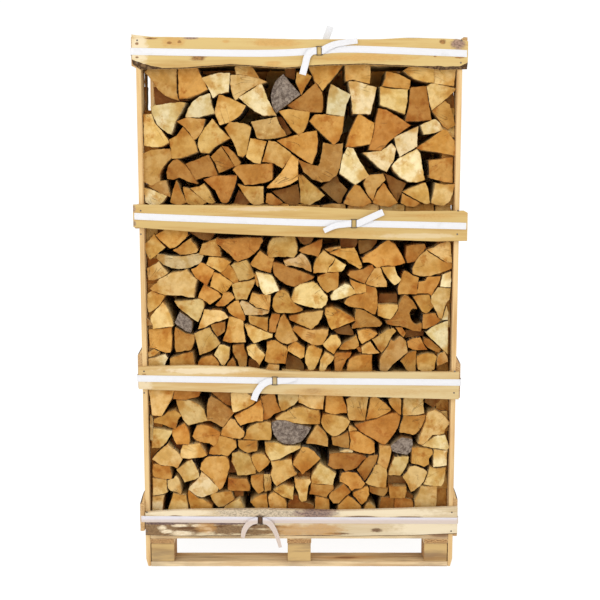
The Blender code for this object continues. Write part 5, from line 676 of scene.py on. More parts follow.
def rounded(points, cut):
    """Round the corners of an outline off to short curves."""
    made = []
    for i, p in enumerate(points):
        ends = []
        for q in (points[i - 1], points[(i + 1) % len(points)]):
            t = min(0.3, cut / max(math.dist(p, q), 1e-6))
            ends.append((p[0] + (q[0] - p[0]) * t, p[1] + (q[1] - p[1]) * t))
        (ax, az), (bx, bz) = ends
        made += [(ax, az), (0.25 * (ax + bx) + 0.5 * p[0], 0.25 * (az + bz) + 0.5 * p[1]), (bx, bz)]
    return made


def finer(points, step):
    """Add points so that no side of an outline is longer than the step."""
    made = []
    for i, p in enumerate(points):
        q = points[(i + 1) % len(points)]
        parts = max(1, math.ceil(math.dist(p, q) / step))
        made += [(p[0] + (q[0] - p[0]) * k / parts, p[1] + (q[1] - p[1]) * k / parts) for k in range(parts)]
    return made


def signed_area(points):
    return 0.5 * sum(p[0] * q[1] - q[0] * p[1] for p, q in zip(points, points[1:] + points[:1]))


def pith_of(points):
    """The sharpest corner of a split log, where the middle of the tree was, and a bit beyond it."""
    best = None
    for i, p in enumerate(points):
        a, b = points[i - 1], points[(i + 1) % len(points)]
        la, lb = math.dist(a, p), math.dist(b, p)
        if min(la, lb) < 0.008:
            continue
        dot = ((a[0] - p[0]) * (b[0] - p[0]) + (a[1] - p[1]) * (b[1] - p[1])) / (la * lb)
        if best is None or dot > best[0]:
            best = (dot, p)
    cx, cz = middle_of(points)
    px, pz = best[1] if best else points[0]
    return px + 0.12 * (px - cx), pz + 0.12 * (pz - cz)


def middle_of(points):
    return sum(p[0] for p in points) / len(points), sum(p[1] for p in points) / len(points)


class Stack:
    """Collects logs into one mesh. u runs right and v up as the row is looked at, depth runs inwards."""

    END, SPLIT, BARK = 0, 1, 2

    def __init__(self, face, turn):
        self.face, self.turn = face, turn
        self.corners, self.faces, self.kinds = [], [], []
        self.tint, self.from_pith, self.edge, self.worn = [], [], [], []

    def corner(self, u, depth, v, log, edge):
        self.corners.append((self.turn * u, self.turn * (self.face + depth), v))
        self.tint.append((*log["tint"], 1.0))
        self.from_pith.append((u - log["pith"][0], log["seed"], v - log["pith"][1]))
        self.edge.append(edge)
        self.worn.append(log["worn"])
        return len(self.corners) - 1

    def ring(self, outline, middle, shrink, depth, log, edge):
        return [self.corner(middle[0] + (u - middle[0]) * shrink, depth(u, v), middle[1] + (v - middle[1]) * shrink,
                            log, edge) for u, v in outline]

    def band(self, outer, inner, kinds):
        count = len(outer)
        for k in range(count):
            n = (k + 1) % count
            self.faces.append((outer[k], outer[n], inner[n], inner[k]))
            self.kinds.append(kinds[k])

    def add_log(self, tone, points, step, rng, length=LOG_LENGTH, back=0.0):
        low = max([joint for joint in TIER_JOINTS if joint <= middle_of(points)[1]]) + 0.001
        high = min([joint for joint in TIER_JOINTS if joint > middle_of(points)[1]]) - 0.001
        if signed_area(points) < 0:
            points = points[::-1]
        pith = pith_of(points)
        seed = rng.random() * 9.0
        bright = rng.uniform(0.93, 1.07)
        warm = rng.uniform(-0.02, 0.02)
        red, green, blue = END_SRGB[tone]
        tint = (linear(min(1, red * bright)), linear(min(1, (green + warm) * bright)),
                linear(min(1, (blue + warm) * bright)))
        log = {"tint": tint, "pith": pith, "seed": seed, "worn": 1.0 if tone == "g" else 0.0}
        outline = finer(rounded(pointed(points, 0.0024), 0.0007), step)
        count = len(outline)
        wavy = []
        for i, (u, v) in enumerate(outline):
            a, b = outline[i - 1], outline[(i + 1) % count]
            tu, tv = b[0] - a[0], b[1] - a[1]
            size = math.hypot(tu, tv) or 1.0
            push = 0.0006 + 0.0016 * noise.noise(Vector((u * 75, v * 75, seed)))
            push += 0.0010 * noise.noise(Vector((u * 260, v * 260, seed)))
            wavy.append((u + tv / size * push, v - tu / size * push))
        outline = wavy
        middle = middle_of(points)
        first = back + SET_BACK[tone]
        wobble = math.sin(middle[0] * 57.0 + middle[1] * 91.0) * 0.5 + 0.5
        first += 0.006 * wobble
        lean_u, lean_v = rng.uniform(-0.045, 0.045), rng.uniform(-0.045, 0.045)

        def sawn(u, v, sink=0.0):
            rise = lean_u * (u - middle[0]) + lean_v * (v - middle[1])
            rough = 0.0006 * noise.noise(Vector((u * 60, v * 60, seed + 3)))
            return max(0.0004, first + rise + rough + sink)

        reach = [math.dist(p, pith) for p in outline]
        longest = max(reach)
        has_bark = rng.random() < 0.62
        kinds = []
        for i, (u, v) in enumerate(outline):
            n = outline[(i + 1) % count]
            nu, nv = n[1] - v, -(n[0] - u)
            size = math.hypot(nu, nv) or 1.0
            outward = (nu * (u - pith[0]) + nv * (v - pith[1])) / (size * (reach[i] or 1.0))
            barky = has_bark and outward > 0.82 and reach[i] > 0.62 * longest
            kinds.append(self.BARK if barky else self.SPLIT)
        star = all((p[0] - middle[0]) * (q[1] - middle[1]) - (p[1] - middle[1]) * (q[0] - middle[0]) > 0
                   for p, q in zip(outline, outline[1:] + outline[:1]))
        rim = self.ring(outline, middle, 1.0, lambda u, v: sawn(u, v, 0.0008), log, 0.0)
        if star:
            face_1 = self.ring(outline, middle, 0.988, sawn, log, 0.12)
            face_2 = self.ring(outline, middle, 0.86, sawn, log, 0.6)
            face_3 = self.ring(outline, middle, 0.50, sawn, log, 1.0)
            for outer, inner in ((rim, face_1), (face_1, face_2), (face_2, face_3)):
                self.band(outer[::1], inner, [self.END] * count)
            hub = self.corner(middle[0], sawn(*middle), middle[1], log, 1.0)
            for k in range(count):
                self.faces.append((face_3[k], face_3[(k + 1) % count], hub))
                self.kinds.append(self.END)
        else:
            self.faces.append(tuple(rim))
            self.kinds.append(self.END)
        before = rim
        twist = rng.uniform(-0.02, 0.02)
        inset = 0.0016 * (seed % 1.0)
        side_limit = PILE_HALF_WIDTH - inset
        for share in (0.3, 0.65, 1.0):
            depth = first + share * (length - first)
            # Behind its sawn end a log swells a little, so that the pile closes further in.
            ease = 1.0 + 0.07 * math.sin(share * math.pi) * (0.6 + 0.8 * rng.random())
            ring = []
            for u, v in outline:
                du, dv = (u - middle[0]) * ease, (v - middle[1]) * ease
                bend = 0.0015 * noise.noise(Vector((u * 40, v * 40, depth * 14 + seed)))
                grow = 1.0 + bend / max(0.01, math.hypot(du, dv))
                du, dv = du * grow, dv * grow
                side = middle[0] + du - dv * twist * share
                height = middle[1] + dv + du * twist * share
                # Side rings carry edge 1, which split_wood turns into painted shade.
                ring.append(self.corner(max(-side_limit, min(side_limit, side)), depth,
                                        max(low + inset, min(high - inset, height)), log, 1.0))
            self.band(ring, before, kinds)
            before = ring
        self.faces.append(tuple(reversed(before)))
        self.kinds.append(self.END)

    def build(self, name, materials):
        mesh = bpy.data.meshes.new(name)
        mesh.from_pydata(self.corners, [], self.faces)
        mesh.polygons.foreach_set("material_index", self.kinds)
        for label, kind, field, values in (
                ("tint", "FLOAT_COLOR", "color", self.tint), ("from_pith", "FLOAT_VECTOR", "vector", self.from_pith),
                ("edge", "FLOAT", "value", self.edge), ("worn", "FLOAT", "value", self.worn)):
            layer = mesh.attributes.new(label, kind, "POINT")
            flat = [x for v in values for x in v] if isinstance(values[0], tuple) else values
            layer.data.foreach_set(field, flat)
        for material in materials:
            mesh.materials.append(material)
        return add_piece(name, mesh)


def add_piece(name, mesh):
    piece = bpy.data.objects.new(name, mesh)
    bpy.context.scene.collection.objects.link(piece)
    return piece


def dress(piece, slot, *nodes):
    """Hide the solids that a piece takes the place of and let it ride on the crate. slot, what it is made of, is not
    used.
    """
    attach(piece, ROOT)
    if nodes:
        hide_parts(*nodes)
    return piece


def read_ends(text):
    """Each traced end as its tone and its corners in metres from the middle of the crate."""
    ends = []
    for word in text.split():
        if word.isalpha():
            ends.append((word, []))
        else:
            x, z = (float(v) for v in word.split(","))
            ends[-1][1].append(((x - TRACED_MIDDLE) * TRACED_SCALE * CM, z * CM))
    return ends


# Where the boards cut the view of each tier: bottom left, bottom right, top left, top right, in cm.
SEEN_BANDS = ((20.5, 20.7, 70.4, 66.6), (78.8, 77.8, 132.4, 127.2), (142.4, 142.2, 192.0, 192.3))
# Hidden strips behind the boards that need logs of their own: the same four heights.
HIDDEN_BANDS = ((13.6, 13.6, 19.8, 19.8), (71.4, 67.6, 78.2, 77.2), (133.4, 128.2, 141.8, 141.6),
                (192.6, 192.9, 198.6, 198.8))


# The open place beside the left post near the top, low and high, and the chip of wood that lies there, dark as
# painted shade.
OPEN_PLACE = (1.80, 1.90)
CHIP_LENGTH = 0.10


def band_height(left, right, u):
    share = (u + PILE_HALF_WIDTH) / (2 * PILE_HALF_WIDTH)
    return (left + (right - left) * share) * CM


def arched(points, band):
    """Bulge the sides that a board cut flat, so that the log goes on behind the board."""
    made = []
    for i, p in enumerate(points):
        q = points[(i + 1) % len(points)]
        made.append(p)
        for left, right, way in ((band[0], band[1], -1.0), (band[2], band[3], 1.0)):
            near = all(abs(c[1] - band_height(left, right, c[0])) < 0.010 for c in (p, q))
            if near and math.dist(p, q) > 0.015:
                rise = way * min(0.016, 0.2 * math.dist(p, q))
                made.append(((p[0] * 0.7 + q[0] * 0.3), p[1] * 0.7 + q[1] * 0.3 + rise))
                made.append(((p[0] * 0.3 + q[0] * 0.7), p[1] * 0.3 + q[1] * 0.7 + rise * 0.8))
    return made


def hidden_ends(band, rng):
    """Split pieces side by side along a strip."""
    ends = []
    u = -PILE_HALF_WIDTH + 0.004
    while u < PILE_HALF_WIDTH - 0.05:
        width = min(rng.uniform(0.075, 0.125), PILE_HALF_WIDTH - 0.004 - u)
        v0 = band_height(band[0], band[1], u)
        v1 = band_height(band[2], band[3], u)
        lean = rng.uniform(-0.012, 0.012)
        mid = u + width * rng.uniform(0.35, 0.65)
        points = [(u + abs(lean), v0 + rng.uniform(0, 0.006)), (u + width - 0.004, v0 + rng.uniform(0, 0.006)),
                  (u + width - 0.004 - max(lean, 0), v1 - rng.uniform(0, 0.010)), (mid, v1),
                  (u + max(-lean, 0), v1 - rng.uniform(0, 0.012))]
        ends.append((rng.choice("stobt"), points))
        u += width
    return ends


def borrowed_ends(ends, source, level, mirrored):
    """The ends of one tier moved and stretched to fill another tier of a row that the front doesn't show."""
    band = SEEN_BANDS[source]
    low, high = TIER_JOINTS[level] + 0.001, TIER_JOINTS[level + 1] - (0.002 if level < 2 else 0.016)
    moved = []
    for tone, points in tier_ends(ends, source):
        shape = []
        for u, v in arched(points, band):
            bottom, top = band_height(band[0], band[1], u) - 0.012, band_height(band[2], band[3], u) + 0.012
            share = (v - bottom) / (top - bottom)
            shape.append((-u if mirrored else u, low + share * (high - low)))
        moved.append((tone, shape))
    return moved


def side_fillers(level, rng):
    """Split pieces close to the posts, behind the ends that show, with a slim dark one where the pile is open, its d
    tone painted shade.
    """
    ends = []
    for side in (-1.0, 1.0):
        z = TIER_JOINTS[level] + 0.004
        while z < TIER_JOINTS[level + 1] - 0.06:
            tall = rng.uniform(0.05, 0.11)
            narrow = side < 0 and z + tall > OPEN_PLACE[0] and z < OPEN_PLACE[1]
            wide = 0.006 if narrow else rng.uniform(0.035, 0.055)
            inner, outer = side * (PILE_HALF_WIDTH - wide), side * (PILE_HALF_WIDTH - 0.001)
            lean = 0.0 if narrow else rng.uniform(0.0, 0.008)
            ends.append(("d" if narrow else rng.choice("btsb"),
                         [(inner, z), (outer, z), (outer - side * lean, z + tall), (inner, z + tall - lean)]))
            z += tall
    return ends


def deep_fillers(level, rng):
    """Dusky pieces deep in the middle row, dark as painted shade, which close the view between its ends."""
    low, high = TIER_JOINTS[level] + 0.001, TIER_JOINTS[level + 1] - (0.06 if level == 2 else 0.001)
    side, columns, rows = PILE_HALF_WIDTH - 0.055, 9, 4
    wide, tall = 2 * side / columns, (high - low) / rows
    ends = []
    for column in range(columns):
        for row in range(rows):
            u, v = column * wide - side, low + row * tall
            lean = rng.uniform(0.0, 0.006)
            ends.append(("d", [(u, v), (u + wide, v), (u + wide, v + tall), (u + wide / 2, v + tall - lean), (u, v + tall)]))
    return ends


def swollen(points, level):
    """A log of the middle row, which fills the view between the logs in front of it."""
    cu, cv = middle_of(points)
    side, low, high = PILE_HALF_WIDTH - 0.003, TIER_JOINTS[level] + 0.002, TIER_JOINTS[level + 1] - 0.002
    return [(max(-side, min(side, cu + (u - cu) * 1.22)), max(low, min(high, cv + (v - cv) * 1.22)))
            for u, v in points]


def tier_ends(ends, level):
    low, high = TIER_JOINTS[level], TIER_JOINTS[level + 1]
    return [end for end in ends if low < middle_of(end[1])[1] < high]


def stack_wood():
    ends = read_ends(FRONT_ENDS)
    wood = (end_grain(), split_wood(), bark())
    for level, word in enumerate(("low", "mid", "top")):
        rng = random.Random(40 + level)
        front = Stack(FIRST_ROW_FRONT, 1.0)
        for tone, points in tier_ends(ends, level):
            front.add_log(tone, arched(points, SEEN_BANDS[level]), 0.0055, rng)
        for tone, points in side_fillers(level, rng):
            front.add_log(tone, points, 0.02, rng, CHIP_LENGTH if tone == "d" else LOG_LENGTH, 0.022)
        hidden = (HIDDEN_BANDS[0:2], HIDDEN_BANDS[2:3], HIDDEN_BANDS[3:4])[level]
        for band in hidden:
            for tone, points in hidden_ends(band, rng):
                front.add_log(tone, points, 0.014, rng, back=0.026)
        dress(front.build("logs_front_" + word, wood), "firewood", "wood_front_" + word)
        middle = Stack(FIRST_ROW_FRONT + ROW_DEPTH, 1.0)
        for tone, points in borrowed_ends(ends, (level + 2) % 3, level, False):
            middle.add_log(tone, swollen(points, level), 0.022, rng)
        for tone, points in deep_fillers(level, rng):
            middle.add_log(tone, points, 0.03, rng, back=0.04)
        dress(middle.build("logs_middle_" + word, wood), "firewood", "wood_middle_" + word)
        rear = Stack(FIRST_ROW_FRONT, -1.0)
        for tone, points in borrowed_ends(ends, (level + 1) % 3, level, level != 1):
            rear.add_log(tone, points, 0.010, rng)
        dress(rear.build("logs_rear_" + word, wood), "firewood", "wood_rear_" + word)


def sawn_wood(name, light, dark, run, knots=0.5, grey=0.0, marks=()):
    """Sawn softwood: run is the axis of the grain. marks are two colours, strength and ovals on the front."""
    mix = Recipe(name)
    place = mix.place()
    long = [44.0, 44.0, 44.0]
    wide = [9.0, 9.0, 9.0]
    lumps = [8.5, 8.5, 8.5]
    long[run], wide[run], lumps[run] = 2.6, 1.3, 2.1
    warp = mix.grain(place, 9.0, 2.0)
    fibres = mix.grain(mix.stretch(place, long), 1.0, 6.0, 0.62)
    broad = mix.grain(mix.stretch(place, wide, (3.1, 1.7, 5.3)), 1.0, 3.0, 0.5)
    colour = mix.blend(mix.ease(fibres + (broad - 0.5) * 0.7, 0.40, 0.72), light, dark)
    cell = mix.add("ShaderNodeTexVoronoi", {"feature": "F1"},
                   {"Vector": mix.stretch(place, lumps), "Scale": 1.0, "Randomness": 1.0}, out="Distance")
    knot = mix.ease(cell + (warp - 0.5) * 0.14, 0.13, 0.05) * knots
    halo = mix.ease(cell + (warp - 0.5) * 0.2, 0.30, 0.10) * knots
    colour = mix.blend(halo * 0.5, colour, paint(0.80, 0.58, 0.34))
    colour = mix.blend(knot, colour, paint(0.45, 0.28, 0.16))
    if grey:
        soot = mix.ease(mix.grain(mix.stretch(place, wide, (9.0, 2.0, 7.0)), 2.0, 5.0, 0.65), 0.44, 0.66)
        colour = mix.blend(soot * grey, colour, paint(0.42, 0.34, 0.30))
    edge = mix.grain(mix.stretch(place, (26.0, 26.0, 70.0)), 1.0, 6.0, 0.75)
    speckle = mix.ease(mix.grain(mix.stretch(place, (95.0, 95.0, 190.0)), 1.0, 4.0, 0.7), 0.40, 0.56)
    for deep, pale, strength, ovals in marks:
        mask = mix.spots(place, ovals, (edge - 0.5) * 1.9)
        colour = mix.blend(mask * strength, colour, mix.blend(speckle, paint(*deep), paint(*pale)))
    colour = mix.tone(colour, 0.86 + broad * 0.28)
    height = fibres * 0.6 + warp * 0.3 - knot * 0.5
    return mix.finish(colour, 0.58 + fibres * 0.22, height, 0.0012)


def sawn_end(name, light, dark):
    """End grain of sawn timber, a bit darker, with year rings."""
    mix = Recipe(name)
    place = mix.place()
    warp = mix.grain(place, 14.0, 2.0)
    x, y, z = mix.split(place)
    rings = ((z + warp * 0.05 + x * 0.35 + y * 0.3) * (2 * math.pi / 0.006)).sine()
    fine = mix.grain(place, 130.0, 5.0, 0.7)
    colour = mix.blend(mix.ease(fine + rings * 0.12, 0.36, 0.66), light, dark)
    return mix.finish(colour, 0.75 + fine * 0.2, fine + rings * 0.15, 0.0012)


def along(line, s):
    """Height of a line of (place, height) pairs at s."""
    for (a, p), (b, q) in zip(line, line[1:]):
        if s <= b or (b, q) == line[-1]:
            return p + (q - p) * (s - a) / (b - a)
    return line[-1][1]


def sloped_off(wane, s, seed):
    """How far a board is sloped off at s: a line of (place, height) pairs, or a size that comes and goes."""
    if isinstance(wane, tuple):
        return along(wane, s) * (0.85 + 0.3 * noise.noise(Vector((s * 40, seed, 0.0))))
    return wane * max(0.0, 0.5 + 0.9 * noise.noise(Vector((s * 7, seed, 0.0))))


def plank(name, run, span, near, far, lower, upper, materials, wander=0.0006, wane=(0.0, 0.0), seed=0.0, step=0.014):
    """A board on edge. run is the axis that it follows, near and far are its faces, and lower and upper
    give its edges. wander makes the edges uneven, and wane slopes them off on the near side, where the
    bark was. materials are those of its faces, its ends and its bark."""
    across = 1 - run
    count = max(2, round((span[1] - span[0]) / step))
    inward = 1.0 if far > near else -1.0
    thick = abs(far - near)
    c = 0.0016
    corners, faces, kinds = [], [], []
    for k in range(count + 1):
        s = span[0] + (span[1] - span[0]) * k / count
        low = along(lower, s) + wander * (0.5 + 0.5 * noise.noise(Vector((s * 26, seed, 1.0)))) \
            + wander * 0.4 * noise.noise(Vector((s * 90, seed, 2.0)))
        high = along(upper, s) - wander * (0.5 + 0.5 * noise.noise(Vector((s * 26, seed, 5.0)))) \
            - wander * 0.4 * noise.noise(Vector((s * 90, seed, 6.0)))
        w0 = c + sloped_off(wane[0], s, seed + 9.0)
        w1 = c + sloped_off(wane[1], s, seed + 12.0)
        d0, d1 = min(w0 * 1.1, thick * 0.8), min(w1 * 1.1, thick * 0.8)
        section = ((0.0, low + w0), (0.0, high - w1), (d1, high), (thick - c, high), (thick, high - c),
                   (thick, low + c), (thick - c, low), (d0, low))
        for depth, height in section:
            place = [0.0, 0.0, height]
            place[run], place[across] = s, near + inward * depth
            corners.append(tuple(place))
    for k in range(count):
        a, b = 8 * k, 8 * (k + 1)
        for j in range(8):
            n = (j + 1) % 8
            faces.append((a + j, b + j, b + n, a + n))
            sloped = (j == 1 and wane[1]) or (j == 7 and wane[0])
            kinds.append(2 if sloped else 0)
    faces += [tuple(range(8)), tuple(range(8 * count + 7, 8 * count - 1, -1))]
    kinds += [1, 1]
    mesh = bpy.data.meshes.new(name)
    flip = (inward > 0) == (run == 0)
    mesh.from_pydata(corners, [], faces if not flip else [f[::-1] for f in faces])
    mesh.polygons.foreach_set("material_index", kinds)
    for material in materials:
        mesh.materials.append(material)
    return add_piece(name, mesh)


def timber(name, low, high, run, materials, worn=0.0016, step=0.03, seed=0.0, foot=0.0):
    """A sawn piece between two corners with worn edges. foot rounds its lower outer corner at the ends of z."""
    others = [a for a in range(3) if a != run]
    count = max(2, round((high[run] - low[run]) / step))
    corners, faces = [], []
    stops = [0.0, worn / (high[run] - low[run])]
    stops += [k / count for k in range(1, count)]
    stops += [1 - worn / (high[run] - low[run]), 1.0]
    sides = []
    for i, t in enumerate(stops):
        s = low[run] + (high[run] - low[run]) * t
        tight = worn * 0.8 if i in (0, len(stops) - 1) else 0.0
        section = []
        for sign_a, sign_b, first in ((-1, -1, 0), (1, -1, 1), (1, 1, 0), (-1, 1, 1)):
            chip = worn * (1.0 + 1.2 * max(0.0, noise.noise(Vector((s * 23, seed, 7.0 + sign_a + 2.0 * sign_b)))))
            for turn in ((0, 1) if first == 0 else (1, 0)):
                a_in, b_in = (0.0, chip) if turn == 0 else (chip, 0.0)
                section.append((sign_a, a_in + tight, sign_b, b_in + tight))
        ring = []
        for sign_a, a_in, sign_b, b_in in section:
            place = [0.0, 0.0, 0.0]
            place[run] = s
            a, b = others
            place[a] = (high[a] - a_in) if sign_a > 0 else (low[a] + a_in)
            place[b] = (high[b] - b_in) if sign_b > 0 else (low[b] + b_in)
            if foot and place[2] < 0.026 and abs(place[0]) > abs(low[0] + high[0]) / 2:
                sunk = (0.026 - place[2]) / 0.026
                place[0] -= math.copysign(foot * sunk ** 2, place[0])
            ring.append(len(corners))
            corners.append(tuple(place))
        sides.append(ring)
    kinds = []
    for before, after in zip(sides, sides[1:]):
        for k in range(8):
            n = (k + 1) % 8
            faces.append((before[k], before[n], after[n], after[k]))
            kinds.append(0)
    faces += [tuple(reversed(sides[0])), tuple(sides[-1])]
    kinds += [1, 1]
    if run == 1:
        faces = [f[::-1] for f in faces]
    mesh = bpy.data.meshes.new(name)
    mesh.from_pydata(corners, [], faces)
    mesh.polygons.foreach_set("material_index", kinds)
    for material in materials:
        mesh.materials.append(material)
    return add_piece(name, mesh)


# Boards across the front, bottom one first: lower edge, then upper edge, left to right:
# x from the middle of the crate and z from the ground, in cm.
FRONT_BOARDS = (
    (((-59.7, 13.4), (-38.6, 12.8), (-15.0, 13.3), (20.0, 12.9), (45.0, 13.2), (61.4, 14.0)),
     ((-59.4, 22.7), (-46.0, 23.6), (-15.0, 24.0), (16.0, 23.3), (39.0, 24.0), (60.3, 24.8))),
    (((-60.8, 71.4), (-38.0, 70.5), (-7.0, 69.4), (30.0, 68.3), (60.0, 67.4)),
     ((-61.2, 80.2), (-41.0, 80.7), (-19.0, 79.9), (-10.0, 78.5), (16.0, 78.0), (60.9, 78.2))),
    (((-61.6, 133.1), (-37.0, 131.2), (-15.0, 130.1), (20.0, 128.9), (52.0, 127.8), (62.2, 128.0)),
     ((-61.9, 141.7), (0.3, 141.1), (22.0, 139.9), (38.0, 139.2), (61.5, 139.4), (62.8, 138.6))),
    (((-61.1, 192.8), (-58.4, 190.9), (-43.0, 191.1), (-25.0, 192.4), (-5.0, 191.1), (8.0, 192.2),
      (24.0, 192.6), (44.0, 191.7), (52.0, 190.7), (61.2, 191.0)),
     ((-60.9, 203.4), (-54.0, 202.6), (-22.0, 202.2), (0.3, 201.7), (29.0, 201.7), (40.0, 202.3),
      (58.0, 201.8), (61.6, 201.0))),
)
LIVE_EDGE = (0.0, 1.4, 0.6, 2.2, 1.2, 2.6, 0.8, 1.6, 0.2)
STRAIGHT_EDGE = (0.0, 0.2, 0.1, 0.0)

# How far the bark side cuts into the lower front edge of the top board: x and height, in cm.
TOP_BOARD_WANE = ((-61.1, 1.6), (-58.4, 2.6), (-54.5, 1.3), (-50.0, 0.2), (44.0, 0.2), (51.0, 1.2),
                  (58.0, 1.0), (61.2, 2.0))

# Light and dark colour of the wood of each front board.
BOARD_SRGB = (
    ((0.82, 0.75, 0.62), (0.75, 0.65, 0.49)),
    ((0.82, 0.725, 0.53), (0.75, 0.61, 0.39)),
    ((0.79, 0.67, 0.43), (0.72, 0.56, 0.32)),
    ((0.81, 0.70, 0.46), (0.73, 0.58, 0.34)),
)

# What stands out on each front board: two colours, strength, and ovals (x, z, half width, half height, cm). Most are
# the boards' own marks; two on board 1 are painted shade.
# The dusky stain colour also serves as a painted shadow under strap 1.
BARK, GREY_BARK, DUSKY_STAIN_AND_SHADOW = (0.42, 0.31, 0.20), (0.60, 0.54, 0.46), (0.33, 0.25, 0.27)
CREAM, FLAKE, GOLD = (0.90, 0.84, 0.72), (0.84, 0.74, 0.60), (0.74, 0.55, 0.29)
# The knot brown also serves as painted shade at buckle 1.
KNOT_AND_SHADE, KNOT_RIM = (0.36, 0.22, 0.12), (0.62, 0.42, 0.22)
BOARD_MARKS = (
    ((CREAM, CREAM, 0.75, ((-46.0, 22.6, 13.5, 1.3), (-47.0, 21.6, 9.0, 0.7), (30.0, 22.6, 26.0, 2.0), (50.0, 16.5, 14.0, 3.6))),
     (GREY_BARK, (0.80, 0.73, 0.62), 0.95, ((-24.0, 22.6, 9.5, 2.3), (-9.0, 22.4, 11.0, 2.3))),
     (DUSKY_STAIN_AND_SHADOW, (0.56, 0.45, 0.40), 0.9, ((6.5, 22.4, 8.6, 2.1),)),
     (BARK, (0.52, 0.40, 0.27), 0.95, ((-55.0, 15.8, 8.5, 3.8), (-48.0, 16.6, 7.0, 2.2), (-43.0, 16.0, 6.5, 2.4),
                                       (-28.0, 16.0, 8.5, 2.4), (-17.0, 14.9, 10.0, 1.1), (-15.0, 17.0, 11.0, 0.8))),
     # Painted shadow: a dark band just under strap 1 across the board's left half.
     (DUSKY_STAIN_AND_SHADOW, (0.45, 0.36, 0.33), 0.9, ((-51.0, 18.3, 11.0, 0.55), (-29.0, 18.2, 13.0, 0.45))),
     (FLAKE, CREAM, 0.95, ((-53.2, 16.5, 2.0, 0.9), (-51.6, 15.1, 2.6, 0.8), (-45.5, 14.4, 4.2, 1.0), (-46.2, 17.4, 3.2, 0.7), (-39.0, 17.4, 3.0, 0.6),
                           (-35.5, 15.6, 1.6, 1.4))),
     (BARK, KNOT_AND_SHADE, 0.85, ((-44.0, 16.4, 4.2, 0.6), (-38.0, 15.4, 3.4, 0.5), (-32.5, 17.0, 4.0, 0.5), (-48.0, 21.2, 2.5, 0.4),
                         (-38.0, 20.9, 9.0, 0.4), (24.0, 20.9, 6.5, 0.5), (42.0, 20.8, 6.0, 0.4), (30.0, 15.6, 2.2, 0.9),
                         (15.0, 14.2, 5.0, 0.5))),
     # Painted shade: a dark spot behind buckle 1 and under the roots of its tails, where the buckle's opening lies in
     # shade.
     (KNOT_AND_SHADE, (0.30, 0.20, 0.14), 0.95, ((-15.1, 19.7, 2.2, 2.2), (-17.4, 18.1, 1.6, 0.9), (-12.4, 18.3, 1.2, 0.7))),
     (GOLD, (0.70, 0.52, 0.32), 0.7, ((-3.0, 15.6, 8.0, 2.6), (7.5, 15.8, 9.5, 2.8), (-36.0, 16.5, 4.0, 2.2)))),
    ((KNOT_AND_SHADE, KNOT_RIM, 0.7, ((-59.0, 77.3, 0.9, 0.3), (-58.4, 74.1, 0.4, 0.35))),
     (CREAM, CREAM, 0.6, ((-36.0, 78.6, 16.0, 1.2), (-60.0, 73.0, 4.0, 2.2))),
     (GOLD, (0.79, 0.64, 0.40), 0.4, ((22.0, 70.4, 30.0, 1.6), (-20.0, 77.6, 6.0, 0.8)))),
    ((DUSKY_STAIN_AND_SHADOW, (0.62, 0.52, 0.50), 0.6, ((-61.6, 140.2, 0.7, 1.4), (-61.6, 134.6, 0.7, 1.2))),
     (GOLD, (0.79, 0.63, 0.37), 0.4, ((-30.0, 139.4, 12.0, 1.0), (14.0, 131.2, 20.0, 1.2), (50.0, 137.2, 8.0, 1.2))),
     (CREAM, CREAM, 0.4, ((-14.0, 140.0, 14.0, 0.8), (44.0, 130.0, 14.0, 1.0)))),
    ((CREAM, CREAM, 0.75, ((-58.5, 198.6, 3.4, 6.0),)),
     (GOLD, (0.79, 0.59, 0.32), 0.6, ((-45.6, 200.6, 4.4, 1.8), (-9.0, 200.4, 9.5, 1.3), (-9.5, 193.0, 3.4, 0.9),
                                      (-26.6, 200.9, 1.6, 0.6), (25.0, 195.0, 18.0, 1.2))),
     (KNOT_AND_SHADE, KNOT_RIM, 0.85, ((-47.3, 200.4, 0.9, 0.6), (-43.6, 200.8, 0.8, 0.5), (-37.0, 195.0, 2.8, 1.1),
                             (-54.0, 201.9, 2.2, 0.35), (-59.2, 200.0, 0.7, 0.5), (-59.2, 195.2, 0.6, 0.4),
                             (52.3, 200.7, 1.2, 0.9), (58.5, 195.1, 1.9, 0.3), (49.6, 195.5, 0.6, 0.3))),
     (DUSKY_STAIN_AND_SHADOW, (0.60, 0.48, 0.46), 0.8, ((-39.5, 202.0, 2.8, 0.45), (58.0, 200.0, 2.6, 2.0), (43.0, 202.2, 7.0, 0.25)))),
)


def in_metres(line):
    return [(x * CM, z * CM) for x, z in line]


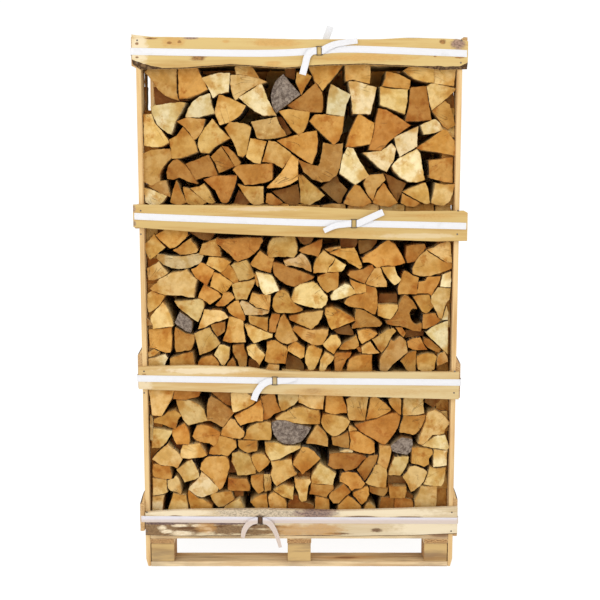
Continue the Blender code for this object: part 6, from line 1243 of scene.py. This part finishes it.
def hang_boards():
    pale, straw = paint(0.88, 0.76, 0.55), paint(0.80, 0.64, 0.42)
    ends = sawn_end("board_ends", paint(0.80, 0.66, 0.46), paint(0.66, 0.50, 0.33))
    skin = bark("board_bark", (0.30, 0.21, 0.13), (0.48, 0.37, 0.25), 0.1)
    wanes = ((0.004, 0.0), (0.0, 0.0), (0.0, 0.0), (tuple(in_metres(TOP_BOARD_WANE)), 0.0))
    for i, (lower, upper) in enumerate(FRONT_BOARDS):
        node = "front_board_%d" % (i + 1)
        low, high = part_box(node)
        light, dark = BOARD_SRGB[i]
        face = sawn_wood("front_board_wood_%d" % (i + 1), paint(*light), paint(*dark), 0, 0.4, 0.0, BOARD_MARKS[i])
        piece = plank("board_front_%d" % (i + 1), 0, (low.x, high.x), low.y, high.y,
                      in_metres(lower), in_metres(upper), (face, ends, skin), 0.0012, wanes[i], 3.0 + i)
        dress(piece, "boards", node)
    rear_face = sawn_wood("rear_board_wood", pale, straw, 0, 0.8, 0.1)
    for i in range(4):
        node = "rear_board_%d" % (i + 1)
        low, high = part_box(node)
        lower = ((low.x, low.z + 0.004), (0.0, low.z), (high.x, low.z + 0.002))
        upper = ((low.x, high.z - 0.003), (0.0, high.z), (high.x, high.z - 0.006))
        piece = plank("board_rear_%d" % (i + 1), 0, (low.x, high.x), high.y, low.y, lower, upper,
                      (rear_face, ends, skin), 0.0015, (0.0, 0.004), 20.0 + i)
        dress(piece, "boards", node)
    side_face = sawn_wood("side_board_wood", pale, straw, 1, 0.8, 0.1)
    for side in ("left", "right"):
        for i in range(4):
            node = "side_board_%s_%d" % (side, i + 1)
            low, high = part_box(node)
            wander = LIVE_EDGE if i < 2 else STRAIGHT_EDGE
            ridge = high.z - max(wander) * CM
            step = (high.y - low.y) / (len(wander) - 1)
            upper = [(low.y + k * step, ridge + rise * CM) for k, rise in enumerate(wander)]
            lower = ((low.y, low.z), (0.0, low.z + 0.003), (high.y, low.z))
            near, far = (low.x, high.x) if side == "left" else (high.x, low.x)
            piece = plank("board_side_%s_%d" % (side, i + 1), 1, (low.y, high.y), near, far, lower, upper,
                          (side_face, ends, skin), 0.0015, (0.0, 0.012 if i < 2 else 0.0), 30.0 + i)
            dress(piece, "boards", node)


def stand_posts():
    ends = sawn_end("post_ends", paint(0.76, 0.61, 0.42), paint(0.62, 0.46, 0.30))
    face = sawn_wood("post_wood", paint(0.87, 0.74, 0.53), paint(0.77, 0.60, 0.38), 2, 0.4, 0.12)
    for side in ("left", "right"):
        for i, place in enumerate(("front", "middle", "rear")):
            node = "post_%s_%s" % (side, place)
            low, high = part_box(node)
            piece = timber("plank_post_%s_%s" % (side, place), low, high, 2, (face, ends), 0.0014,
                           seed=50.0 + i + (10 if side == "left" else 0), foot=0.009)
            dress(piece, "posts", node)


def lay_pallet():
    light, dark = paint(0.90, 0.80, 0.63), paint(0.75, 0.62, 0.45)
    ends = sawn_end("pallet_ends", paint(0.76, 0.60, 0.40), paint(0.55, 0.40, 0.26))
    wood = {0: sawn_wood("pallet_wood_across", light, dark, 0, 0.7, 0.45),
            1: sawn_wood("pallet_wood_deep", light, dark, 1, 0.7, 0.45)}
    block = sawn_wood("pallet_block_wood", paint(0.78, 0.65, 0.43), paint(0.60, 0.46, 0.29), 0, 0.7, 0.5)
    count = 0
    for node in sorted(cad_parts):
        if node.startswith(("bottom_board_", "block_", "stringer_", "deck_board_")):
            run = 1 if node.startswith("stringer_") else 0
            low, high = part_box(node)
            count += 1
            look = block if node.startswith("block_") else wood[run]
            piece = timber("pallet_" + node, low, high, run, (look, ends), 0.0022, 0.02, 70.0 + count)
            dress(piece, "pallet", node)


STRAP_HALF_WIDTH = 0.0125
STRAP_THICK = 0.0009
FOLD_INSIDE = 0.0022
# Straps: the middle of the strap along the front, left to right; the x of its buckle; then the two tails,
# from where they fold back at the buckle to their tips. x from the middle and z, in cm.
STRAPS = (
    (((-61.7, 20.1), (-15.0, 19.7), (61.7, 19.4)), -15.1,
     ((-18.6, 19.0), (-20.4, 17.4), (-21.5, 15.2), (-21.9, 12.9)),
     ((-11.8, 18.8), (-10.2, 16.9), (-8.7, 13.8), (-7.3, 9.0))),
    (((-61.7, 75.7), (-9.3, 74.8), (61.7, 74.1)), -9.3,
     ((-12.2, 74.4), (-14.4, 72.9), (-16.3, 70.2), (-17.3, 67.4)),
     ((-4.5, 75.0), (-1.0, 75.6))),
    (((-61.9, 137.3), (-37.0, 136.3), (0.0, 135.0), (38.0, 134.2), (62.8, 133.6)), 20.4,
     ((16.6, 134.3), (13.2, 133.7), (9.2, 131.9)),
     ((24.4, 135.8), (31.2, 138.9))),
    (((-61.7, 197.3), (-14.3, 196.6), (7.3, 197.5), (20.0, 198.1), (61.7, 196.5)), 7.3,
     ((4.9, 197.3), (3.6, 196.4), (2.8, 195.0), (2.2, 192.5), (1.2, 188.9)),
     ((10.4, 198.7), (14.0, 200.0), (21.2, 200.9))),
)
BUCKLE_SIZE = (0.0272, 0.034)
# The strap end tucked behind the top board, standing up over it: x and z in cm.
LOOSE_END = ((9.2, 198.5), (9.9, 202.2), (10.8, 204.6), (11.4, 206.4))
LOOSE_END_BEHIND = 0.3970

# How the tip of each tail hangs: how far it lifts, how far it leans about its run, and how wide it looks.
LOW_TIPS = ((0.005, 0.36, 0.62), (0.005, 0.20, 1.0), (0.004, 0.15, 0.75), (0.005, 0.10, 1.0))
HIGH_TIPS = ((0.005, -0.36, 0.55), (0.003, 0.30, 0.35), (0.005, -0.15, 1.0), (0.004, -0.32, 0.75))


def woven_strap(name="woven_strap", white=(0.91, 0.905, 0.91), shaded_below=None):
    """White woven polyester, its cords running along the strap. The third argument, where given, is the height under
    which its tails take a painted shade of darker beige, and the colour of that painted shade."""
    mix = Recipe(name)
    weave = mix.attribute("weave", "Vector")
    across, run, side = mix.split(weave)
    cords = (across * (2 * math.pi / 0.0016)).sine()
    picks = (run * (2 * math.pi / 0.0022)).sine()
    place = mix.place()
    soil = mix.ease(mix.grain(place, 16.0, 4.0, 0.6), 0.56, 0.76)
    colour = mix.blend(soil * 0.35, paint(*white), paint(0.80, 0.79, 0.76))
    if shaded_below:
        x, y, z = mix.split(place)
        # Painted shade: the tails darken to beige below the given height, where they hang away from the board.
        colour = mix.blend(mix.ease(z, shaded_below[0] + 0.004, shaded_below[0] - 0.012) * 0.8, colour, paint(*shaded_below[1]))
    lines = mix.ease(abs(across), 0.0082, 0.0092) - mix.ease(abs(across), 0.0098, 0.0108)
    colour = mix.blend(lines * 0.25, colour, paint(0.80, 0.81, 0.82))
    return mix.finish(colour, 0.42 + soil * 0.2, cords * 0.6 + picks * 0.3, 0.0003)


def smooth_path(points, step):
    """A smooth curve through the points, as even steps: each point is place plus any extra numbers."""
    made = []
    last = len(points) - 1
    for i in range(last):
        p0, p1 = points[max(i - 1, 0)], points[i]
        p2, p3 = points[i + 1], points[min(i + 2, last)]
        span = math.dist(p1[:3], p2[:3])
        parts = max(1, round(span / step))
        for k in range(parts):
            t = k / parts
            made.append(tuple(
                0.5 * (2 * b + (c - a) * t + (2 * a - 5 * b + 4 * c - d) * t * t
                       + (3 * b - a - 3 * c + d) * t ** 3)
                for a, b, c, d in zip(p0, p1, p2, p3)))
    made.append(tuple(points[last]))
    return made


def ribbon(name, stations, material, columns=4):
    """A flat woven band. Each station is its middle, the direction across it, its outward normal and width."""
    corners, faces, weave = [], [], []
    t = STRAP_THICK / 2
    run = 0.0
    ring = 2 * (columns + 1)
    for i, (middle, across, outward, wide) in enumerate(stations):
        w = STRAP_HALF_WIDTH * wide
        if i:
            run += (middle - stations[i - 1][0]).length
        for side, order in ((1, range(columns + 1)), (-1, range(columns, -1, -1))):
            for k in order:
                share = 2.0 * k / columns - 1.0
                corners.append(middle + across * (share * w) + outward * (side * t * (1 - 0.4 * share ** 4)))
                weave.append((share * w, run, float(side)))
    for i in range(len(stations) - 1):
        a, b = ring * i, ring * (i + 1)
        for k in range(ring):
            n = (k + 1) % ring
            faces.append((a + k, b + k, b + n, a + n))
    faces.append(tuple(range(ring)))
    faces.append(tuple(range(ring * (len(stations) - 1), ring * len(stations)))[::-1])
    mesh = bpy.data.meshes.new(name)
    mesh.from_pydata(corners, [], faces)
    layer = mesh.attributes.new("weave", "FLOAT_VECTOR", "POINT")
    layer.data.foreach_set("vector", [x for v in weave for x in v])
    mesh.materials.append(material)
    return add_piece(name, mesh)


def stations_on_front(points, way, step=0.004):
    """Stations of a band on the front, from (x, y, z, lean, width) points. way is 1 where the band's inner
    face looks out, on a tail, and -1 where it lies on the boards."""
    path = smooth_path(points, step)
    made = []
    for i, p in enumerate(path):
        a, b = Vector(path[max(i - 1, 0)][:3]), Vector(path[min(i + 1, len(path) - 1)][:3])
        tangent = (b - a).normalized()
        across = Vector((-tangent.z, 0.0, tangent.x)).normalized() * way
        turned = across * math.cos(p[3]) + across.cross(tangent) * math.sin(p[3])
        made.append((Vector(p[:3]), turned, turned.cross(tangent).normalized(), p[4]))
    return made


def fold(x, z, towards, middle):
    """Stations round a side bar of a buckle, from the tail on top back to the strap under it."""
    radius = FOLD_INSIDE + STRAP_THICK / 2
    made = []
    for k in range(9):
        turn = math.radians(22.5 * k - 90.0)
        out = Vector((towards * math.cos(turn), math.sin(turn), 0.0))
        made.append((Vector((x, middle, z)) + out * radius, Vector((0, 0, 1)), -out, 1.0))
    return made


def wrap_round(left, right, rear, face, z_left, z_right):
    """Stations from the front's left edge, round the back, to the front's right edge."""
    bend = 0.010
    made = []
    up = Vector((0, 0, 1))
    for i, (x, y, z) in enumerate(((left, -face, z_left), (-rear, face, z_left),
                                   (rear, face, z_right), (right, -face, z_right))):
        middle = Vector((x - math.copysign(bend, x), y - math.copysign(bend, y), z))
        for k in range(5):
            turn = math.radians(-90.0 - 90.0 * i - 22.5 * k)
            out = Vector((math.cos(turn), math.sin(turn), 0.0))
            if made and k == 0:
                start = made[-1]
                parts = int((middle + out * bend - start[0]).length / 0.05)
                made += [(start[0].lerp(middle + out * bend, j / parts), up, out, 1.0) for j in range(1, parts)]
            made.append((middle + out * bend, up, out, 1.0))
    return made


def tail_points(root, tail, tip, y):
    """A tail from its fold to its tip, lifting and leaning bit by bit."""
    lift, lean, wide = tip
    made = [(root[0], y, root[1], 0.0, 1.0)]
    for k, (x, z) in enumerate(tail):
        share = ((k + 1) / len(tail)) ** 1.5
        made.append((x * CM, y - lift * share, z * CM, lean * share, 1.0 + (wide - 1.0) * share))
    return made


def tie_straps():
    cloth = woven_strap()
    # Strap 1 has its low tails darkened as painted shade.
    lowest = woven_strap("shaded_below_strap", (0.88, 0.86, 0.885), (0.203, (0.83, 0.745, 0.67)))
    steel = buckle_wire()
    half = STRAP_THICK / 2
    back = -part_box("front_board_4")[0].y + 0.0005
    face = back + half
    middle = -(back + STRAP_THICK + FOLD_INSIDE)
    over = middle - FOLD_INSIDE - half
    bar = (BUCKLE_SIZE[0] - 0.0022) / 2
    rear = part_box("rear_board_1")[1].x + 0.0005 + half
    for i, (line, buckle, low_tail, high_tail) in enumerate(STRAPS):
        number = i + 1
        line = in_metres(line)
        left_bar, right_bar = buckle * CM - bar, buckle * CM + bar
        left_root, right_root = (left_bar, along(line, left_bar)), (right_bar, along(line, right_bar))
        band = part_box("strap_%d" % number)
        left, right = min(-rear, line[0][0] - 0.0005 - half), max(rear, line[-1][0] + 0.0005 + half)

        def on_front(places):
            return [(x, -face, along(line, x), 0.0, 1.0) for x in places]

        stations = stations_on_front(tail_points(left_root, low_tail, LOW_TIPS[i], over)[::-1], 1)[:-1]
        stations += fold(*left_root, 1, middle)
        turns = [x for x, _ in reversed(line)]
        stations += stations_on_front(on_front([left_bar] + [x for x in turns[:-1] if x < left_bar - 0.02]
                                               + [left + 0.011]), -1, 0.03)[1:-1]
        stations += wrap_round(left, right, rear, face, line[0][1], line[-1][1])
        stations += stations_on_front(on_front([right - 0.011] + [x for x in turns[1:] if x > right_bar + 0.02]
                                               + [right_bar]), -1, 0.03)[1:-1]
        stations += fold(*right_root, -1, middle)[::-1]
        stations += stations_on_front(tail_points(right_root, high_tail, HIGH_TIPS[i], over), 1)[1:]
        dress(ribbon("strap_band_%d" % number, stations, lowest if number == 1 else cloth),
              "strap", "strap_%d" % number)
        low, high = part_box("buckle_%d" % number)
        dress(wire_buckle("wire_buckle_%d" % number, (low + high) / 2, steel), "buckle", "buckle_%d" % number)
    loose = [(x * CM, -LOOSE_END_BEHIND, z * CM, 0.0, 1.0) for x, z in LOOSE_END]
    # Painted shade: the loose tip takes a greyer white than the straps on the boards.
    shaded_tip = woven_strap("shaded_tip_strap", (0.89, 0.89, 0.895))
    dress(ribbon("strap_loose_tip", stations_on_front(loose, 1), shaded_tip), "strap", "strap_loose_end")


# Wire buckles, bent from galvanised wire: radius of the wire and of the frame's corners.
WIRE = 0.0015
BUCKLE_CORNER = 0.0045
BUCKLE_BARS = 0.0088


def buckle_wire():
    mix = Recipe("galvanised_wire")
    place = mix.place()
    patchy = mix.grain(place, 320.0, 4.0, 0.7)
    colour = mix.blend(mix.ease(patchy, 0.42, 0.62), paint(0.34, 0.29, 0.25), paint(0.50, 0.45, 0.40))
    return mix.finish(colour, 0.38 + patchy * 0.25, patchy, 0.0002, metallic=0.8)


class Tree:
    """A Geometry Nodes tree under construction."""

    def __init__(self, name, inputs):
        self.group = bpy.data.node_groups.new(name, "GeometryNodeTree")
        self.sockets = {}
        self.group.interface.new_socket("Geometry", in_out="INPUT", socket_type="NodeSocketGeometry")
        for label, kind in inputs:
            made = self.group.interface.new_socket(label, in_out="INPUT", socket_type=kind)
            self.sockets[label] = made.identifier
        self.group.interface.new_socket("Geometry", in_out="OUTPUT", socket_type="NodeSocketGeometry")
        self.start = self.group.nodes.new("NodeGroupInput")

    def add(self, kind, settings=None, values=None, out=0):
        node = self.group.nodes.new(kind)
        for key, value in (settings or {}).items():
            setattr(node, key, value)
        for key, value in (values or {}).items():
            for one in value if isinstance(value, list) else [value]:
                if isinstance(one, bpy.types.NodeSocket):
                    self.group.links.new(one, node.inputs[key])
                else:
                    node.inputs[key].default_value = one
        return node.outputs[out]

    def given(self, label):
        return self.start.outputs[label]

    def close(self, geometry, material):
        solid = self.add("GeometryNodeRealizeInstances", values={0: geometry})
        solid = self.add("GeometryNodeSetMaterial", values={0: solid, "Material": material})
        end = self.group.nodes.new("NodeGroupOutput")
        self.group.links.new(solid, end.inputs[0])


def grow(name, tree, mesh, values):
    """Run a tree on a mesh and keep the result as a plain mesh piece."""
    seedling = bpy.data.objects.new(name + "_start", mesh)
    bpy.context.scene.collection.objects.link(seedling)
    modifier = seedling.modifiers.new("grow", "NODES")
    modifier.node_group = tree.group
    for label, value in values.items():
        modifier[tree.sockets[label]] = value
    depsgraph = bpy.context.evaluated_depsgraph_get()
    grown = bpy.data.meshes.new_from_object(seedling.evaluated_get(depsgraph))
    bpy.data.objects.remove(seedling, do_unlink=True)
    return add_piece(name, grown)


def points_mesh(name, points):
    mesh = bpy.data.meshes.new(name)
    mesh.from_pydata(points, [], [])
    return mesh


def wire_tree(material):
    """A rounded frame of wire with two inner bars, upright and facing the front, at each point."""
    tree = Tree("wire_buckle", (("Width", "NodeSocketFloat"), ("Height", "NodeSocketFloat"),
                                ("Wire Radius", "NodeSocketFloat"), ("Corner", "NodeSocketFloat"),
                                ("Bars", "NodeSocketFloat")))
    frame_line = tree.add("GeometryNodeCurvePrimitiveQuadrilateral",
                          values={"Width": tree.given("Width"), "Height": tree.given("Height")})
    bent = tree.add("GeometryNodeFilletCurve", {"mode": "POLY"},
                    {"Curve": frame_line, "Radius": tree.given("Corner"), "Count": 5})
    profile = tree.add("GeometryNodeCurvePrimitiveCircle", values={"Resolution": 10, "Radius": tree.given("Wire Radius")})
    half = tree.add("ShaderNodeMath", {"operation": "MULTIPLY"}, {0: tree.given("Height"), 1: 0.5})
    down = tree.add("ShaderNodeMath", {"operation": "MULTIPLY"}, {0: tree.given("Height"), 1: -0.5})
    wires = [tree.add("GeometryNodeCurveToMesh", values={"Curve": bent, "Profile Curve": profile})]
    for way in (-1.0, 1.0):
        place = tree.add("ShaderNodeMath", {"operation": "MULTIPLY"}, {0: tree.given("Bars"), 1: way})
        bar = tree.add("GeometryNodeCurvePrimitiveLine", values={
            "Start": tree.add("ShaderNodeCombineXYZ", values={0: place, 1: down}),
            "End": tree.add("ShaderNodeCombineXYZ", values={0: place, 1: half})})
        wires.append(tree.add("GeometryNodeCurveToMesh", values={
            "Curve": bar, "Profile Curve": profile, "Fill Caps": True}))
    frame_wire = tree.add("GeometryNodeJoinGeometry", values={0: wires})
    set_up = tree.add("GeometryNodeInstanceOnPoints", values={
        "Points": tree.given("Geometry"), "Instance": frame_wire, "Rotation": (math.pi / 2, 0.0, 0.0)})
    tree.close(set_up, material)
    return tree


def wire_buckle(name, place, material):
    tree = wire_tree(material)
    start = points_mesh(name, [place])
    return grow(name, tree, start, {"Width": BUCKLE_SIZE[0] - 2 * WIRE, "Height": BUCKLE_SIZE[1] - 2 * WIRE,
                                    "Wire Radius": WIRE, "Corner": BUCKLE_CORNER,
                                    "Bars": BUCKLE_BARS})


def nail_tree(material):
    """A round nail head, pressed a little into the wood, at each point, turned by the Turn input."""
    tree = Tree("nail_heads", (("Head Radius", "NodeSocketFloat"), ("Head Height", "NodeSocketFloat"),
                               ("Turn", "NodeSocketVector")))
    head = tree.add("GeometryNodeMeshCylinder", values={
        "Vertices": 12, "Radius": tree.given("Head Radius"), "Depth": tree.given("Head Height")})
    placed = tree.add("GeometryNodeInstanceOnPoints", values={
        "Points": tree.given("Geometry"), "Instance": head, "Rotation": tree.given("Turn")})
    tree.close(placed, material)
    return tree


def drive_nails():
    """Nail heads through the boards into the posts."""
    mix = Recipe("nail_steel")
    rust = mix.grain(mix.place(), 260.0, 4.0, 0.7)
    colour = mix.blend(mix.ease(rust, 0.40, 0.62), paint(0.36, 0.30, 0.26), paint(0.55, 0.52, 0.49))
    steel = mix.finish(colour, 0.45 + rust * 0.3, rust, 0.0002, metallic=1.0)
    tree = nail_tree(steel)
    height = 0.0012
    for name, boards, sign in (("nails_front", "front_board_%d", -1.0), ("nails_rear", "rear_board_%d", 1.0)):
        places = []
        for i in range(4):
            low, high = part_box(boards % (i + 1))
            middle, tall = (low.z + high.z) / 2, (high.z - low.z)
            face = low.y if sign < 0 else high.y
            for x in (-0.591, 0.591):
                for share in (-0.30, 0.33):
                    places.append((x + 0.002 * share, face - sign * (height / 2 - 0.0003), middle + share * tall))
        piece = grow(name, tree, points_mesh(name, places), {
            "Head Radius": 0.0033, "Head Height": height, "Turn": (math.pi / 2, 0.0, 0.0)})
        dress(piece, "buckle")
    for name, side, sign in (("nails_left", "left", -1.0), ("nails_right", "right", 1.0)):
        places = []
        for i in range(4):
            low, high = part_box("side_board_%s_%d" % (side, i + 1))
            face = low.x if sign < 0 else high.x
            for y in (-0.362, -0.330, -0.012, 0.020, 0.335, 0.368):
                for share in (0.25, 0.62):
                    places.append((face - sign * (height / 2 - 0.0003), y, low.z + share * 0.09))
        piece = grow(name, tree, points_mesh(name, places), {
            "Head Radius": 0.0033, "Head Height": height, "Turn": (0.0, math.pi / 2, 0.0)})
        dress(piece, "buckle")


def set_stage():
    """Pale floor, soft lights and the camera where the photographer stood."""
    mix = Recipe("studio_floor")
    speck = mix.grain(mix.place(), 6.0, 2.0)
    floor_look = mix.finish(mix.tone(paint(0.40, 0.40, 0.40), 0.985 + speck * 0.03), 0.9, glow=0.92)
    size = 300.0
    mesh = bpy.data.meshes.new("studio_floor")
    mesh.from_pydata([(-size, -size, 0), (size, -size, 0), (size, size, 0), (-size, size, 0)], [], [(0, 1, 2, 3)])
    mesh.materials.append(floor_look)
    floor = add_piece("studio_floor", mesh)
    floor.location.z = -0.0005
    world = bpy.data.worlds.new("studio_air")
    world.use_nodes = True
    air = world.node_tree.nodes["Background"]
    air.inputs["Color"].default_value = (1.0, 1.0, 1.0, 1.0)
    air.inputs["Strength"].default_value = 1.05
    bpy.context.scene.world = world
    for name, place, aim, width, power in (
            ("softbox_left", (-2.6, -4.2, 3.4), (0.0, 0.0, 1.0), 2.4, 55.0),
            ("softbox_right", (3.0, -4.6, 2.2), (0.0, 0.0, 1.0), 2.6, 25.0)):
        lamp = bpy.data.lights.new(name, "AREA")
        lamp.size, lamp.energy = width, power
        light = bpy.data.objects.new(name, lamp)
        light.location = place
        light.rotation_euler = (Vector(aim) - Vector(place)).to_track_quat("-Z", "Y").to_euler()
        bpy.context.scene.collection.objects.link(light)
    lens = bpy.data.cameras.new("camera")
    lens.sensor_width = 36.0
    lens.lens = 36.0 * CAMERA_FOCAL_PX / IMAGE_PX
    lens.shift_x = (IMAGE_PX / 2 - CAMERA_MIDDLE_PX) / IMAGE_PX
    camera = bpy.data.objects.new("camera", lens)
    camera.location = (0.0, FIRST_ROW_FRONT - CAMERA_DISTANCE, CAMERA_HEIGHT)
    camera.rotation_euler = (math.radians(90.0 - CAMERA_TILT), 0.0, 0.0)
    bpy.context.scene.collection.objects.link(camera)
    bpy.context.scene.camera = camera
    bpy.context.scene.view_settings.view_transform = "Standard"


# Camera, worked out from the crate's edges in the photograph.
IMAGE_PX = 600
CAMERA_FOCAL_PX = 1008
CAMERA_MIDDLE_PX = 299.2
CAMERA_DISTANCE = 3.8
CAMERA_HEIGHT = 1.559
CAMERA_TILT = 7.58


stack_wood()
hang_boards()
stand_posts()
lay_pallet()
tie_straps()
drive_nails()
set_stage()
